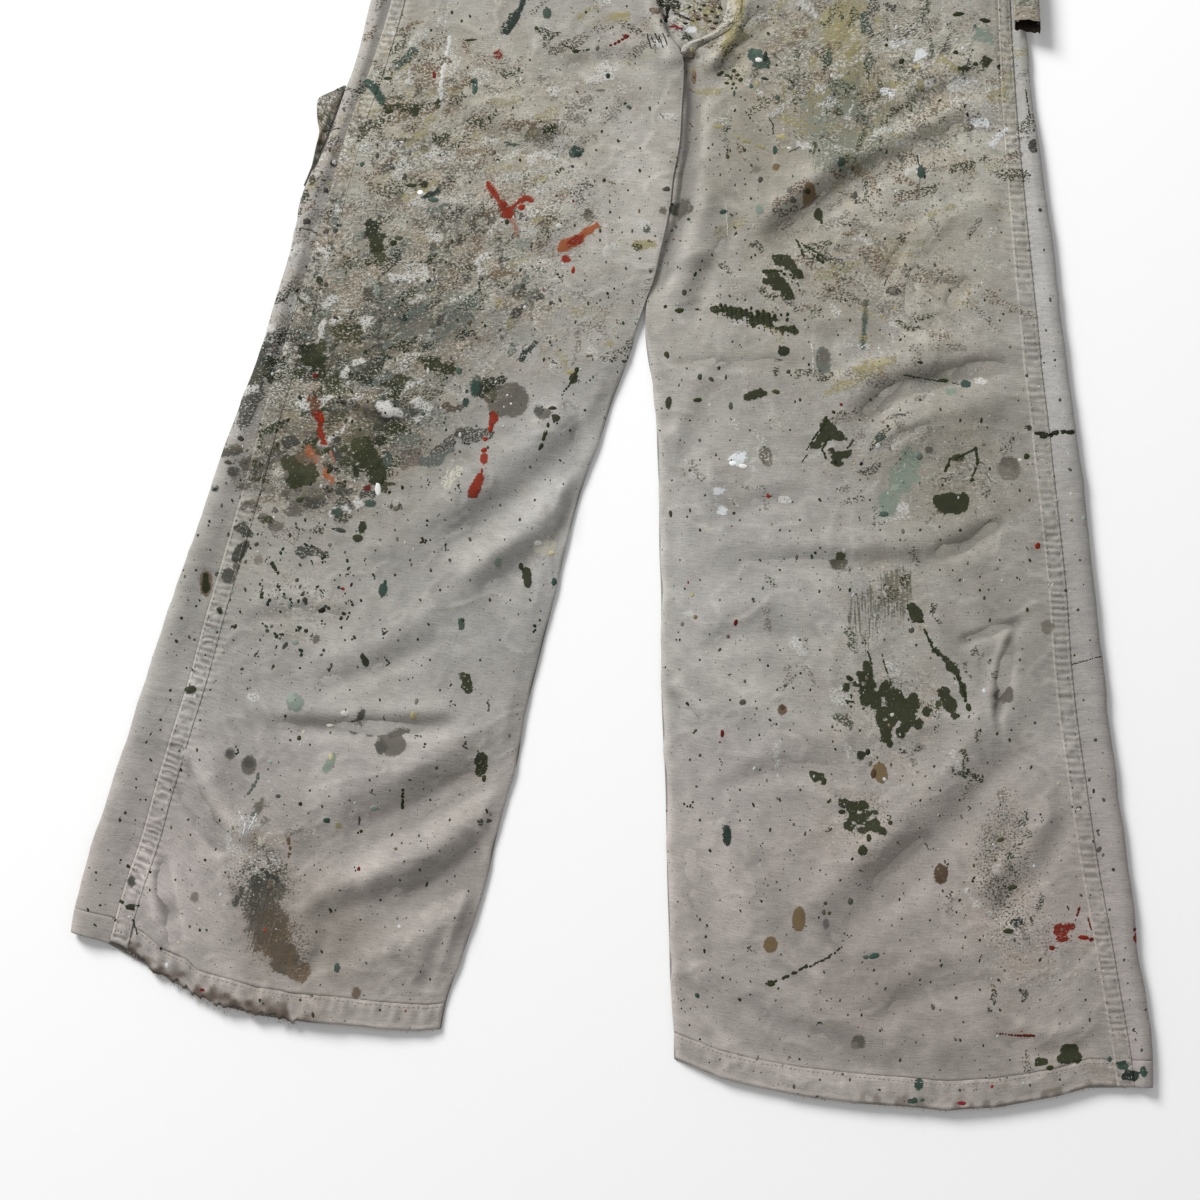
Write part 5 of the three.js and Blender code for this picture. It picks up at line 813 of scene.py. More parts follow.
    k("rd",4,(1135,930),(1138,945),(1140,962),rag=.9,hole=.2); e(1137,938,7,10,"re",rag=.8); e(1141,955,5,12,"cr",rag=.8); k("rd",1.8,(997,1033),(1016,1035.5),(1033,1035.5),w1=4.2,rag=.35,hole=0); e(961,1103,9,5,"cr",rag=.6); e(1070,1050,18,14,"ol",rag=.9,a=20,hole=.06); e(1066,1058,20,14,"ol",rag=1,a=-10,hole=.06); e(1078,1058,10,14,"ol",rag=.8); e(1042,1062,14,8,"ol",rag=.9,hole=.1); e(1050,1068,8,6,"ol"); e(1122,1066,14,10,"tl",rag=.8,hole=.1,a=20); e(1130,1076,20,12,"dtl",rag=.8,hole=.1); e(1144,1072,8,10,"tl",rag=.7,hole=.1); e(1136,1082,18,6,"dtl",rag=.7,hole=.15); e(1110,1060,5,6,"tl2")
    d(1010,880,60,150,"ol2",.33); d(990,860,40,80,"ol",.2); d(1010,930,60,50,"wp",.22); d(1000,820,40,60,"lg",.25); d(1060,935,50,30,"rd",.2); e(1018,922,14,8,"dtl",rag=1.2,hole=.4); e(1008,932,12,6,"ol",rag=1,hole=.4); e(1012,888,10,5,"ol2",rag=1,hole=.4); e(1000,840,9,5,"ol2",rag=1,hole=.4)
    dots("ol",2.8,(690,760),(700,780),(720,770),(740,790),(760,770),(780,800),(800,790),(790,820),(770,830),(750,820),(730,800),(700,820),(710,850),(730,870),(760,860),(790,850),(810,830),(830,800),(900,780),(920,800),(940,790),(960,800),(980,780),(900,820),(920,840),(900,860),(920,880),(880,880),(860,870),(840,880),(820,870),(800,880),(780,890),(760,900),(740,910),(720,900),(700,920),(690,950),(710,970),(730,980),(740,1000),(760,1020),(780,1040),(800,1060),(820,1080),(850,1080),(880,1090),(900,1060),(880,1030),(860,1010),(840,1000),(820,990),(900,1000),(920,980),(940,960),(900,940),(880,920),(900,900),(930,920),(960,900),(980,940),(960,960),(980,990),(940,1010),(960,1040),(940,1070),(980,1070),(1010,1060),(1000,1010),(1020,990),(1040,1000),(1060,1010),(1080,990),(1090,1020),(1060,980),(1040,960),(1020,960),(1080,960),(1096,970),(1086,1000),(1000,1080),(960,1090),(1030,1085),(1060,1080),(690,880),(684,1000),(700,1040),(720,1060))
    # wrap strips and hip edge of both legs
    dots("dg",3.4,(352,96),(360,80),(358,40),(344,110),(338,128),(330,150),(322,172),(316,196),(318,150),(300,230),(262,382),(250,398)); e(333,163,7,7,"dg",rag=.4); k("dg",1.2,(322,130),(340,128)); k("dg",1.4,(300,228),(312,230),(317,234)); e(334,162,5,5,"wp")
    e(305,222,9,6,"dg",rag=.4); e(312,180,8,12,"ol2",rag=.9,hole=.3); e(306,196,8,16,"ol",rag=1,hole=.4); e(326,190,6,5,"dg")
    dots("dg",4,(1034,130,1.5),(1036,150),(1030,175),(1040,210),(1044,250),(1050,300),(1046,330),(1055,360),(1060,400),(1070,470),(1072,520),(1080,560),(1066,590),(1078,610),(1090,640),(1084,700),(1096,740),(1090,780),(1104,800),(1100,850),(1114,870),(1110,910),(1124,960),(1130,1000),(1136,1040),(1146,1010),(1142,1050)); e(1033,146,8,12,"dg",rag=.8,hole=.2); k("ol",1.6,(1026,90),(1030,118),rag=.8,hole=.4); e(1029,60,6,10,"dg",rag=.8,hole=.3)
    dots("ol",3,(194,640),(170,690),(160,730),(150,760),(140,800),(120,820),(108,850),(96,880),(88,910),(184,650,.8),(146,742,.8),(222,520),(210,550),(196,570),(188,600),(232,500),(240,480),(262,300),(270,320),(280,280),(276,260),(292,250),(286,236))
    # -- hidden cloth above the frame: plain work spatter of the same kinds
    for (u,v,w,h,c) in ((470,-60,26,18,"ol"),(560,-120,16,22,"gr"),(620,-180,18,12,"tl2"),(440,-170,22,16,"ol2"),(800,-90,24,18,"ol"),(880,-160,20,26,"mt"),(940,-60,18,14,"tl"),(780,-190,16,12,"gr"),(900,-40,22,10,"ye2"),(500,-210,12,16,"br2"),
                        (590,-330,24,30,"gr"),(660,-420,20,14,"ol"),(740,-360,26,34,"mt"),(800,-470,18,22,"ol2"),(620,-520,14,20,"tl"),(700,-580,26,16,"gr"),(850,-380,16,22,"tn"),(560,-450,14,14,"re"),(770,-560,16,12,"ye2"),(830,-300,22,16,"ol"),(680,-300,14,10,"tl2"),(600,-600,12,9,"ol"),(720,-480,9,16,"br"),
                        (470,-380,16,20,"ol2"),(440,-320,14,12,"gr"),(950,-360,18,16,"gr"),(920,-430,12,18,"ol"),(500,-560,9,12,"tl2"),(900,-560,10,12,"gr"),(700,-680,20,10,"lg"),(580,-800,12,16,"ol2"),(560,-720,9,12,"gr"),(840,-780,12,18,"gr"),(850,-860,10,8,"tl2"),(575,-870,9,12,"br2")):
        e(u,v,w,h,c,a=(u*7)%60-30,rag=.9,hole=.08,L=SOAK if c in ("gr","mt","lg") else COAT)
    d(700,-420,160,180,"lg",.22); d(620,-360,70,90,"ol2",.25); d(780,-430,80,120,"gg",.35,0,VDRY); d(520,-120,120,90,"lg",.25); d(860,-120,120,90,"gg",.3,0,VDRY); d(690,-520,120,40,"wp",.25); d(600,-250,200,40,"ol2",.15); d(860,-250,160,40,"lg",.2); d(640,-420,60,60,"ye2",.25)
    # fly piece
    # the black stroke from (668,8) to (665,30) is painted shadow in the slit under the panel's edge
    k("bk",5,(668,8),(667,18),(665,30),w1=3,rag=.8); k("dg",3,(671,4),(675,12),rag=.8,hole=.2); e(674,25,10,4,"cr",rag=.7,hole=.08); e(680,27,8,4,"cr",rag=.6,hole=.1); e(692,29,14,7,"wh",rag=1.2,hole=.1); e(686,22,7,3,"bk",rag=.6); k("bk",1.6,(676,12),(690,18),rag=.7,hole=.2); k("bk",1.6,(680,15),(694,20),rag=.7,hole=.2); e(713,27,6,3,"br"); e(700,10,50,26,"ye2",rag=2,hole=.55,L=SOAK); e(715,8,20,14,"ye",rag=1.6,hole=.45,L=SOAK)
    for (u,v) in ((700,8),(706,14),(712,10),(718,16),(698,18),(710,20),(704,4),(720,6),(694,10),(716,22),(724,12),(690,6)): e(u,v,5,3,"dol",rag=.8,hole=.2,a=(u*13)%80-40)
    # the pb patch at (690,55) and the br2 patch at (694,76) are painted shade in the hollow under the bottom of the fly
    e(690,55,16,12,"pb",rag=1,hole=.25,L=SOAK); k("br2",2,(679,46),(682,56),rag=.6,hole=.3); k("br2",1.4,(690,88),(694,91)); e(694,76,6,16,"br2",rag=.8,hole=.4,L=SOAK)
chart_marks()
WORLD, KEY = 0.43, 300

LEVEL = 0.93
SMALL = 6.4            # marks narrower than this (chart units) are laid on as drops of their own
TONE_AND_SHADE_PATCHES = [  # soft patches of cloth colour, partly dirt and partly painted shade: centre, half sizes, strength, colour
 (500,150,170,120,.8,(172,167,156)), (640,170,60,90,.8,(186,180,172)), (770,120,80,130,.75,(146,139,124)), (930,90,110,90,.6,(168,162,146)), (930,230,90,80,.6,(180,174,160)),
 (420,130,80,80,.5,(160,156,146)), (340,190,30,110,.5,(150,145,134)), (350,390,100,80,.7,(132,127,114)), (400,325,74,42,.85,(96,95,86)), (340,430,78,56,.85,(90,86,74)), (470,120,90,60,.5,(150,142,124)), (400,70,70,60,.5,(162,155,138)), (440,260,90,40,.6,(140,133,118)), (860,60,80,70,.45,(150,143,122)), (880,270,90,50,.5,(146,137,120)), (450,470,80,70,.5,(158,154,147)), (560,520,70,120,.6,(174,170,166)),
 (700,560,60,110,.7,(177,172,166)), (690,330,60,60,.5,(166,160,150)), (800,340,60,60,.5,(152,146,134)), (950,470,70,100,.65,(132,126,113)), (1000,620,60,80,.5,(146,140,131)), (800,600,60,80,.5,(170,165,158)),
 (860,700,60,60,.4,(150,146,136)), (720,820,60,110,.55,(170,165,160)), (880,900,110,110,.5,(153,147,140)), (1020,900,60,90,.6,(158,151,143)), (800,1020,90,60,.5,(160,155,149)), (1000,1040,110,60,.5,(146,140,132)), (880,985,56,56,.65,(134,128,121)), (264,915,26,56,.7,(122,115,106)),
 (330,930,50,50,.7,(130,124,114)), (420,900,50,90,.45,(150,146,139)), (160,860,70,120,.6,(164,159,155)), (250,700,80,90,.5,(160,155,151)), (480,680,60,90,.5,(164,160,155)), (360,800,70,60,.4,(158,154,148)),
 (230,560,50,60,.5,(144,139,130)), (505,-160,200,130,.5,(168,163,153)), (860,-160,200,130,.5,(164,158,146)), (700,-380,160,150,.4,(160,155,146)), (700,-560,160,60,.5,(172,167,160)),
 # (690,105), (688,180) and (674,250) are painted shade in the grey band beside the centre seam; (735,50) is painted
 # shade beside the raised fly lip
 (310,108,24,60,.95,(112,106,98)), (1026,10,14,60,.8,(132,130,116)), (676,24,26,34,.8,(184,180,172)), (735,30,14,60,.5,(190,184,160)),(690,105,10,56,.85,(130,125,120)),(688,180,11,50,.85,(129,124,119)),(674,250,12,46,.6,(134,129,124)),(735,50,16,26,.5,(134,126,112)),(235,1010,60,16,.4,(120,112,102))]
BASE = (162,157,150)
CRUST = [(400,150,90,120,.62),(470,120,110,90,.55),(345,330,80,90,.85),(430,330,90,80,.72),(560,200,80,70,.42),(350,420,90,80,.9),(300,470,70,50,.7),(440,240,110,60,.68),(520,290,80,50,.62),(590,60,70,60,.40),(860,60,110,70,.66),(960,60,70,60,.58),(780,60,60,60,.5),(870,140,90,60,.5),(960,160,80,70,.42),(800,270,70,50,.40),(880,270,80,60,.42),(950,300,70,60,.36),(890,370,90,30,.42),(960,470,90,60,.52),(860,440,70,40,.34),(890,600,60,70,.44),(890,710,70,60,.48),(870,820,60,60,.42),(1010,880,50,100,.36),(1040,950,50,40,.42),(262,872,40,40,.30),(285,950,40,40,.12),(250,820,60,30,.38),(540,550,50,60,.28),(700,380,80,20,.30),(1100,1070,50,25,.4),(470,770,24,40,.35),(300,600,46,46,.5),(700,20,50,24,.7),(310,110,30,60,.9),(320,280,50,60,.6),(330,190,24,90,.5),(720,470,90,60,.2),(600,330,60,40,.35),(1024,10,16,34,.92)]
SPECK = [(430,170,130,120,.55),(340,400,110,90,.5),(560,200,80,100,.35),(860,120,120,110,.5),(960,480,80,90,.4),(860,760,90,90,.25),(1000,900,60,110,.35),(250,640,90,90,.3),(230,860,100,110,.3),(520,300,90,80,.4),(690,24,40,40,.5)]

def ell(du, dv, a, b, ang):
    c, s = math.cos(math.radians(ang)), math.sin(math.radians(ang))
    x, y = du * c + dv * s, -du * s + dv * c
    r = np.sqrt((x / a) ** 2 + (y / b) ** 2)
    g = np.sqrt((x / a / a) ** 2 + (y / b / b) ** 2)
    return np.minimum(r * (1 - r) / np.maximum(g, 1e-6), min(a, b)) if True else r
def stroke(u, v, pts, w0, w1):
    best = np.full(u.shape, -1e9)
    n = len(pts) - 1
    for i in range(n):
        (ax, ay), (bx, by) = pts[i], pts[i + 1]
        dx, dy = bx - ax, by - ay
        t = np.clip(((u - ax) * dx + (v - ay) * dy) / max(dx * dx + dy * dy, 1e-9), 0, 1)
        w = w0 + (w1 - w0) * (i + t) / n
        best = np.maximum(best, w / 2 - np.hypot(u - ax - dx * t, v - ay - dy * t))
    return best
def tiny(mk):
    return (min(mk[3], mk[4]) < SMALL) if mk[0] == "e" else (max(mk[2], mk[3]) < 5.2)

def soft(x, y, g, M=None):
    return g
def layer(U, V, marks_, order, su, n1, n2):
    """largest inside-distance of the marks at each point, and the colour and gaps of that mark"""
    m = 4.0
    sd = np.full(U.shape, -m); col = np.zeros(U.shape + (3,)) + INK["gr"]; gap = np.zeros(U.shape)
    for mk in marks_:
        if tiny(mk): continue
        if mk[0] == "e":
            _, cu, cv, w, h, c, ang, rag, hole = mk
            R = max(w, h) / 2 + m + rag * 2
            u0, u1, v0, v1 = cu - R, cu + R, cv - R, cv + R
        else:
            _, c, w0, w1, pts, rag, hole = mk
            R = max(w0, w1) / 2 + m + rag * 2
            u0, u1 = min(p[0] for p in pts) - R, max(p[0] for p in pts) + R; v0, v1 = min(p[1] for p in pts) - R, max(p[1] for p in pts) + R
        a, b = np.searchsorted(su, u0), np.searchsorted(su, u1)
        if a == b: continue
        ix = order[a:b]; ix = ix[(V[ix] > v0) & (V[ix] < v1)]
        if not len(ix): continue
        uu, vv = U[ix], V[ix]
        s = ell(uu - cu, vv - cv, w / 2, h / 2, ang) if mk[0] == "e" else stroke(uu, vv, pts, w0, w1)
        s = s + rag * (1.5 * n1[ix] + 1.6 * n2[ix])
        take = (s > 0.1) | (s > sd[ix])
        jx = ix[take]
        col[jx] = INK[c] if isinstance(c, str) else c
        gap[jx] = hole
        sd[jx] = np.maximum(sd[jx], s[take])
    return sd, col, gap
def washes(U, V, marks_, n3):
    keep = np.ones(U.shape); acc = np.zeros(U.shape + (3,)); tot = np.full(U.shape, 1e-6)
    acc += 1e-6 * INK["gr"]
    for (cu, cv, w, h, c, amp, ang) in marks_:
        cs, s = math.cos(math.radians(ang)), math.sin(math.radians(ang))
        sel = (np.abs(U - cu) < (w + h)) & (np.abs(V - cv) < (w + h))
        if not sel.any(): continue
        du, dv = U[sel] - cu, V[sel] - cv
        x, y = (du * cs + dv * s) / (w / 2), (-du * s + dv * cs) / (h / 2)
        r = np.sqrt(x * x + y * y) + 0.28 * n3[sel]
        g = amp * (1 - sm(0.45, 1.25, r))
        keep[sel] *= 1 - g; tot[sel] += g; acc[sel] += g[:, None] * INK[c]
    return 1 - keep, acc / tot[:, None]

def paint(P, kind, N):
    sh = P.shape[:2]
    cu, cv = chart(P[..., 0], P[..., 1])
    U, V = cu.ravel(), cv.ravel()
    order = np.argsort(U); su = U[order]
    n1, n2, n3 = noise(U / 3.1, V / 3.1, 31), noise(U / 7.3, V / 7.3, 32), fbm(U / 19, V / 19, 33)
    sd1, c1, g1 = layer(U, V, SOAK, order, su, n1, n2)
    sd2, c2, g2 = layer(U, V, COAT, order, su, n1, n2)
    dd, cd = washes(U, V, [m_ for m_ in DRY if m_[4] not in ("wp", "wh")], n3)
    dw, _ = washes(U, V, [m_ for m_ in DRY if m_[4] in ("wp", "wh")], n3)
    dv_, cv_ = washes(U, V, VDRY, n3)
    T = np.array(BASE, float) + np.zeros(U.shape + (3,))
    n4 = fbm(U / 45, V / 45, 41)
    # blend in the tone patches: dirt, and some painted shade
    for (a, b, ra, rb, w, rgb) in TONE_AND_SHADE_PATCHES:
        r = np.hypot((U - a) / ra, (V - b) / rb)
        g = w * np.exp(-(r * (1 + 0.25 * n3)) ** 2 * 0.9)
        T += g[:, None] * (np.array(rgb, float) - T)
    sp = np.full(U.shape, 0.30)
    for (a, b, ra, rb, w) in SPECK:
        sp += w * np.exp(-((U - a) / ra) ** 2 - ((V - b) / rb) ** 2)
    cr = np.zeros(U.shape)
    for (a, b, ra, rb, w) in CRUST:
        cr = 1 - (1 - cr) * (1 - w * np.exp(-((U - a) / ra) ** 2 - ((V - b) / rb) ** 2))
    cr = np.clip(cr * (1 + 0.5 * n3 + 0.35 * n2), 0, 1)
    T *= (1 + 0.035 * n4 + 0.03 * fbm(U / 12, V / 16, 42))[:, None]
    # painted shade in the valleys and painted light on the ridges, from the surface's curvature
    z = P[..., 2]
    if kind in ("front", "hem", "fell", "fly") and min(sh) > 6:
        du = np.linalg.norm(np.gradient(P, axis=1), axis=-1) + 1e-3; dv = np.linalg.norm(np.gradient(P, axis=0), axis=-1) + 1e-3
        k_ = np.gradient(np.gradient(z, axis=1) / du, axis=1) / du + np.gradient(np.gradient(z, axis=0) / dv, axis=0) / dv
        for _ in range(2):
            k_[1:-1, 1:-1] = (k_[:-2, 1:-1] + k_[2:, 1:-1] + k_[1:-1, :-2] + k_[1:-1, 2:] + 2 * k_[1:-1, 1:-1]) / 6
        T *= (1 - np.clip(k_.ravel() * 0.9, -0.09, 0.16))[:, None]
    if kind == "wrap":
        # painted shade and light on the wrap strips: darker where a strip turns down, paler on the left strip that
        # faces the lamp, greyer low on the right strip that faces away
        shade = 1 - 0.10 * sm(0.3, -0.6, N[..., 2].ravel())
        right = sm(700, 760, U)
        T = T * shade[:, None]
        T += (0.55 * (1 - right) * sm(700, 300, V))[:, None] * (np.array((178, 171, 167.0)) - T)
        T += (0.6 * right * (1 - sm(380, 560, V)))[:, None] * (np.array((176, 172, 170.0)) - T)
        T += (0.5 * right * sm(380, 560, V))[:, None] * (np.array((154, 149, 146.0)) - T)
        cr *= 0.55
        sp *= 0.7
    if kind == "fell": T *= 0.985
    if kind == "hem":
        fr = np.repeat(np.linspace(0, 1, sh[0]), sh[1])
        edge = sm(0.45, 1.0, fr + 0.35 * n2) * sm(96, 112, U) * (1 - sm(290, 330, U)) + 0.5 * sm(0.7, 1.0, fr + 0.3 * n2) * sm(840, 880, U)
        T += (0.8 * np.clip(edge, 0, 1))[:, None] * (np.array((74, 66, 57.0)) - T)
    if kind == "hidden": sp *= 0.6; cr = np.maximum(cr, 0.22 * (1 + n3))
    if kind == "pocket": T += 0.8 * (np.array((112, 104, 96.0)) - T); sp *= 2.2; cr = np.maximum(cr, 0.8)
    if kind == "loop": T += 0.5 * (np.array((150, 143, 130.0)) - T)
    low = N[..., 2].ravel() < -0.35
    sd1[low] = -4; sd2[low] = -4; dd[low] *= 0.3; cr[low] *= 0.3; dv_[low] *= 0.3
    # painted shade: faces turned downward are darkened
    T[low] *= 0.93
    T *= np.array((1.0, 0.989, 0.998))
    T[..., 0] *= 1 - 0.024 * (1 - sm(620, 860, V))
    tone = np.clip(T, 4, 250)
    c = tone / 255.0
    tone = np.where(c <= 0.04045, c / 12.92, ((c + 0.055) / 1.055) ** 2.4) * LEVEL
    f = dict(sd1=sd1, sd2=sd2, g1=g1, g2=g2, dd=dd, dw=dw, dv=dv_, sp=np.clip(sp, 0, 1), cr=cr)
    return {a: b.reshape(sh) for a, b in f.items()}, {"tone": tone.reshape(sh + (3,)), "c1": c1.reshape(sh + (3,)), "c2": c2.reshape(sh + (3,)), "cd": cd.reshape(sh + (3,)), "cv": cv_.reshape(sh + (3,))}

# ---- node materials ------------------------------------------------------------------------------
class Net:
    def __init__(self, name):
        self.m = bpy.data.materials.new(name); self.m.use_nodes = True
        self.t = self.m.node_tree; self.n = self.t.nodes
        self.b = self.n["Principled BSDF"]
    def put(self, sock, v):
        if isinstance(v, bpy.types.NodeSocket): self.t.links.new(v, sock)
        elif isinstance(v, (tuple, list)) and sock.type == "RGBA" and len(v) == 3: sock.default_value = (*v, 1)
        else: sock.default_value = v
    def math(self, op, a, b=None, c=None, clamp=False):
        n = self.n.new("ShaderNodeMath"); n.operation = op; n.use_clamp = clamp
        for i, v in enumerate((a, b, c)):
            if v is not None: self.put(n.inputs[i], v)
        return n.outputs[0]
    def add(self, a, b): return self.math("ADD", a, b)
    def sub(self, a, b): return self.math("SUBTRACT", a, b)
    def mul(self, a, b): return self.math("MULTIPLY", a, b)
    def step(self, lo, hi, x):
        n = self.n.new("ShaderNodeMapRange"); n.interpolation_type = "SMOOTHSTEP"
        self.put(n.inputs["Value"], x); self.put(n.inputs["From Min"], lo); self.put(n.inputs["From Max"], hi)
        return n.outputs["Result"]
    def mix(self, f, a, b, blend="MIX"):
        n = self.n.new("ShaderNodeMix"); n.data_type = "RGBA"; n.blend_type = blend
        self.put(n.inputs[0], f); self.put(n.inputs[6], a); self.put(n.inputs[7], b)
        return n.outputs[2]
    def attr(self, name, color=False):
        n = self.n.new("ShaderNodeAttribute"); n.attribute_name = name
        return n.outputs["Color" if color else "Fac"]
    def uv(self):
        n = self.n.new("ShaderNodeUVMap"); n.uv_map = "cloth"
        return n.outputs["UV"]
    def obj(self):
        return self.n.new("ShaderNodeTexCoord").outputs["Object"]
    def scaled(self, vec, s, off=(0, 0, 0)):
        n = self.n.new("ShaderNodeMapping"); n.inputs["Scale"].default_value = s; n.inputs["Location"].default_value = off
        self.put(n.inputs["Vector"], vec)
        return n.outputs["Vector"]
    def turned(self, vec, deg):
        n = self.n.new("ShaderNodeMapping"); n.inputs["Rotation"].default_value = (0, 0, math.radians(deg))
        self.put(n.inputs["Vector"], vec)
        return n.outputs["Vector"]
    def noise(self, vec, s, detail=2.0, off=(0, 0, 0), rough=0.5):
        n = self.n.new("ShaderNodeTexNoise"); n.inputs["Scale"].default_value = 1.0; n.inputs["Detail"].default_value = detail; n.inputs["Roughness"].default_value = rough
        self.put(n.inputs["Vector"], self.scaled(vec, s, off))
        return n.outputs["Fac"]
    def cells(self, vec, s, off=(0, 0, 0)):
        n = self.n.new("ShaderNodeTexVoronoi"); n.inputs["Scale"].default_value = 1.0
        self.put(n.inputs["Vector"], self.scaled(vec, s, off))
        c = self.n.new("ShaderNodeSeparateColor"); self.put(c.inputs[0], n.outputs["Color"])
        return n.outputs["Distance"], c.outputs[0], c.outputs[1], c.outputs[2]
    def bump(self, h, dist, strength=1.0):
        n = self.n.new("ShaderNodeBump"); n.inputs["Strength"].default_value = strength; n.inputs["Distance"].default_value = dist
        self.put(n.inputs["Height"], h); self.put(self.b.inputs["Normal"], n.outputs[0])

def canvas_material(name):
    g = Net(name); uv = g.uv()
    tilt = g.turned(uv, 28)
    slub = g.noise(uv, (110, 820, 1), 2.0)                    # thick weft runs
    slub2 = g.noise(uv, (330, 1500, 1), 1.0, (3, 7, 0))
    warp = g.noise(uv, (1500, 260, 1), 1.0, (9, 2, 0))
    grain = g.noise(uv, (1050, 1050, 1), 1.0, (5, 5, 0))
    mot = g.noise(uv, (70, 60, 1), 3.0, (1, 4, 0))
    brk = g.noise(uv, (420, 760, 1), 2.5, (8, 1, 0), 0.6)
    brk2 = g.noise(uv, (560, 700, 1), 2.5, (2, 9, 0), 0.6)
    vert = g.noise(uv, (640, 46, 1), 2.5, (4, 6, 0), 0.55)
    h = g.add(g.mul(slub, 0.42), g.add(g.mul(slub2, 0.30), g.add(g.mul(warp, 0.18), g.mul(grain, 0.34))))
    shade = g.add(g.mul(g.sub(h, 0.62), 1.05), g.add(1.0, g.mul(g.sub(mot, 0.5), 0.22)))
    col = g.mix(1.0, g.attr("tone", True), shade, "MULTIPLY")
    # soaked marks
    lift = g.add(0.78, g.mul(grain, 0.44))
    s1 = g.step(-1.0, 1.4, g.add(g.attr("sd1"), g.mul(g.sub(brk, 0.5), 6.5)))
    s1 = g.mul(s1, g.step(-0.03, 0.04, g.sub(brk2, g.add(0.22, g.mul(g.attr("g1"), 0.50)))))
    s1 = g.mul(s1, 0.9)
    col = g.mix(s1, col, g.mix(1.0, g.attr("c1", True), lift, "MULTIPLY"))
    # broken washes
    def broken(field, tex, k=0.36, edge=0.045):
        thr = g.add(0.5, g.mul(g.sub(0.5, field), k))
        return g.mul(g.step(-edge, edge, g.sub(tex, thr)), g.step(0.01, 0.12, field))
    dd, dw, dv = g.attr("dd"), g.attr("dw"), g.attr("dv")
    col = g.mix(g.mul(broken(dd, brk2), 0.8), col, g.mix(1.0, g.attr("cd", True), lift, "MULTIPLY"))
    vt = g.add(g.mul(vert, 0.62), g.mul(brk, 0.38))
    col = g.mix(g.mul(broken(dv, vt, 0.30), 0.8), col, g.mix(1.0, g.attr("cv", True), lift, "MULTIPLY"))
    col = g.mix(g.mul(broken(dw, brk), 0.72), col, (*srgb(200, 199, 194),))
    # crusted dirt and worn paint: irregular flecks that follow the rub of the hand
    cr = g.attr("cr")
    cA = g.noise(tilt, (400, 600, 1), 5.0, (3.3, 1.1, 0), 0.74)
    cB = g.noise(tilt, (120, 190, 1), 6.0, (7.7, 5.1, 0), 0.78)
    cC = g.noise(uv, (330, 520, 1), 5.0, (1.9, 6.6, 0), 0.74)
    cD = g.noise(uv, (36, 48, 1), 3.0, (2.2, 3.3, 0), 0.6)
    def flecks(tex, field, k, base, edge=0.02):
        return g.mul(g.step(-edge, edge, g.sub(tex, g.sub(base, g.mul(field, k)))), g.step(0.02, 0.2, field))
    col = g.mix(g.mul(cr, g.mul(g.step(0.42, 0.66, cD), 0.55)), col, (*srgb(142, 128, 106),))
    col = g.mix(g.mul(flecks(cC, cr, 0.15, 0.655), 0.44), col, (*srgb(206, 202, 190),))
    inkA = g.mix(g.step(0.42, 0.58, cD), (*srgb(60, 60, 46),), (*srgb(92, 80, 66),))
    col = g.mix(g.mul(flecks(cA, cr, 0.17, 0.665), 0.62), col, inkA)
    inkB = g.mix(g.step(0.40, 0.60, cD), (*srgb(52, 58, 50),), (*srgb(86, 84, 74),))
    col = g.mix(g.mul(flecks(cB, cr, 0.15, 0.70), 0.82), col, inkB)
    # specks thrown on by the brush
    sp = g.attr("sp")
    d_, r_, q_, w_ = g.cells(uv, (560, 560, 1), (0.3, 0.2, 0))
    k1 = g.mul(g.step(0.0, 0.01, g.sub(g.mul(sp, 0.26), r_)), g.step(0.0, 0.14, g.sub(g.add(0.16, g.mul(q_, 0.28)), g.add(d_, g.mul(g.sub(brk, 0.5), 0.5)))))
    ink1 = g.mix(w_, (*srgb(66, 64, 52),), (*srgb(118, 110, 98),))
    col = g.mix(g.mul(k1, 0.8), col, ink1)
    d_, r_, q_, w_ = g.cells(uv, (210, 210, 1), (7.3, 1.2, 0))
    k2 = g.mul(g.step(0.0, 0.01, g.sub(g.mul(sp, 0.24), r_)), g.step(0.0, 0.07, g.sub(g.add(0.05, g.mul(q_, 0.15)), g.add(d_, g.mul(g.sub(brk, 0.5), 0.45)))))
    ink2 = g.mix(w_, (*srgb(50, 52, 38),), (*srgb(96, 92, 82),))
    col = g.mix(g.mul(k2, 0.85), col, ink2)
    # opaque marks
    s2 = g.step(-0.5, 0.5, g.add(g.attr("sd2"), g.mul(g.sub(brk, 0.5), 4.0)))
    s2 = g.mul(s2, g.step(-0.03, 0.04, g.sub(brk2, g.add(0.29, g.mul(g.attr("g2"), 0.40)))))
    tone2 = g.add(0.84, g.mul(mot, 0.3))
    col = g.mix(g.mul(s2, 0.96), col, g.mix(1.0, g.attr("c2", True), tone2, "MULTIPLY"))
    g.put(g.b.inputs["Base Color"], col)
    g.put(g.b.inputs["Roughness"], g.sub(0.94, g.add(g.mul(s2, 0.26), g.mul(s1, 0.08))))
    g.b.inputs["Specular IOR Level"].default_value = 0.12
    g.bump(g.add(g.mul(h, g.sub(1.0, g.mul(s2, 0.5))), g.mul(s2, 0.5)), 0.00055, 0.75)
    return g.m
M_CANVAS = canvas_material("canvas")

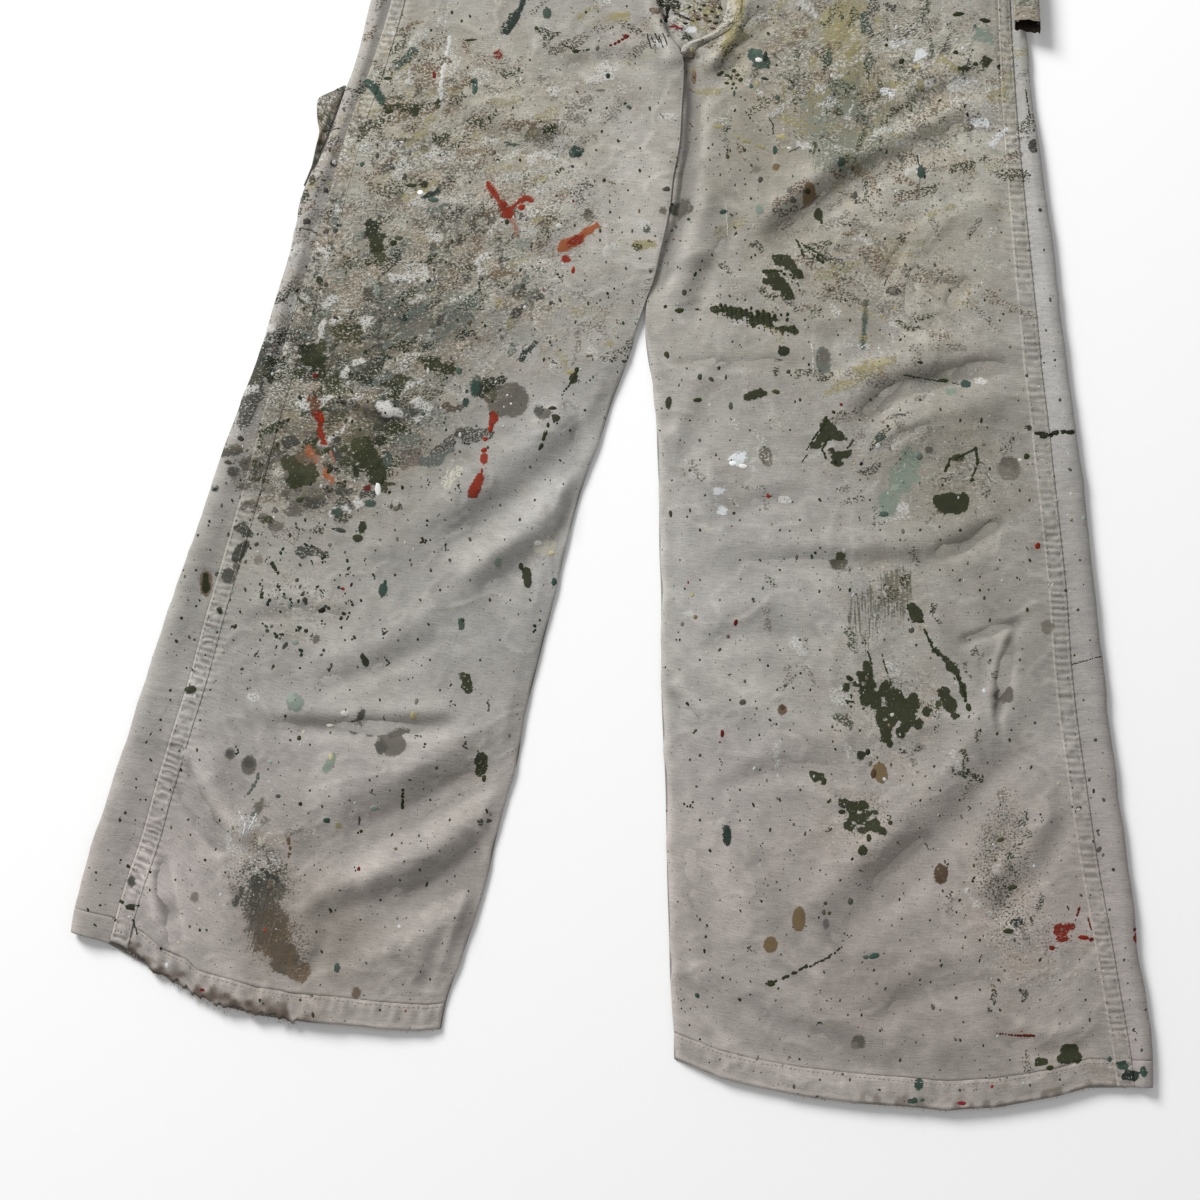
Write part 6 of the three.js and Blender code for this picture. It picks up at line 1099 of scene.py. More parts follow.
g = Net("thread"); o = g.obj(); n_ = g.noise(o, (900, 900, 900), 2.0); m_ = g.noise(o, (60, 60, 60), 2.0, (4, 4, 0))
g.put(g.b.inputs["Base Color"], g.mix(g.step(0.3, 0.7, g.add(g.mul(n_, 0.5), g.mul(m_, 0.5))), (*srgb(118, 111, 100),), (*srgb(186, 179, 167),)))
g.b.inputs["Roughness"].default_value = 0.85; g.bump(n_, 0.0002, 0.6); M_THREAD = g.m
g = Net("worn_metal"); o = g.obj(); n_ = g.noise(o, (420, 420, 420), 3.0); m_ = g.noise(o, (1600, 1600, 1600), 1.0, (4, 4, 0))
g.put(g.b.inputs["Base Color"], g.mix(g.step(0.42, 0.62, n_), (*srgb(150, 146, 138),), (*srgb(96, 86, 74),)))
g.put(g.b.inputs["Roughness"], g.add(0.34, g.mul(n_, 0.36))); g.put(g.b.inputs["Metallic"], g.step(0.70, 0.45, n_)); g.bump(m_, 0.0002, 0.4); M_METAL = g.m
g = Net("dried_paint"); o = g.obj(); n_ = g.noise(o, (700, 700, 700), 2.0)
g.put(g.b.inputs["Base Color"], g.mix(1.0, g.attr("tone", True), g.add(0.78, g.mul(n_, 0.44)), "MULTIPLY"))
g.b.inputs["Roughness"].default_value = 0.7; g.b.inputs["Specular IOR Level"].default_value = 0.15; g.bump(n_, 0.0002, 0.5); M_DROP = g.m

# ---- pieces --------------------------------------------------------------------------------------
BODY = "root"
MADE = []
def auto_flip(P, ref):
    n = grid_normals(P)
    i, j = P.shape[0] // 2, P.shape[1] // 2
    return float(n[i, j] @ np.asarray(ref, float)) < 0
def plan_area(P):
    a = P[1:, 1:] - P[:-1, :-1]; b = P[1:, :-1] - P[:-1, 1:]
    return float(np.linalg.norm(np.cross(a, b), axis=-1).sum() / 2) * 1e-6
def finish_piece(ob, slot, nodes=(), mat=None):
    if shell_volume_ok(ob) < 0: ob.data.flip_normals()
    if mat is not None: ob.data.materials.append(mat)
    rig.ride(ob, BODY)
    if nodes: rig.replaces(ob, *nodes)
    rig.slot(ob, slot)
    MADE.append(ob)
    return ob
def cloth(name, P, t, slot="canvas", nodes=(), k=8, ref=(0, 0, 1), uv=None, kind="front", flat=None, mat=None, round_=0.4, held="laid", area=None):
    flip = auto_flip(P, ref)
    n, m = P.shape[:2]
    fl, co = paint(P, kind, grid_normals(P, flip))
    if kind in ("front", "hem", "fell"):       # dried paint stands a little proud
        P = P + grid_normals(P, flip) * (0.22 * sm(-0.3, 1.2, fl["sd2"]) * (1 - fl["g2"]))[..., None]
    V, polys, src = shell(P, t, k, flip, round_)
    if uv is None:
        du = np.concatenate([np.zeros((n, 1)), np.cumsum(np.linalg.norm(np.diff(P, axis=1), axis=2), 1)], 1)
        dv = np.concatenate([np.zeros((1, m)), np.cumsum(np.linalg.norm(np.diff(P, axis=0), axis=2), 0)], 0)
        uv = np.stack([du, -dv], -1)
    uvf = uv.reshape(-1, 2)[src]
    fl = {a: b.ravel()[src] for a, b in fl.items()}
    co = {a: b.reshape(-1, 3)[src] for a, b in co.items()}
    ob = new_mesh(name, V, polys, uvf, fl, co)
    finish_piece(ob, slot, nodes, mat or M_CANVAS)
    a = area or plan_area(P)
    if flat is None:
        wd = float(np.linalg.norm(np.diff(P, axis=1), axis=2).sum(1).max()) * 0.001
        ln = float(np.linalg.norm(np.diff(P, axis=0), axis=2).sum(0).max()) * 0.001
        flat = (round(wd, 3), round(ln, 3))
    flat_area = min(a, flat[0] * flat[1])
    ob["flat"] = [flat[0], flat[1], flat_area]
    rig.sheet(ob, flat=flat, held=held, area=max(flat_area, 0.3001 * flat[0] * flat[1]), rests_on=())
    ob["surf"] = name
    SURF[name] = Surf(P, flip)
    return ob
SURF = {}
STITCH, THREADS = {}, {}
def sew(group, *args, **kw):
    r = stitch_line(*args, **kw)
    if r is not None: STITCH.setdefault(group, []).append(r)

def front_top(leg, side, u, v, extra=0.0):
    """outer face of a front leg panel at (u, v) grids"""
    p = leg.front(u, v)
    x, y = p[..., 0], p[..., 1]
    z = front_z(u, v, x, y) + CLOTH
    w = seam_width(leg, v[..., 0])[..., None] if v.ndim > 1 else seam_width(leg, v)
    d_in, d_out = u * w, (1 - u) * w
    s = v * 905
    seed = 11 if side == "r" else 23
    z = z + 0.62 * pucker(s, np.maximum(d_out - FELL, 0), seed) * sm(0.03, 0.09, v) * np.where(d_out < FELL, 0.6, 1)
    crotch = sm(-152, -120, y) * (1 - sm(30, 48, y))
    if side == "r":
        z = z + 2.6 * np.exp(-(d_in / 13) ** 1.4) * crotch - 0.5 * np.exp(-(d_in / 2.0) ** 2) * crotch
        lap = crotch * sm(-150, -128, y)            # this panel laps over the other down the centre seam
        x = x + 2.0 * np.exp(-(d_in / 5) ** 2) * lap
        fly = sm(38, 50, y) * (1 - sm(225, 245, y))
        z = z + fly * (1.3 * np.exp(-((d_in - 4) / 4.5) ** 2) - 1.2 * np.exp(-(d_in / 1.3) ** 2))
        inleg = 1 - sm(-175, -150, y)
    else:
        fly = sm(26, 40, y) * (1 - sm(225, 245, y))
        z = z + fly * (2.2 * np.exp(-((d_in - 2.5) / 4) ** 2) - 1.6 * np.exp(-(d_in / 1.2) ** 2))
        z = z + (2.2 * sm(8, 24, d_in) * np.exp(-d_in / 70) - 1.0 * np.exp(-(d_in / 9) ** 2)) * crotch
        inleg = 1 - sm(-190, -160, y)
    # rolled inseam edge
    r = np.clip(d_in / 6.5, 0, 1)
    roll = np.sqrt(np.clip(1 - (1 - r) ** 2, 0, 1))
    z = np.where(inleg > 0, lerp(z, lerp(1.7, z, roll), inleg), z)
    # inseam wander of the worn edge
    x = x + inleg * np.exp(-d_in / 18) * 0.9 * noise(y / 17, y * 0, 5)
    return np.stack([x, y, z + extra], -1)

def legs():
    for side, leg in LEGS.items():
        n_cols = 168 if side == "r" else 180
        v = np.concatenate([np.linspace(0, 0.188, 38)[:-1], np.linspace(0.188, V_END, 476)])
        u = np.unique(np.round(np.concatenate([np.linspace(0, 1, n_cols - 6), [0.0016, 0.0034, 0.0075, 0.0105, 0.9965]]), 5))
        U, V = np.meshgrid(u, v)
        P = front_top(leg, side, U, V)
        wd = seam_width(leg, v)[:, None]
        P[..., 2] -= 0.35 * np.exp(-((V_END - V) * 905 / 0.9) ** 2)
        # the panel tucks under the felled seam
        P[..., 2] -= 0.5 * sm(FELL - 1.5, FELL - 3.5, (1 - U) * wd)
        uv = np.stack([U * wd + (0 if side == "r" else 900), -V * 920], -1)
        cloth(f"cloth_front_leg_{side}", P, 0.9, nodes=(f"front_leg_{side}",), uv=uv, k=9)

        # hem
        rows = np.linspace(V_HEM - 0.0002, 1.0, 17)
        Uh, Vh = np.meshgrid(u[::1], rows)
        P = front_top(leg, side, Uh, Vh, 0.25)
        f = (Vh - V_HEM) / (1 - V_HEM)
        wdh = seam_width(leg, rows)[:, None]
        s = Uh * wdh
        ramp = np.clip((1 - f) * HEM / 2.4, 0, 1)
        P[..., 2] -= 0.35 * np.exp(-(f * HEM / 1.1) ** 2)
        P[..., 2] += 0.45 * noise(s / 15, f * 1.5, 8) + 0.3 * noise(s / 6, f * 2, 9)
        P[..., 2] += 0.24 * np.cos(2 * np.pi * (s / 8.5 + 1.1 * noise(s / 17, s * 0, 3))) * np.exp(-((f * HEM - 5) / 6) ** 2) * 0.8
        P[..., 2] = lerp(np.maximum(P[..., 2] - 2.4, 1.2), P[..., 2], np.sqrt(1 - (1 - ramp) ** 2))
        if side == "r":   # worn through along the outer half of the hem
            cu, cv = chart(P[..., 0], P[..., 1])
            worn = sm(104, 118, cu) * (1 - sm(286, 310, cu))
            P[..., 1] += worn * f ** 2 * (2.3 * noise(s / 3.6, s * 0, 2) + 2.2 * noise(s / 10, s * 0, 6) + 1.9 * noise(s / 2.1, s * 0, 9) + 0.8)
            P[..., 2] -= worn * 0.5 * (1 - f)
            P[..., 2] += worn * f * 0.8 * noise(s / 5, f * 2, 4)
        P[..., 1] += 0.5 * f * noise(s / 21, s * 0, 6)
        cloth(f"cloth_hem_front_{side}", P, 1.5, nodes=(f"hem_front_{side}",), uv=np.stack([Uh * wdh + (0 if side == "r" else 900), -Vh * 920], -1), k=6, held="folded", kind="hem")

        # felled side seam
        rv = np.linspace(0.03, 0.9985, 900)
        d = np.array([0, 0.35, 0.8, 1.4, 2.2, 3.2, 4.4, 5.8, 7.2, 8.6, 9.8, 10.8, 11.6, 12.2, 12.65, 13.0])
        wd = seam_width(leg, rv)
        wide = lerp(0.68, 1.0, sm(0.15, 0.45, rv))          # narrower at the hip
        Df = d[None] * wide[:, None]
        Uf = 1 - Df / wd[:, None]
        Vf = np.broadcast_to(rv[:, None], Uf.shape)
        seed = 11 if side == "r" else 23
        P = front_top(leg, side, Uf, Vf, 0.1)
        s = Vf * 905
        q = Df / (d[-1] * wide[:, None])
        lump = np.sqrt(np.clip(np.minimum(q, 1 - q) / 0.1, 0, 1))
        body = 0.95 * lump - 0.35 * np.exp(-((q - 0.17) / 0.06) ** 2) - 0.35 * np.exp(-((q - 0.83) / 0.06) ** 2)
        pk = np.cos(2 * np.pi * (s / 5.3 + 1.5 * noise(s / 11.0, q * 0.6 + 3, seed))) * (0.42 + 0.58 * noise(s / 17.0, s * 0, seed + 1))
        soft = lerp(0.22, 0.5, sm(0.25, 0.5, Vf)) if side == "l" else lerp(0.0, 0.8, sm(0.50, 0.58, Vf))
        flatter = 1.0 if side == "l" else lerp(0.30, 1.0, sm(0.47, 0.60, Vf))
        P[..., 2] += 0.15 * flatter + body * 0.55 * flatter + 0.62 * pk * np.exp(-((q - 0.5) / 0.36) ** 4) * soft * sm(0.2, 0.3, Vf) + 0.25 * noise(s / 3.1, q * 3, 7) * lump
        cloth(f"cloth_side_fell_{side}", P, 0.9, nodes=(f"side_fell_{side}",), k=5, held="folded", kind="fell")
        S_ = SURF[f"cloth_side_fell_{side}"]
        i = np.linspace(2 if side == "l" else 470, 897, 1800 if side == "l" else 860)
        sew("r" if side == "r" else "l", S_, i, np.full_like(i, 3.4), pitch=3.3, length=2.2, seed=3, skip=0.45, w=0.4)
        sew("r" if side == "r" else "l", S_, i, np.full_like(i, 11.6), pitch=3.3, length=2.2, seed=4, skip=0.55, w=0.4)

        # back panel: flat below, rolled over the outer edge
        for name, v0, v1, n, wall_, t in ((f"back_leg_{side}", 0.0, V_END, 500, CLOTH, 1.0), (f"hem_back_{side}", V_HEM, 1.0, 15, CLOTH + 0.3, 1.3)):
            if n > 100: v = np.concatenate([np.linspace(0, 0.188, 40)[:-1], np.linspace(0.188, v1, n - 39)])
            else: v = np.linspace(v0, v1, n)
            A = leg.patch(leg.back, leg.outer, np.zeros_like(v), v); B = leg.patch(leg.back, leg.outer, np.ones_like(v), v)
            Sp = leg.front(np.ones_like(v), v); Sp[:, 0] += leg.sgn * 0.35
            Lw = np.linalg.norm(B - A, axis=1); D = (B - A) / Lw[:, None]
            w = np.linalg.norm(B - Sp, axis=1); a = np.minimum(7, w * 0.45)
            zs = front_z(np.ones_like(v), v, Sp[:, 0], Sp[:, 1]) + wall_
            H = zs + ROLL * sm(0, 0.05, v) * sm(8, 16, w) + 0.6
            a = a + 0.0
            cols = []
            for t_ in np.linspace(0, 1, 9):
                p = leg.patch(leg.back, leg.outer, t_ * (1 - a / Lw), v)
                cols.append(np.stack([p[:, 0], p[:, 1], np.zeros_like(v)], -1))
            C = B - D * a[:, None]
            wob = 0.5 * noise(v * 905 / 26, v * 0, 6) + 0.35 * noise(v * 905 / 9, v * 0, 3)
            for deg in np.linspace(-66, 74, 9):
                c_, s_ = math.cos(math.radians(deg)), math.sin(math.radians(deg))
                p = C + D * (a * c_)[:, None] + D * (wob * c_)[:, None]
                cols.append(np.stack([p[:, 0], p[:, 1], H / 2 + H / 2 * s_], -1))
            nt = 20
            for t_ in np.linspace(0, 1, nt):
                p = C * (1 - t_) + Sp * t_
                z = lerp(H, zs, sm(0, 1, t_) if t_ < 1 else 1.0)
                dist = np.linalg.norm(p - Sp, axis=1)
                z = z + (0.5 * pucker(v * 905, dist, 11 if side == "r" else 23) * sm(0.2, 0.3, v)
                         + (0.45 * wrinkles(p[:, 0], p[:, 1]) + fold_sum(p[:, 0], p[:, 1], FINE, 1.0) * 0.6) * min(1, 2.2 * t_ * (1 - t_) + 0.35)
                         - 0.3 * np.exp(-(dist / 1.3) ** 2))
                cols.append(np.stack([p[:, 0], p[:, 1], z], -1))
            P = np.stack(cols, 1)
            mid = np.array([0, 0, -1.0])
            # outside of the wall faces down on the bottom columns
            nrm = grid_normals(P)
            flip = nrm[len(v) // 2, 4, 2] > 0
            if "hem" in name:
                f = (v - v0) / (v1 - v0)
                P[..., 2][:, 9:] -= (0.5 * np.exp(-(f * HEM / 1.0) ** 2))[:, None]
            Vs, polys, src = shell(P, t, 5, flip, 0.4)
            fl, co = paint(P, "wrap", grid_normals(P, flip))
            dv = v[:, None] * 920 + np.zeros(P.shape[:2])
            du = np.concatenate([np.zeros((len(v), 1)), np.cumsum(np.linalg.norm(np.diff(P, axis=1), axis=2), 1)], 1)
            uvf = np.stack([du + 2000, -dv], -1).reshape(-1, 2)[src]
            ob = new_mesh("cloth_" + name, Vs, polys, uvf, {q: b.ravel()[src] for q, b in fl.items()}, {q: b.reshape(-1, 3)[src] for q, b in co.items()})
            finish_piece(ob, "canvas", (name,), M_CANVAS)
            area = plan_area(P)
            flat = (round(float(du[:, -1].max()) * 0.001, 3), round(float((v1 - v0) * 0.95), 3))
            flat = (flat[0], max(flat[1], round(area / flat[0] / 0.98, 3)) if area > flat[0] * flat[1] else flat[1])
            ob["flat"] = [flat[0], flat[1], min(area, flat[0] * flat[1])]
            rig.sheet(ob, flat=flat, held="laid" if n > 100 else "folded", area=min(area, flat[0] * flat[1]))
            SURF[ob.name] = Surf(P, flip)

def strip(left, right, ys, cols, zf, dist=None):
    """grid between two outlines x(y); ys runs from the top down"""
    f = np.linspace(0, 1, cols) if dist is None else dist
    L = np.interp(ys, left[::-1, 1], left[::-1, 0]); R = np.interp(ys, right[::-1, 1], right[::-1, 0])
    X = L[:, None] + (R - L)[:, None] * f[None]
    Y = np.broadcast_to(np.asarray(ys)[:, None], X.shape).copy()
    return np.stack([X, Y, zf(X, Y, np.broadcast_to(f[None], X.shape))], -1)
def soft_outline(pts, n=60):
    p = np.asarray(pts, float); d = np.concatenate([[0], np.cumsum(np.linalg.norm(np.diff(p, axis=0), axis=1))])
    t = np.linspace(0, d[-1], n); q = np.stack([np.interp(t, d, p[:, k]) for k in (0, 1)], -1)
    for _ in range(3): q[1:-1] = 0.25 * q[:-2] + 0.5 * q[1:-1] + 0.25 * q[2:]
    q[:, 1] = np.minimum.accumulate(q[:, 1])
    q[:, 1] -= np.arange(n) * 1e-4
    return q

CENTRE_X = 66.0
def upper():
    # under-fly piece
    FL = np.array([[20.2, 234], [20.2, 117.4], [25.9, 74.2], [37.4, 45.4], [41.8, 33.8]])
    FR = np.array([[74.2, 234], [92.2, 182], [100.8, 117.4], [97.9, 74.2], [79.2, 45.4], [59, 33.8]])
    ys = np.linspace(234, 34, 150)
    P = strip(soft_outline(FL), soft_outline(FR), ys, 56, lambda x, y, f: 2.75 + 0.30 * noise(x / 14, y / 10, 2) + 0.25 * noise(x / 5, y / 3.2, 5))
    cloth("cloth_fly_under", P, 0.9, "painted_canvas", ("fly_under",), k=8, kind="fly")

    # folded lip of the open fly, along its far edge
    leg = LEGS["l"]
    v = np.linspace(0.035, 0.2345, 260)
    wd = seam_width(leg, v)
    d = np.array([-1.6, -1.75, -1.6, -1.0, 0.0, 1.2, 2.4, 3.4, 4.2, 5.4, 7.0, 8.2, 8.8])
    prof = np.array([-1.9, -1.1, -0.2, 0.35, 0.6, 0.55, 0.2, -0.1, 0.05, 0.28, 0.3, 0.15, -0.25])
    U = d[None] / wd[:, None]; V = np.broadcast_to(v[:, None], U.shape)
    P = front_top(leg, "l", np.clip(U, 0.004, 1), V, 0.35)
    base = leg.front(np.zeros_like(v), v)
    nx = leg.front(np.full_like(v, 0.05), v) - base; nx /= np.linalg.norm(nx, axis=1, keepdims=True)
    P[..., :2] = base[:, None] + nx[:, None] * d[None, :, None]
    wav = 1 + 0.25 * noise(v * 905 / 7, v * 0, 2)[:, None]
    P[..., 2] += prof[None] * wav * 0.9 + 0.35
    cloth("cloth_fly_facing", P, 0.8, nodes=("fly_facing",), k=6, kind="front", held="folded")
    sew("l", SURF["cloth_fly_facing"], np.linspace(2, 250, 500), np.full(500, 10.4), pitch=3.3, length=2.3, seed=9, skip=0.02)

    # waistband
    wl, wr = mm([R_SEAM[0]])[0][0] + 0.8, mm([L_SEAM[0]])[0][0] - 0.8
    ys = np.concatenate([WAIST_Y + 13 - np.array([0, 0.3, 0.8, 1.6]), np.linspace(WAIST_Y + 10.6, WAIST_Y - 10.6, 12), WAIST_Y - 13 + np.array([1.6, 0.8, 0.3, 0])])
    LW = np.array([[wl, 300], [wl - 1.5, 230]]); RW = np.array([[wr, 300], [wr + 1.5, 230]])
    def zw(x, y, f):
        q = np.clip((13 - np.abs(y - WAIST_Y)) / 1.8, 0, 1)
        return 5.2 + 0.75 * np.sqrt(1 - (1 - q) ** 2) + 0.35 * noise(x / 30, y / 12, 3) + 0.2 * noise(x / 6, y / 9, 5) - 0.25 * np.exp(-((np.abs(y - WAIST_Y) - 10) / 0.9) ** 2)
    P = strip(LW, RW, ys, 260, zw)
    cloth("cloth_waistband", P, 1.2, nodes=("waistband",), k=5, held="folded", kind="hidden")
    for row in (3.8, 15.4):
        sew("b", SURF["cloth_waistband"], np.full(1200, row), np.linspace(2, 257, 1200), seed=int(row))

    # bib
    E = np.array([[134, 542], [137, 462.6], [141.5, 383.8], [153, 322.6], [172, 286.6], [196, 268], [210, 254.6]])
    eo = soft_outline(E, 90)
    L_ = np.stack([CENTRE_X - eo[:, 0], eo[:, 1]], -1); R_ = np.stack([CENTRE_X + eo[:, 0], eo[:, 1]], -1)
    fx = np.unique(np.round(np.concatenate([np.linspace(0, 1, 110), [0.002, 0.005, 0.995, 0.998]]), 5))
    def zb(x, y, f):
        loft = 2.2 * sm(WAIST_Y + 16, 330, y) * (1 - sm(470, 518, y)) * np.cos(np.pi * np.clip((x - CENTRE_X) / 300, -0.5, 0.5))
        m = sm(WAIST_Y + 12, WAIST_Y + 40, y) * (1 - sm(495, 520, y))
        z = FRONT_Z + CLOTH + loft + m * (fold_sum(x, y, FINE, 3.0) + 0.9 * wrinkles(x, y))
        e = np.minimum(f, 1 - f) * 280
        z = z - 0.9 * np.exp(-(e / 0.9) ** 2) + 0.45 * sm(11, 9.5, e) + 0.15 * noise(y / 4, e / 6, 3) * sm(12, 8, e)
        return np.maximum(z, FRONT_Z + 0.9)
    ys = np.concatenate([np.linspace(542, 262, 130), [259, 256.5, 255, 254.6]])
    P = strip(L_, R_, ys, 0, zb, fx)
    cloth("cloth_bib", P, 0.9, nodes=("bib",), k=8, kind="hidden")
    S_ = SURF["cloth_bib"]; n = len(fx)
    for off in (2.0, 8.6):
        j = np.interp(off / 280, fx, np.arange(n))
        for jj in (j, n - 1 - j):
            sew("b", S_, np.linspace(8, 118, 900), np.full(900, jj), seed=int(off * 3 + jj))
    def zh(x, y, f):
        q = np.clip(np.minimum(542 - y, y - 523.5) / 1.6, 0, 1)
        return 4.15 + 0.8 * np.sqrt(1 - (1 - q) ** 2) + 0.25 * noise(x / 5, y / 8, 4) * sm(0, 1, q) - 0.2 * np.exp(-((y - 525.7) / 0.8) ** 2)
    ys = np.concatenate([542 - np.array([0, 0.3, 0.8, 1.6, 3]), np.linspace(537, 528, 6), 523.5 + np.array([3, 2.2, 1.4, 0.7, 0.2, 0])])
    P = strip(L_, R_, ys, 190, zh)
    cloth("cloth_bib_hem", P, 0.9, nodes=("bib_hem",), k=5, held="folded", kind="hidden")
    for row in (2.4, 11.6):
        sew("b", SURF["cloth_bib_hem"], np.full(900, row), np.linspace(2, 187, 900), seed=int(row))

    # high back
    E = np.array([[103, 578], [114, 548], [123, 520.6], [139, 463], [162, 405.4], [188, 347.8], [215, 290.2], [223.4, 254.6]])
    eo = soft_outline(E, 90)
    L_ = np.stack([CENTRE_X - eo[:, 0], eo[:, 1]], -1); R_ = np.stack([CENTRE_X + eo[:, 0], eo[:, 1]], -1)
    def zk(x, y, f):
        e = np.minimum(f, 1 - f) * 330
        bx = np.interp(y, E[::-1, 1] * 0 + np.array([254.6, 268, 286.6, 322.6, 383.8, 462.6, 542, 560]), np.array([210, 196, 172, 153, 141.5, 137, 134, 60]))
        outside = sm(2, 14, np.abs(x - CENTRE_X) - bx) * sm(256, 300, y) * (1 - sm(552, 562, y))
        z = 1.15 + outside * (1.0 + 1.2 * wrinkles(x, y) * sm(0, 12, e)) + 0.5 * sm(10, 8.5, e) * sm(262, 285, y)
        z = z - 0.55 * np.exp(-(e / 0.9) ** 2)
        return np.clip(z, 0.75, 6)
    P = strip(L_, R_, np.linspace(578, 254.7, 130), 110, zk)
    flip = auto_flip(P, (0, 0, 1))
    ob = cloth("cloth_back_bib", P, 0.7, nodes=("back_bib",), k=8, kind="hidden")
    me = ob.data; co = np.empty(len(me.vertices) * 3, np.float32); me.vertices.foreach_get("co", co); co = co.reshape(-1, 3)
    nt = P.shape[0] * P.shape[1]
    low = co[nt:, 2] < 0.0012; co[nt:, 2][low] = np.minimum(co[nt:, 2][low], 0.00002); co[:, 2] = np.maximum(co[:, 2], 0)
    me.vertices.foreach_set("co", co.ravel()); me.update()
    S_ = SURF["cloth_back_bib"]
    for jj in (2.2, 107.0 - 0.2):
        sew("b", S_, np.linspace(4, 118, 900), np.full(900, jj), seed=int(jj))
    sew("b", S_, np.full(600, 2.6), np.linspace(3, 106, 600), seed=77)

    # straps and hardware
    for side, s in (("r", -1), ("l", 1)):
        low, fold, end = CENTRE_X + s * 74, CENTRE_X + s * 86, CENTRE_X + s * 106
        R, h = 3.6, 1.6
        yc = 725.2 - R
        key = [(560, 2.7, low), (570, 2.7, low), (580, 2.5, low), (594, 1.0, low), (620, 1.0, lerp(low, fold, 0.3)), (650, 1.0, lerp(low, fold, 0.5)), (690, 1.0, lerp(low, fold, 0.8)), (yc - 4, 1.0, fold)]
        for deg in (-70, -45, -20, 0, 20, 45, 70):
            key.append((yc + (R - 1) * math.cos(math.radians(deg)), R + (R - 1) * math.sin(math.radians(deg)), fold))
        key += [(yc - 4, 6.4, fold), (700, 7.2, lerp(fold, end, 0.15)), (680, 7.6, lerp(fold, end, 0.25)), (650, 7.9, lerp(fold, end, 0.42)), (620, 7.4, lerp(fold, end, 0.6)), (590, 7.2, lerp(fold, end, 0.78)), (565, 8.0, lerp(fold, end, 0.92)), (552, 8.7, end), (547.2, 8.9, end), (543.8, 8.2, end), (542.6, 6.9, end), (543.6, 5.9, end), (547.0, 5.6, end), (556, 5.7, end)]
        key = np.array(key)
        dd = np.concatenate([[0], np.cumsum(np.linalg.norm(np.diff(key, axis=0), axis=1))])
        t = np.unique(np.concatenate([np.linspace(0, dd[-1], 150), dd]))
        path = np.stack([np.interp(t, dd, key[:, k]) for k in range(3)], -1)
        for _ in range(2): path[1:-1] = 0.25 * path[:-2] + 0.5 * path[1:-1] + 0.25 * path[2:]
        T = np.gradient(path, axis=0); ny, nz = -T[:, 1], T[:, 0]
        l = np.hypot(ny, nz); ny, nz = -ny / l, -nz / l      # outwards from the fold
        e = np.array([-21, -20.7, -20, -18.6, -16, -12, -6, 0, 6, 12, 16, 18.6, 20, 20.7, 21.0])
        q = np.clip((21 - np.abs(e)) / 1.4, 0, 1)
        prof = 0.55 * np.sqrt(1 - (1 - q) ** 2) - 0.25 * np.exp(-((np.abs(e) - 17.5) / 0.9) ** 2)
        rip = 0.16 * noise(t[:, None] / 5, e[None] / 9 + 3, 4) + 0.22 * noise(t[:, None] / 24, e[None] / 20, 2)
        off = h / 2 - 0.35 + prof[None] + rip * 0.8
        P = np.stack([path[:, 2][:, None] + e[None] + 0.3 * noise(t[:, None] / 30, e[None] * 0, 3), path[:, 0][:, None] + ny[:, None] * off, path[:, 1][:, None] + nz[:, None] * off], -1)
        P[..., 2] = np.maximum(P[..., 2], 0.02)
        i = int(np.argmin(np.abs(path[:, 0] - 680) + (path[:, 1] < 4) * 1e3))
        g = grid_normals(P)[i, 7]
        ref = (0, 0, 1)
        flip = g[2] < 0
        V, polys, src = shell(P, 1.4, 7, flip, 0.3)
        V[:, 2] = np.maximum(V[:, 2], 0.0)
        fl, co = paint(P, "hidden", grid_normals(P, flip))
        uv = np.stack([np.broadcast_to(e[None] + 3000, P.shape[:2]), np.broadcast_to(-t[:, None], P.shape[:2])], -1).reshape(-1, 2)[src]
        ob = new_mesh(f"cloth_strap_{side}", V, polys, uv, {a: b.ravel()[src] for a, b in fl.items()}, {a: b.reshape(-1, 3)[src] for a, b in co.items()})
        finish_piece(ob, "strap_canvas", (f"strap_{side}",), M_CANVAS)
        ln = round(float(t[-1]) * 0.001, 3)
        ob["flat"] = [0.042, ln, 0.042 * ln]
        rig.sheet(ob, flat=(0.042, ln), held="folded")
        SURF[ob.name] = Surf(P, flip)
        for jj in (3.3, 10.7):
            sew("b", SURF[ob.name], np.linspace(2, len(t) - 3, 1200), np.full(1200, jj), seed=int(jj) + s + 5)
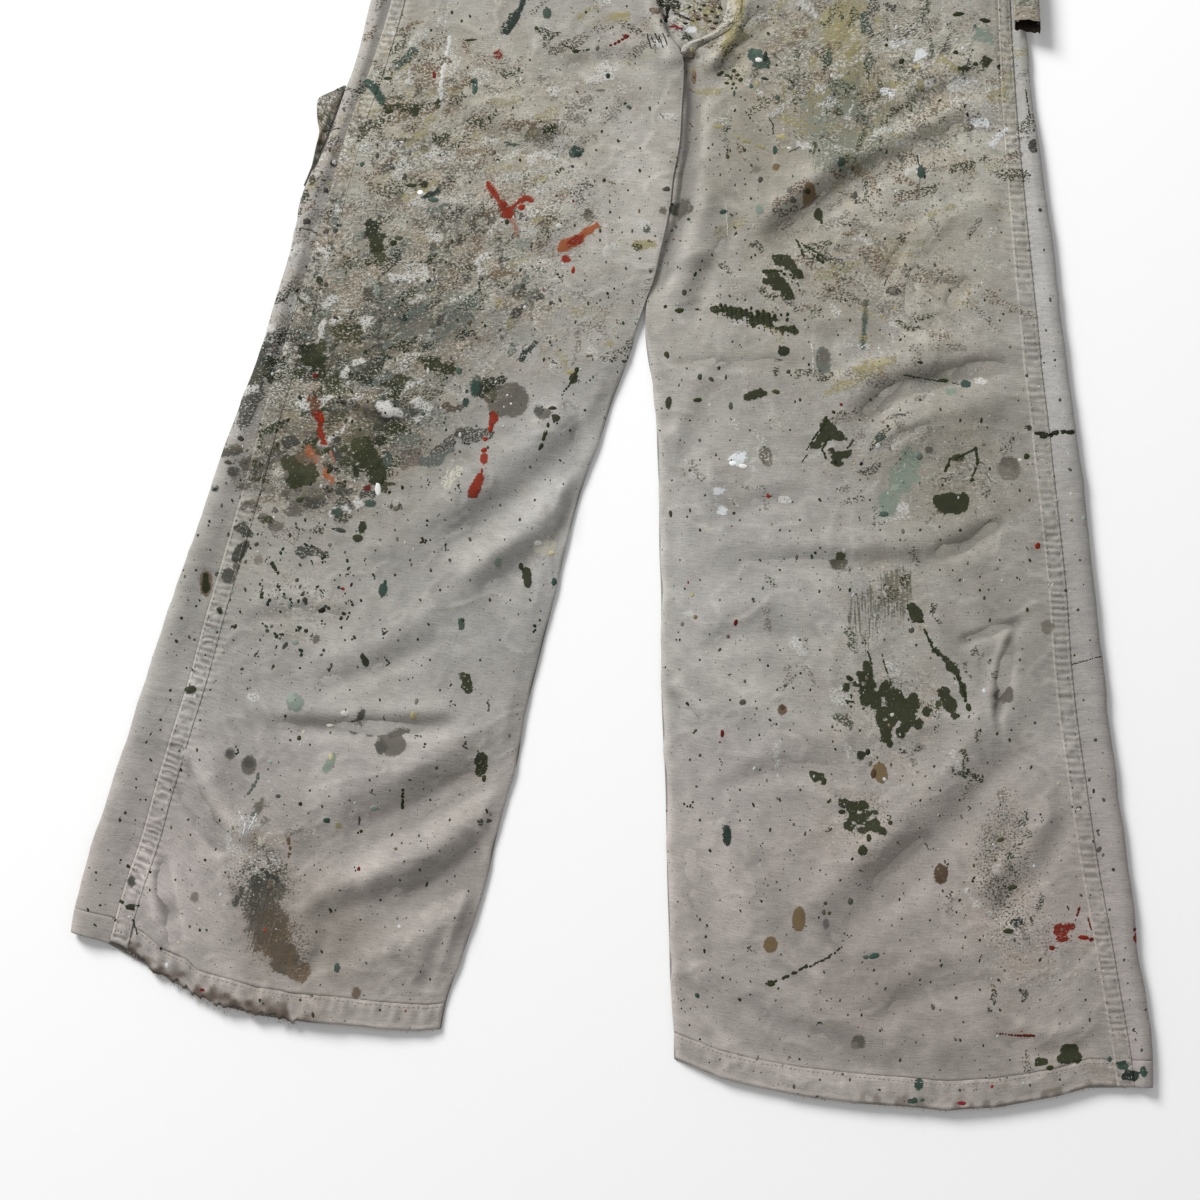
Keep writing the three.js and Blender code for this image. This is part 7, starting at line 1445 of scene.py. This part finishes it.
        # wire buckle
        bx, by, bz = end, 532.8, 6.75
        w, tp = 21.8, 12.8
        o = [(-w + 2, tp), (w - 2, tp), (w - 0.6, tp - 0.6), (w, tp - 2), (w, 4.4), (w - 0.8, 3.2), (12.4, -5.4)]
        for k in range(13):
            a = -math.pi * 0.04 - math.pi * 0.92 * k / 12
            o.append((11.2 * math.cos(a), -9 + 11.2 * math.sin(a)))
        o += [(-12.4, -5.4), (-w + 0.8, 3.2), (-w, 4.4), (-w, tp - 2), (-w + 0.6, tp - 0.6)]
        o = np.array(o)
        d_ = np.concatenate([[0], np.cumsum(np.linalg.norm(np.diff(np.vstack([o, o[:1]]), axis=0), axis=1))])
        tt = np.linspace(0, d_[-1], 150, endpoint=False); oc = np.vstack([o, o[:1]])
        q = np.stack([np.interp(tt, d_, oc[:, k]) for k in (0, 1)], -1)
        for _ in range(2): q = 0.25 * np.roll(q, 1, 0) + 0.5 * q + 0.25 * np.roll(q, -1, 0)
        wire = np.stack([bx + q[:, 0], by + q[:, 1], bz + 0.3 * np.sin(q[:, 1] / 8)], -1)
        parts = [tube(wire, 1.15, 10, True)]
        cross = np.stack([np.linspace(-w + 0.3, w - 0.3, 24) + bx, np.full(24, by + 4.6), np.full(24, bz + 0.1)], -1)
        parts.append(tube(cross, 1.1, 10, False))
        V, polys = merge(parts)
        ob = new_mesh(f"wire_buckle_{side}", V, polys)
        finish_piece(ob, "hardware", (f"buckle_{side}",), M_METAL)
        button(f"bib_button_top_{side}", f"bib_button_{side}", bx, by - 9.0, 5.3, 7.5)
    button("side_button_top_r", "side_button_r", wl + 14, WAIST_Y, 6.3, 9)
    button("side_button_top_l", "side_button_l", wr - 14, WAIST_Y, 6.3, 9)

def button(name, node, x, y, z, r):
    prof = [(0, 0), (0.5, 0), (0.55, 0.5), (0.6, 0.9), (0.93, 1.15), (0.985, 1.35), (1.0, 1.7), (0.985, 2.1), (0.94, 2.4), (0.86, 2.55), (0.78, 2.45), (0.72, 2.15), (0.66, 1.95),
            (0.52, 1.9), (0.46, 2.0), (0.40, 2.25), (0.30, 2.55), (0.16, 2.7), (0.0, 2.74)]
    n = 40; V, q = [], []
    for k, (a, h) in enumerate(prof):
        for i in range(n):
            t = 2 * math.pi * i / n
            V.append((x + r * a * math.cos(t), y + r * a * math.sin(t), z + h))
    V = np.array(V); polys = []
    for k in range(len(prof) - 1):
        i = np.arange(n); i1 = (i + 1) % n
        if prof[k][0] == 0: polys.append(np.stack([np.full(n, k * n), (k + 1) * n + i1, (k + 1) * n + i], -1))
        elif prof[k + 1][0] == 0: polys.append(np.stack([k * n + i, k * n + i1, np.full(n, (k + 1) * n)], -1))
        else: polys.append(np.stack([k * n + i, k * n + i1, (k + 1) * n + i1, (k + 1) * n + i], -1))
    used = np.unique(np.concatenate([p.ravel() for p in polys])); mp = np.zeros(len(V), int); mp[used] = np.arange(len(used))
    ob = new_mesh(name, V[used], [mp[p] for p in polys])
    finish_piece(ob, "hardware", (node,), M_METAL)

def side_bits():
    # corner of the rule pocket that stands out at the hip
    IN = np.array([[-192.2, 13], [-200.2, -8.6], [-207.4, -28.1], [-214.6, -44.6], [-221.8, -58.3]])
    OUT = np.array([[-203, 9], [-212.0, 5.5], [-213.2, 2], [-213, -10], [-211, -20], [-214.6, -34], [-217, -46], [-222.6, -58.3]])
    OUT = np.vstack([[-194.0, 13.2], OUT])
    ys = np.concatenate([[13, 12.7, 12.2, 11.4], np.linspace(10.4, -57, 60), [-58.0, -58.3]])
    f = np.array([0, 0.02, 0.05, 0.1, 0.17, 0.25, 0.34, 0.43, 0.52, 0.61, 0.7, 0.8, 0.9, 1.0])
    def zp(x, y, f):
        b = 2.2 * np.sin(np.pi * np.clip((13 - y) / 72, 0, 1)) * (0.3 + 0.7 * (1 - f)) + 2.3
        e = np.clip(f * 14 / 2.5, 0, 1)
        z = b * np.sqrt(1 - (1 - e) ** 2) * 0.9 + 0.5 + 0.5 * noise(x / 6, y / 7, 2) * sm(0, 0.2, f)
        return z + 0.7 * np.exp(-(((x + 203) - (y + 5) * 0.45) / 2.2) ** 2)
    P = strip(soft_outline(OUT, 60), soft_outline(IN, 60), ys, 0, zp, f)
    P[..., 0] -= 1.2 * f[None] * 0
    cloth("cloth_rule_pocket_r", P, 1.2, "painted_canvas", ("rule_pocket_r",), k=6, kind="pocket", held="folded")

    # tool loop: strip folded into a flat tube, open below
    key = np.array([[292, 150], [294.5, 118], [296.5, 90], [298, 66], [298.7, 51.5]])
    t = np.linspace(0, 1, 64); kk = np.linspace(0, 1, 5)
    cx, cy = np.interp(t, kk, key[:, 0]), np.interp(t, kk, key[:, 1])
    n = 44; a = np.arange(n) / n * 2 * np.pi
    c, s_ = np.cos(a), np.sin(a)
    def ring(rx, rz, rough):
        X = cx[:, None] + rx * np.sign(c)[None] * np.abs(c)[None] ** 0.75 * (1 + 0.03 * noise(t[:, None] * 9, c[None], 3))
        Z = 12.3 + 0.8 * (t[:, None] > 2) + rz[:, None] * s_[None] * (1 + 0.12 * noise(t[:, None] * 12, a[None], 5)) + 0.35 * noise(t[:, None] * 8, a[None] * 0 + X / 9, 2)
        Y = np.broadcast_to(cy[:, None], X.shape) + 0 * X
        m = sm(0.9, 1.0, t)[:, None]
        Y = Y - m * 1.6 * (noise(X / 2.0, s_[None] * 3, 4) * 0.8 + 0.7 * (X - 298) / 9)
        return np.stack([X, Y, Z], -1)
    rz = lerp(1.3, 3.0, sm(0.35, 1, t))
    O, I = ring(9.4, rz, 0), ring(8.5, rz - 0.85, 0)
    for R_ in (O, I):                              # the upper face is worn back, so the dark inside shows
        back = sm(0.86, 1.0, t)[:, None] * sm(-0.1, 0.35, s_)[None]
        R_[..., 1] += back * (6.5 + 1.6 * noise(R_[..., 0] / 3, R_[..., 0] * 0, 3))
    V = np.concatenate([O.reshape(-1, 3), I[::-1].reshape(-1, 3)])
    N = 2 * len(t); i = np.arange(N)[:, None]; j = np.arange(n)[None]
    i1, j1 = (i + 1) % N, (j + 1) % n
    q = np.stack([i * n + j, i1 * n + j, i1 * n + j1, i * n + j1], -1).reshape(-1, 4)
    PP = V.reshape(N, n, 3)
    fl, co = paint(PP, "loop", np.zeros_like(PP) + [0, 0, 1])
    # painted shade: the inner face of the loop, seen where the upper face is worn back, is coloured near-black
    co["tone"] = np.array(co["tone"]); co["tone"][len(t) - 1:] = srgb(26, 21, 15)
    for q_ in fl: fl[q_] = np.array(fl[q_]); fl[q_][len(t) - 1:] = -4 if q_ in ("sd1", "sd2") else 0
    fl["cr"][:len(t) - 1] = 0.85
    uv = np.stack([np.broadcast_to(a[None] * 6 + 4000, (N, n)), np.broadcast_to(-np.arange(N)[:, None] * 1.5, (N, n))], -1).reshape(-1, 2)
    ob = new_mesh("cloth_hammer_loop_l", V, [q], uv, {k: b.ravel() for k, b in fl.items()}, {k: b.reshape(-1, 3) for k, b in co.items()})
    finish_piece(ob, "painted_canvas", ("hammer_loop_l",), M_CANVAS)
    area = plan_area(np.concatenate([O, O[:, :1]], 1))
    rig.sheet(ob, flat=(round(area / 0.0985, 4), 0.0985), held="folded")
    ob["flat"] = [area / 0.0985, 0.0985, area]

def stitches():
    # hems
    for side in ("r", "l"):
        S_ = SURF[f"cloth_hem_front_{side}"]
        n, m = S_.P.shape[:2]
        sew(side, S_, np.full(1400, 1.7), np.linspace(1.5, m - 2.5, 1400), pitch=3.4, length=2.4, seed=21, skip=0.04)
    S_ = SURF["cloth_front_leg_r"]
    for g, parts in STITCH.items():
        V, polys = merge(parts)
        ob = new_mesh(f"stitches_{g}", V, polys)
        finish_piece(ob, "canvas", (), M_THREAD)

# ---- small drops and loose threads -----------------------------------------------------------------
def drop_shapes(C, A, B, Z, N, h, sides):
    """flat domed drops: centres (k,3), half-axis vectors A and B (k,3) lying on the cloth, ring heights Z (k,sides)"""
    k = len(C)
    t = np.arange(sides) / sides * 2 * np.pi
    rs = np.random.RandomState(77)
    rr = 1 + 0.34 * rs.normal(size=(k, sides))
    rr = np.clip((rr + np.roll(rr, 1, 1) + np.roll(rr, -1, 1)) / 3, 0.6, 1.4)
    D = A[:, None] * np.cos(t)[None, :, None] + B[:, None] * np.sin(t)[None, :, None]
    outer = C[:, None] + D * rr[..., None]
    outer[..., 2] = Z - 0.12
    mid = C[:, None] + D * (rr * 0.74)[..., None]
    mid[..., 2] = C[:, None, 2] * 0.26 + Z * 0.74
    mid = mid + N[:, None] * h[:, None, None]
    top = C + N * (h * 1.05)[:, None]
    V = np.concatenate([top[:, None], mid, outer], 1)          # k, 1+2s, 3
    i = np.arange(sides); j = (i + 1) % sides
    tri = np.stack([np.zeros(sides, int), 1 + i, 1 + j], -1)
    quad = np.stack([1 + i, 1 + sides + i, 1 + sides + j, 1 + j], -1)
    base = (1 + sides + i)[::-1][None]
    off = (np.arange(k) * (1 + 2 * sides))[:, None, None]
    return V.reshape(-1, 3), [(tri[None] + off).reshape(-1, 3), (quad[None] + off).reshape(-1, 4), (base[None] + off).reshape(-1, sides)], 1 + 2 * sides

def threads():
    rs = np.random.RandomState(99)
    parts = []
    def fray(surf, j0, j1, n, lmax, row=None):
        n_, m_ = surf.P.shape[:2]
        for q in range(n):
            j = np.array([rs.uniform(j0, j1) * (m_ - 1.5)]); i = np.array([n_ - 1.4 if row is None else row])
            p, nn = surf.at(i, j); p = p[0]
            l = rs.uniform(1.2, lmax) * rs.uniform(0.5, 1)
            ang = -math.pi / 2 + rs.normal() * 0.75
            pts = [p + np.array([0, 0.9, -0.1])]
            x, y, z = p
            for s in range(6):
                ang += rs.normal() * 0.35
                x += math.cos(ang) * l / 6; y += math.sin(ang) * l / 6; z = max(0.25, z - rs.uniform(0.0, 0.45))
                pts.append(np.array([x, y, z]))
            parts.append(tube(np.array(pts), rs.uniform(0.11, 0.2), 5))
    H = SURF["cloth_hem_front_r"]
    fray(H, 0.42, 0.97, 150, 6.0); fray(H, 0.02, 0.4, 16, 3.0)
    fray(SURF["cloth_hem_front_l"], 0.25, 0.75, 46, 4.0); fray(SURF["cloth_hem_front_l"], 0.75, 0.99, 12, 3.0)
    V, polys = merge(parts)
    ob = new_mesh("frayed_threads", V, polys)
    finish_piece(ob, "canvas", (), M_THREAD)

def drops():
    scene = bpy.context.scene
    bpy.context.view_layer.update()
    dg = bpy.context.evaluated_depsgraph_get()
    from mathutils import Vector
    down = Vector((0, 0, -1))
    def probe(x, y):
        r = scene.ray_cast(dg, Vector((x * 0.001, y * 0.001, 0.1)), down)
        return (r[1][2] * 1000, r[2], r[4].name) if r[0] else None
    small, seed_ = [], np.random.RandomState(2024)
    for L in (SOAK, COAT):
        for mk in L:
            if not tiny(mk): continue
            if mk[0] == "e":
                _, cu, cv, w, h, c, ang, rag, hole = mk
                small.append((cu, cv, max(w, 1.6) / 2, max(h, 1.6) / 2, ang, INK[c] * (1.0 + 0.5 * seed_.rand()), 0.08 if L is SOAK else 0.14 if min(w, h) < 4 else 0.2))
            else:
                _, c, w0, w1, pts, rag, hole = mk
                pts = np.array(pts, float)
                seg = np.concatenate([[0], np.cumsum(np.hypot(*np.diff(pts, axis=0).T))])
                n = max(2, int(seg[-1] / (max(w0, w1) * 0.62)))
                for q in np.linspace(0, 1, n):
                    if seed_.rand() < hole * 0.8: continue
                    s = q * seg[-1]; cu, cv = np.interp(s, seg, pts[:, 0]), np.interp(s, seg, pts[:, 1])
                    a = np.interp(s + 1, seg, pts[:, 0]) - np.interp(s - 1, seg, pts[:, 0]); b = np.interp(s + 1, seg, pts[:, 1]) - np.interp(s - 1, seg, pts[:, 1])
                    w = w0 + (w1 - w0) * q
                    cu += rag * 0.4 * seed_.normal(); cv += rag * 0.4 * seed_.normal()
                    small.append((cu, cv, max(w, 1.3) * 0.62, max(w, 1.3) / 2 * (0.85 + 0.3 * seed_.rand()), math.degrees(math.atan2(b, a)), INK[c], 0.12))
    # spatter thrown at random, thick where the brush worked
    fields = [(480,170,170,130,620,"d"),(350,410,110,100,520,"d"),(860,110,140,120,460,"d"),(950,470,110,110,460,"d"),(880,740,110,100,360,"d"),(1010,920,90,140,420,"d"),(520,400,100,140,330,"d"),(240,640,90,120,330,"d"),
              (220,880,110,90,300,"d"),(440,800,90,150,330,"d"),(740,600,80,200,330,"d"),(760,950,90,120,330,"d"),(700,180,70,120,300,"d"),(900,300,120,70,300,"d"),(690,20,44,24,90,"d"),(620,-350,260,250,420,"d"),(700,-120,260,90,260,"d"),
              (430,130,120,110,150,"w"),(350,390,120,100,170,"w"),(900,90,110,90,170,"w"),(760,480,110,90,80,"w"),(520,230,90,90,110,"w"),(1000,450,80,90,70,"w"),(260,850,110,90,70,"w"),(860,700,100,90,70,"w"),(1020,900,80,120,70,"w"),(690,30,40,30,30,"w"),
              (640,600,420,520,420,"c")]
    kinds = {"d": ("dol","ol","dg","bk","dtl","pb","ol2","dg","gr"), "w": ("wh","wp","cm","wp"), "c": ("tl","ol","gr","mt","br2","tn","ol2","tl2","re2","lg","gr","ye2")}
    for (a, b, ra, rb, n, kd) in fields:
        for _ in range(int(n * (0.30 if kd == "d" else 0.7))):
            cu, cv = a + ra * seed_.normal(), b + rb * seed_.normal()
            r = float(np.clip(seed_.lognormal(math.log(0.82 if kd != "c" else 1.15), 0.42), 0.5, 3.0))
            el = 1 + 0.9 * seed_.rand() ** 2
            col = INK[kinds[kd][seed_.randint(len(kinds[kd]))]] * (0.9 + 0.9 * seed_.rand() if kd != "w" else 0.85)
            small.append((cu, cv, r, r * el, seed_.uniform(-25, 25), col, 0.09 + 0.05 * r))
    groups = {"a": [], "b": []}
    for (cu, cv, ra, rb, ang, col, h) in small:
        p = mm((cu, cv)); x, y = float(p[0]), float(p[1])
        hit = probe(x, y)
        if hit is None or not hit[2].startswith("cloth_") or hit[1][2] < 0.55: continue
        ra, rb = ra * S, rb * S
        c, s = math.cos(math.radians(-ang)), math.sin(math.radians(-ang))
        A, B = np.array([ra * c, ra * s]), np.array([-rb * s, rb * c])
        sides = 8 if max(ra, rb) < 1.3 else 12
        zs, bad = [], False
        if max(ra, rb) < 1.1:
            nx, ny, nz = hit[1]
            for q in range(sides):
                t = 2 * math.pi * q / sides
                D = A * math.cos(t) + B * math.sin(t)
                zs.append(hit[0] - (nx * D[0] + ny * D[1]) / nz)
        else:
            for q in range(sides):
                t = 2 * math.pi * q / sides
                D = A * math.cos(t) + B * math.sin(t)
                g_ = probe(x + D[0], y + D[1])
                if g_ is None or abs(g_[0] - hit[0]) > 2.2: bad = True; break
                zs.append(g_[0])
        if bad: continue
        groups["a" if sides == 8 else "b"].append((x, y, hit[0], A, B, zs, np.array(hit[1]), h, col))
    for gname, sides in (("a", 8), ("b", 12)):
        G = groups[gname]
        if not G: continue
        C = np.array([(q[0], q[1], q[2]) for q in G]); A = np.array([(*q[3], 0) for q in G]); B = np.array([(*q[4], 0) for q in G])
        Z = np.array([q[5] for q in G]); N = np.array([q[6] for q in G]); h = np.array([q[7] for q in G]); col = np.array([q[8] for q in G])
        A = A.astype(float); B = B.astype(float)
        V, polys, per = drop_shapes(C, A, B, Z, N, h, sides)
        ob = new_mesh("paint_drops_" + gname, V, polys, None, {}, {"tone": np.repeat(col, per, 0)})
        finish_piece(ob, "painted_canvas", (), M_DROP)
    print("drops", {q: len(v) for q, v in groups.items()})

# ---- build ---------------------------------------------------------------------------------------
legs(); upper(); side_bits(); stitches()
try: threads()
except NameError: pass
try: drops()
except NameError: pass

# ---- floor, light, camera ------------------------------------------------------------------------
def material(name):
    m = bpy.data.materials.new(name); m.use_nodes = True
    return m
fm = material("floor"); b = fm.node_tree.nodes["Principled BSDF"]
b.inputs["Base Color"].default_value = (0.93, 0.93, 0.93, 1); b.inputs["Roughness"].default_value = 0.9
b.inputs["Specular IOR Level"].default_value = 0.1
bpy.ops.mesh.primitive_plane_add(size=30, location=(0, 0, -0.0006)); fl_ = bpy.context.object; fl_.name = "studio_floor"; fl_.data.materials.append(fm)
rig.stage(fl_)
w = bpy.data.worlds.new("studio"); bpy.context.scene.world = w; w.use_nodes = True
w.node_tree.nodes["Background"].inputs["Color"].default_value = (1.0, 1.0, 1.0, 1); w.node_tree.nodes["Background"].inputs["Strength"].default_value = WORLD
def area(name, loc, target, size, power, color=(1, 1, 1)):
    l = bpy.data.lights.new(name, "AREA"); l.shape = "DISK"; l.size = size; l.energy = power; l.color = color
    o = bpy.data.objects.new(name, l); bpy.context.scene.collection.objects.link(o)
    o.location = loc
    from mathutils import Vector
    o.rotation_euler = (Vector(target) - Vector(loc)).to_track_quat("-Z", "Y").to_euler()
    return o
area("key", (-2.6, 3.0, 2.6), (0, -0.2, 0), 2.0, KEY)
cam = bpy.data.cameras.new("camera"); cam.lens = 100; cam.sensor_width = 36; cam.sensor_fit = "HORIZONTAL"
co_ = bpy.data.objects.new("camera", cam); bpy.context.scene.collection.objects.link(co_)
c0 = mm((600, 600)) * 0.001
co_.location = (float(c0[0]), float(c0[1]), 0.864 * 100 / 36 + 0.008)
co_.rotation_euler = (0, 0, 0)
cam.clip_end = 50
bpy.context.scene.camera = co_
vs = bpy.context.scene.view_settings
vs.view_transform = "Standard"; vs.look = "None"; vs.exposure = 0; vs.gamma = 1

json.dump({"cad": CAD_BOX, "visual": [list(map(float, c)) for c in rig.bounds()]}, open("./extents.json", "w"))
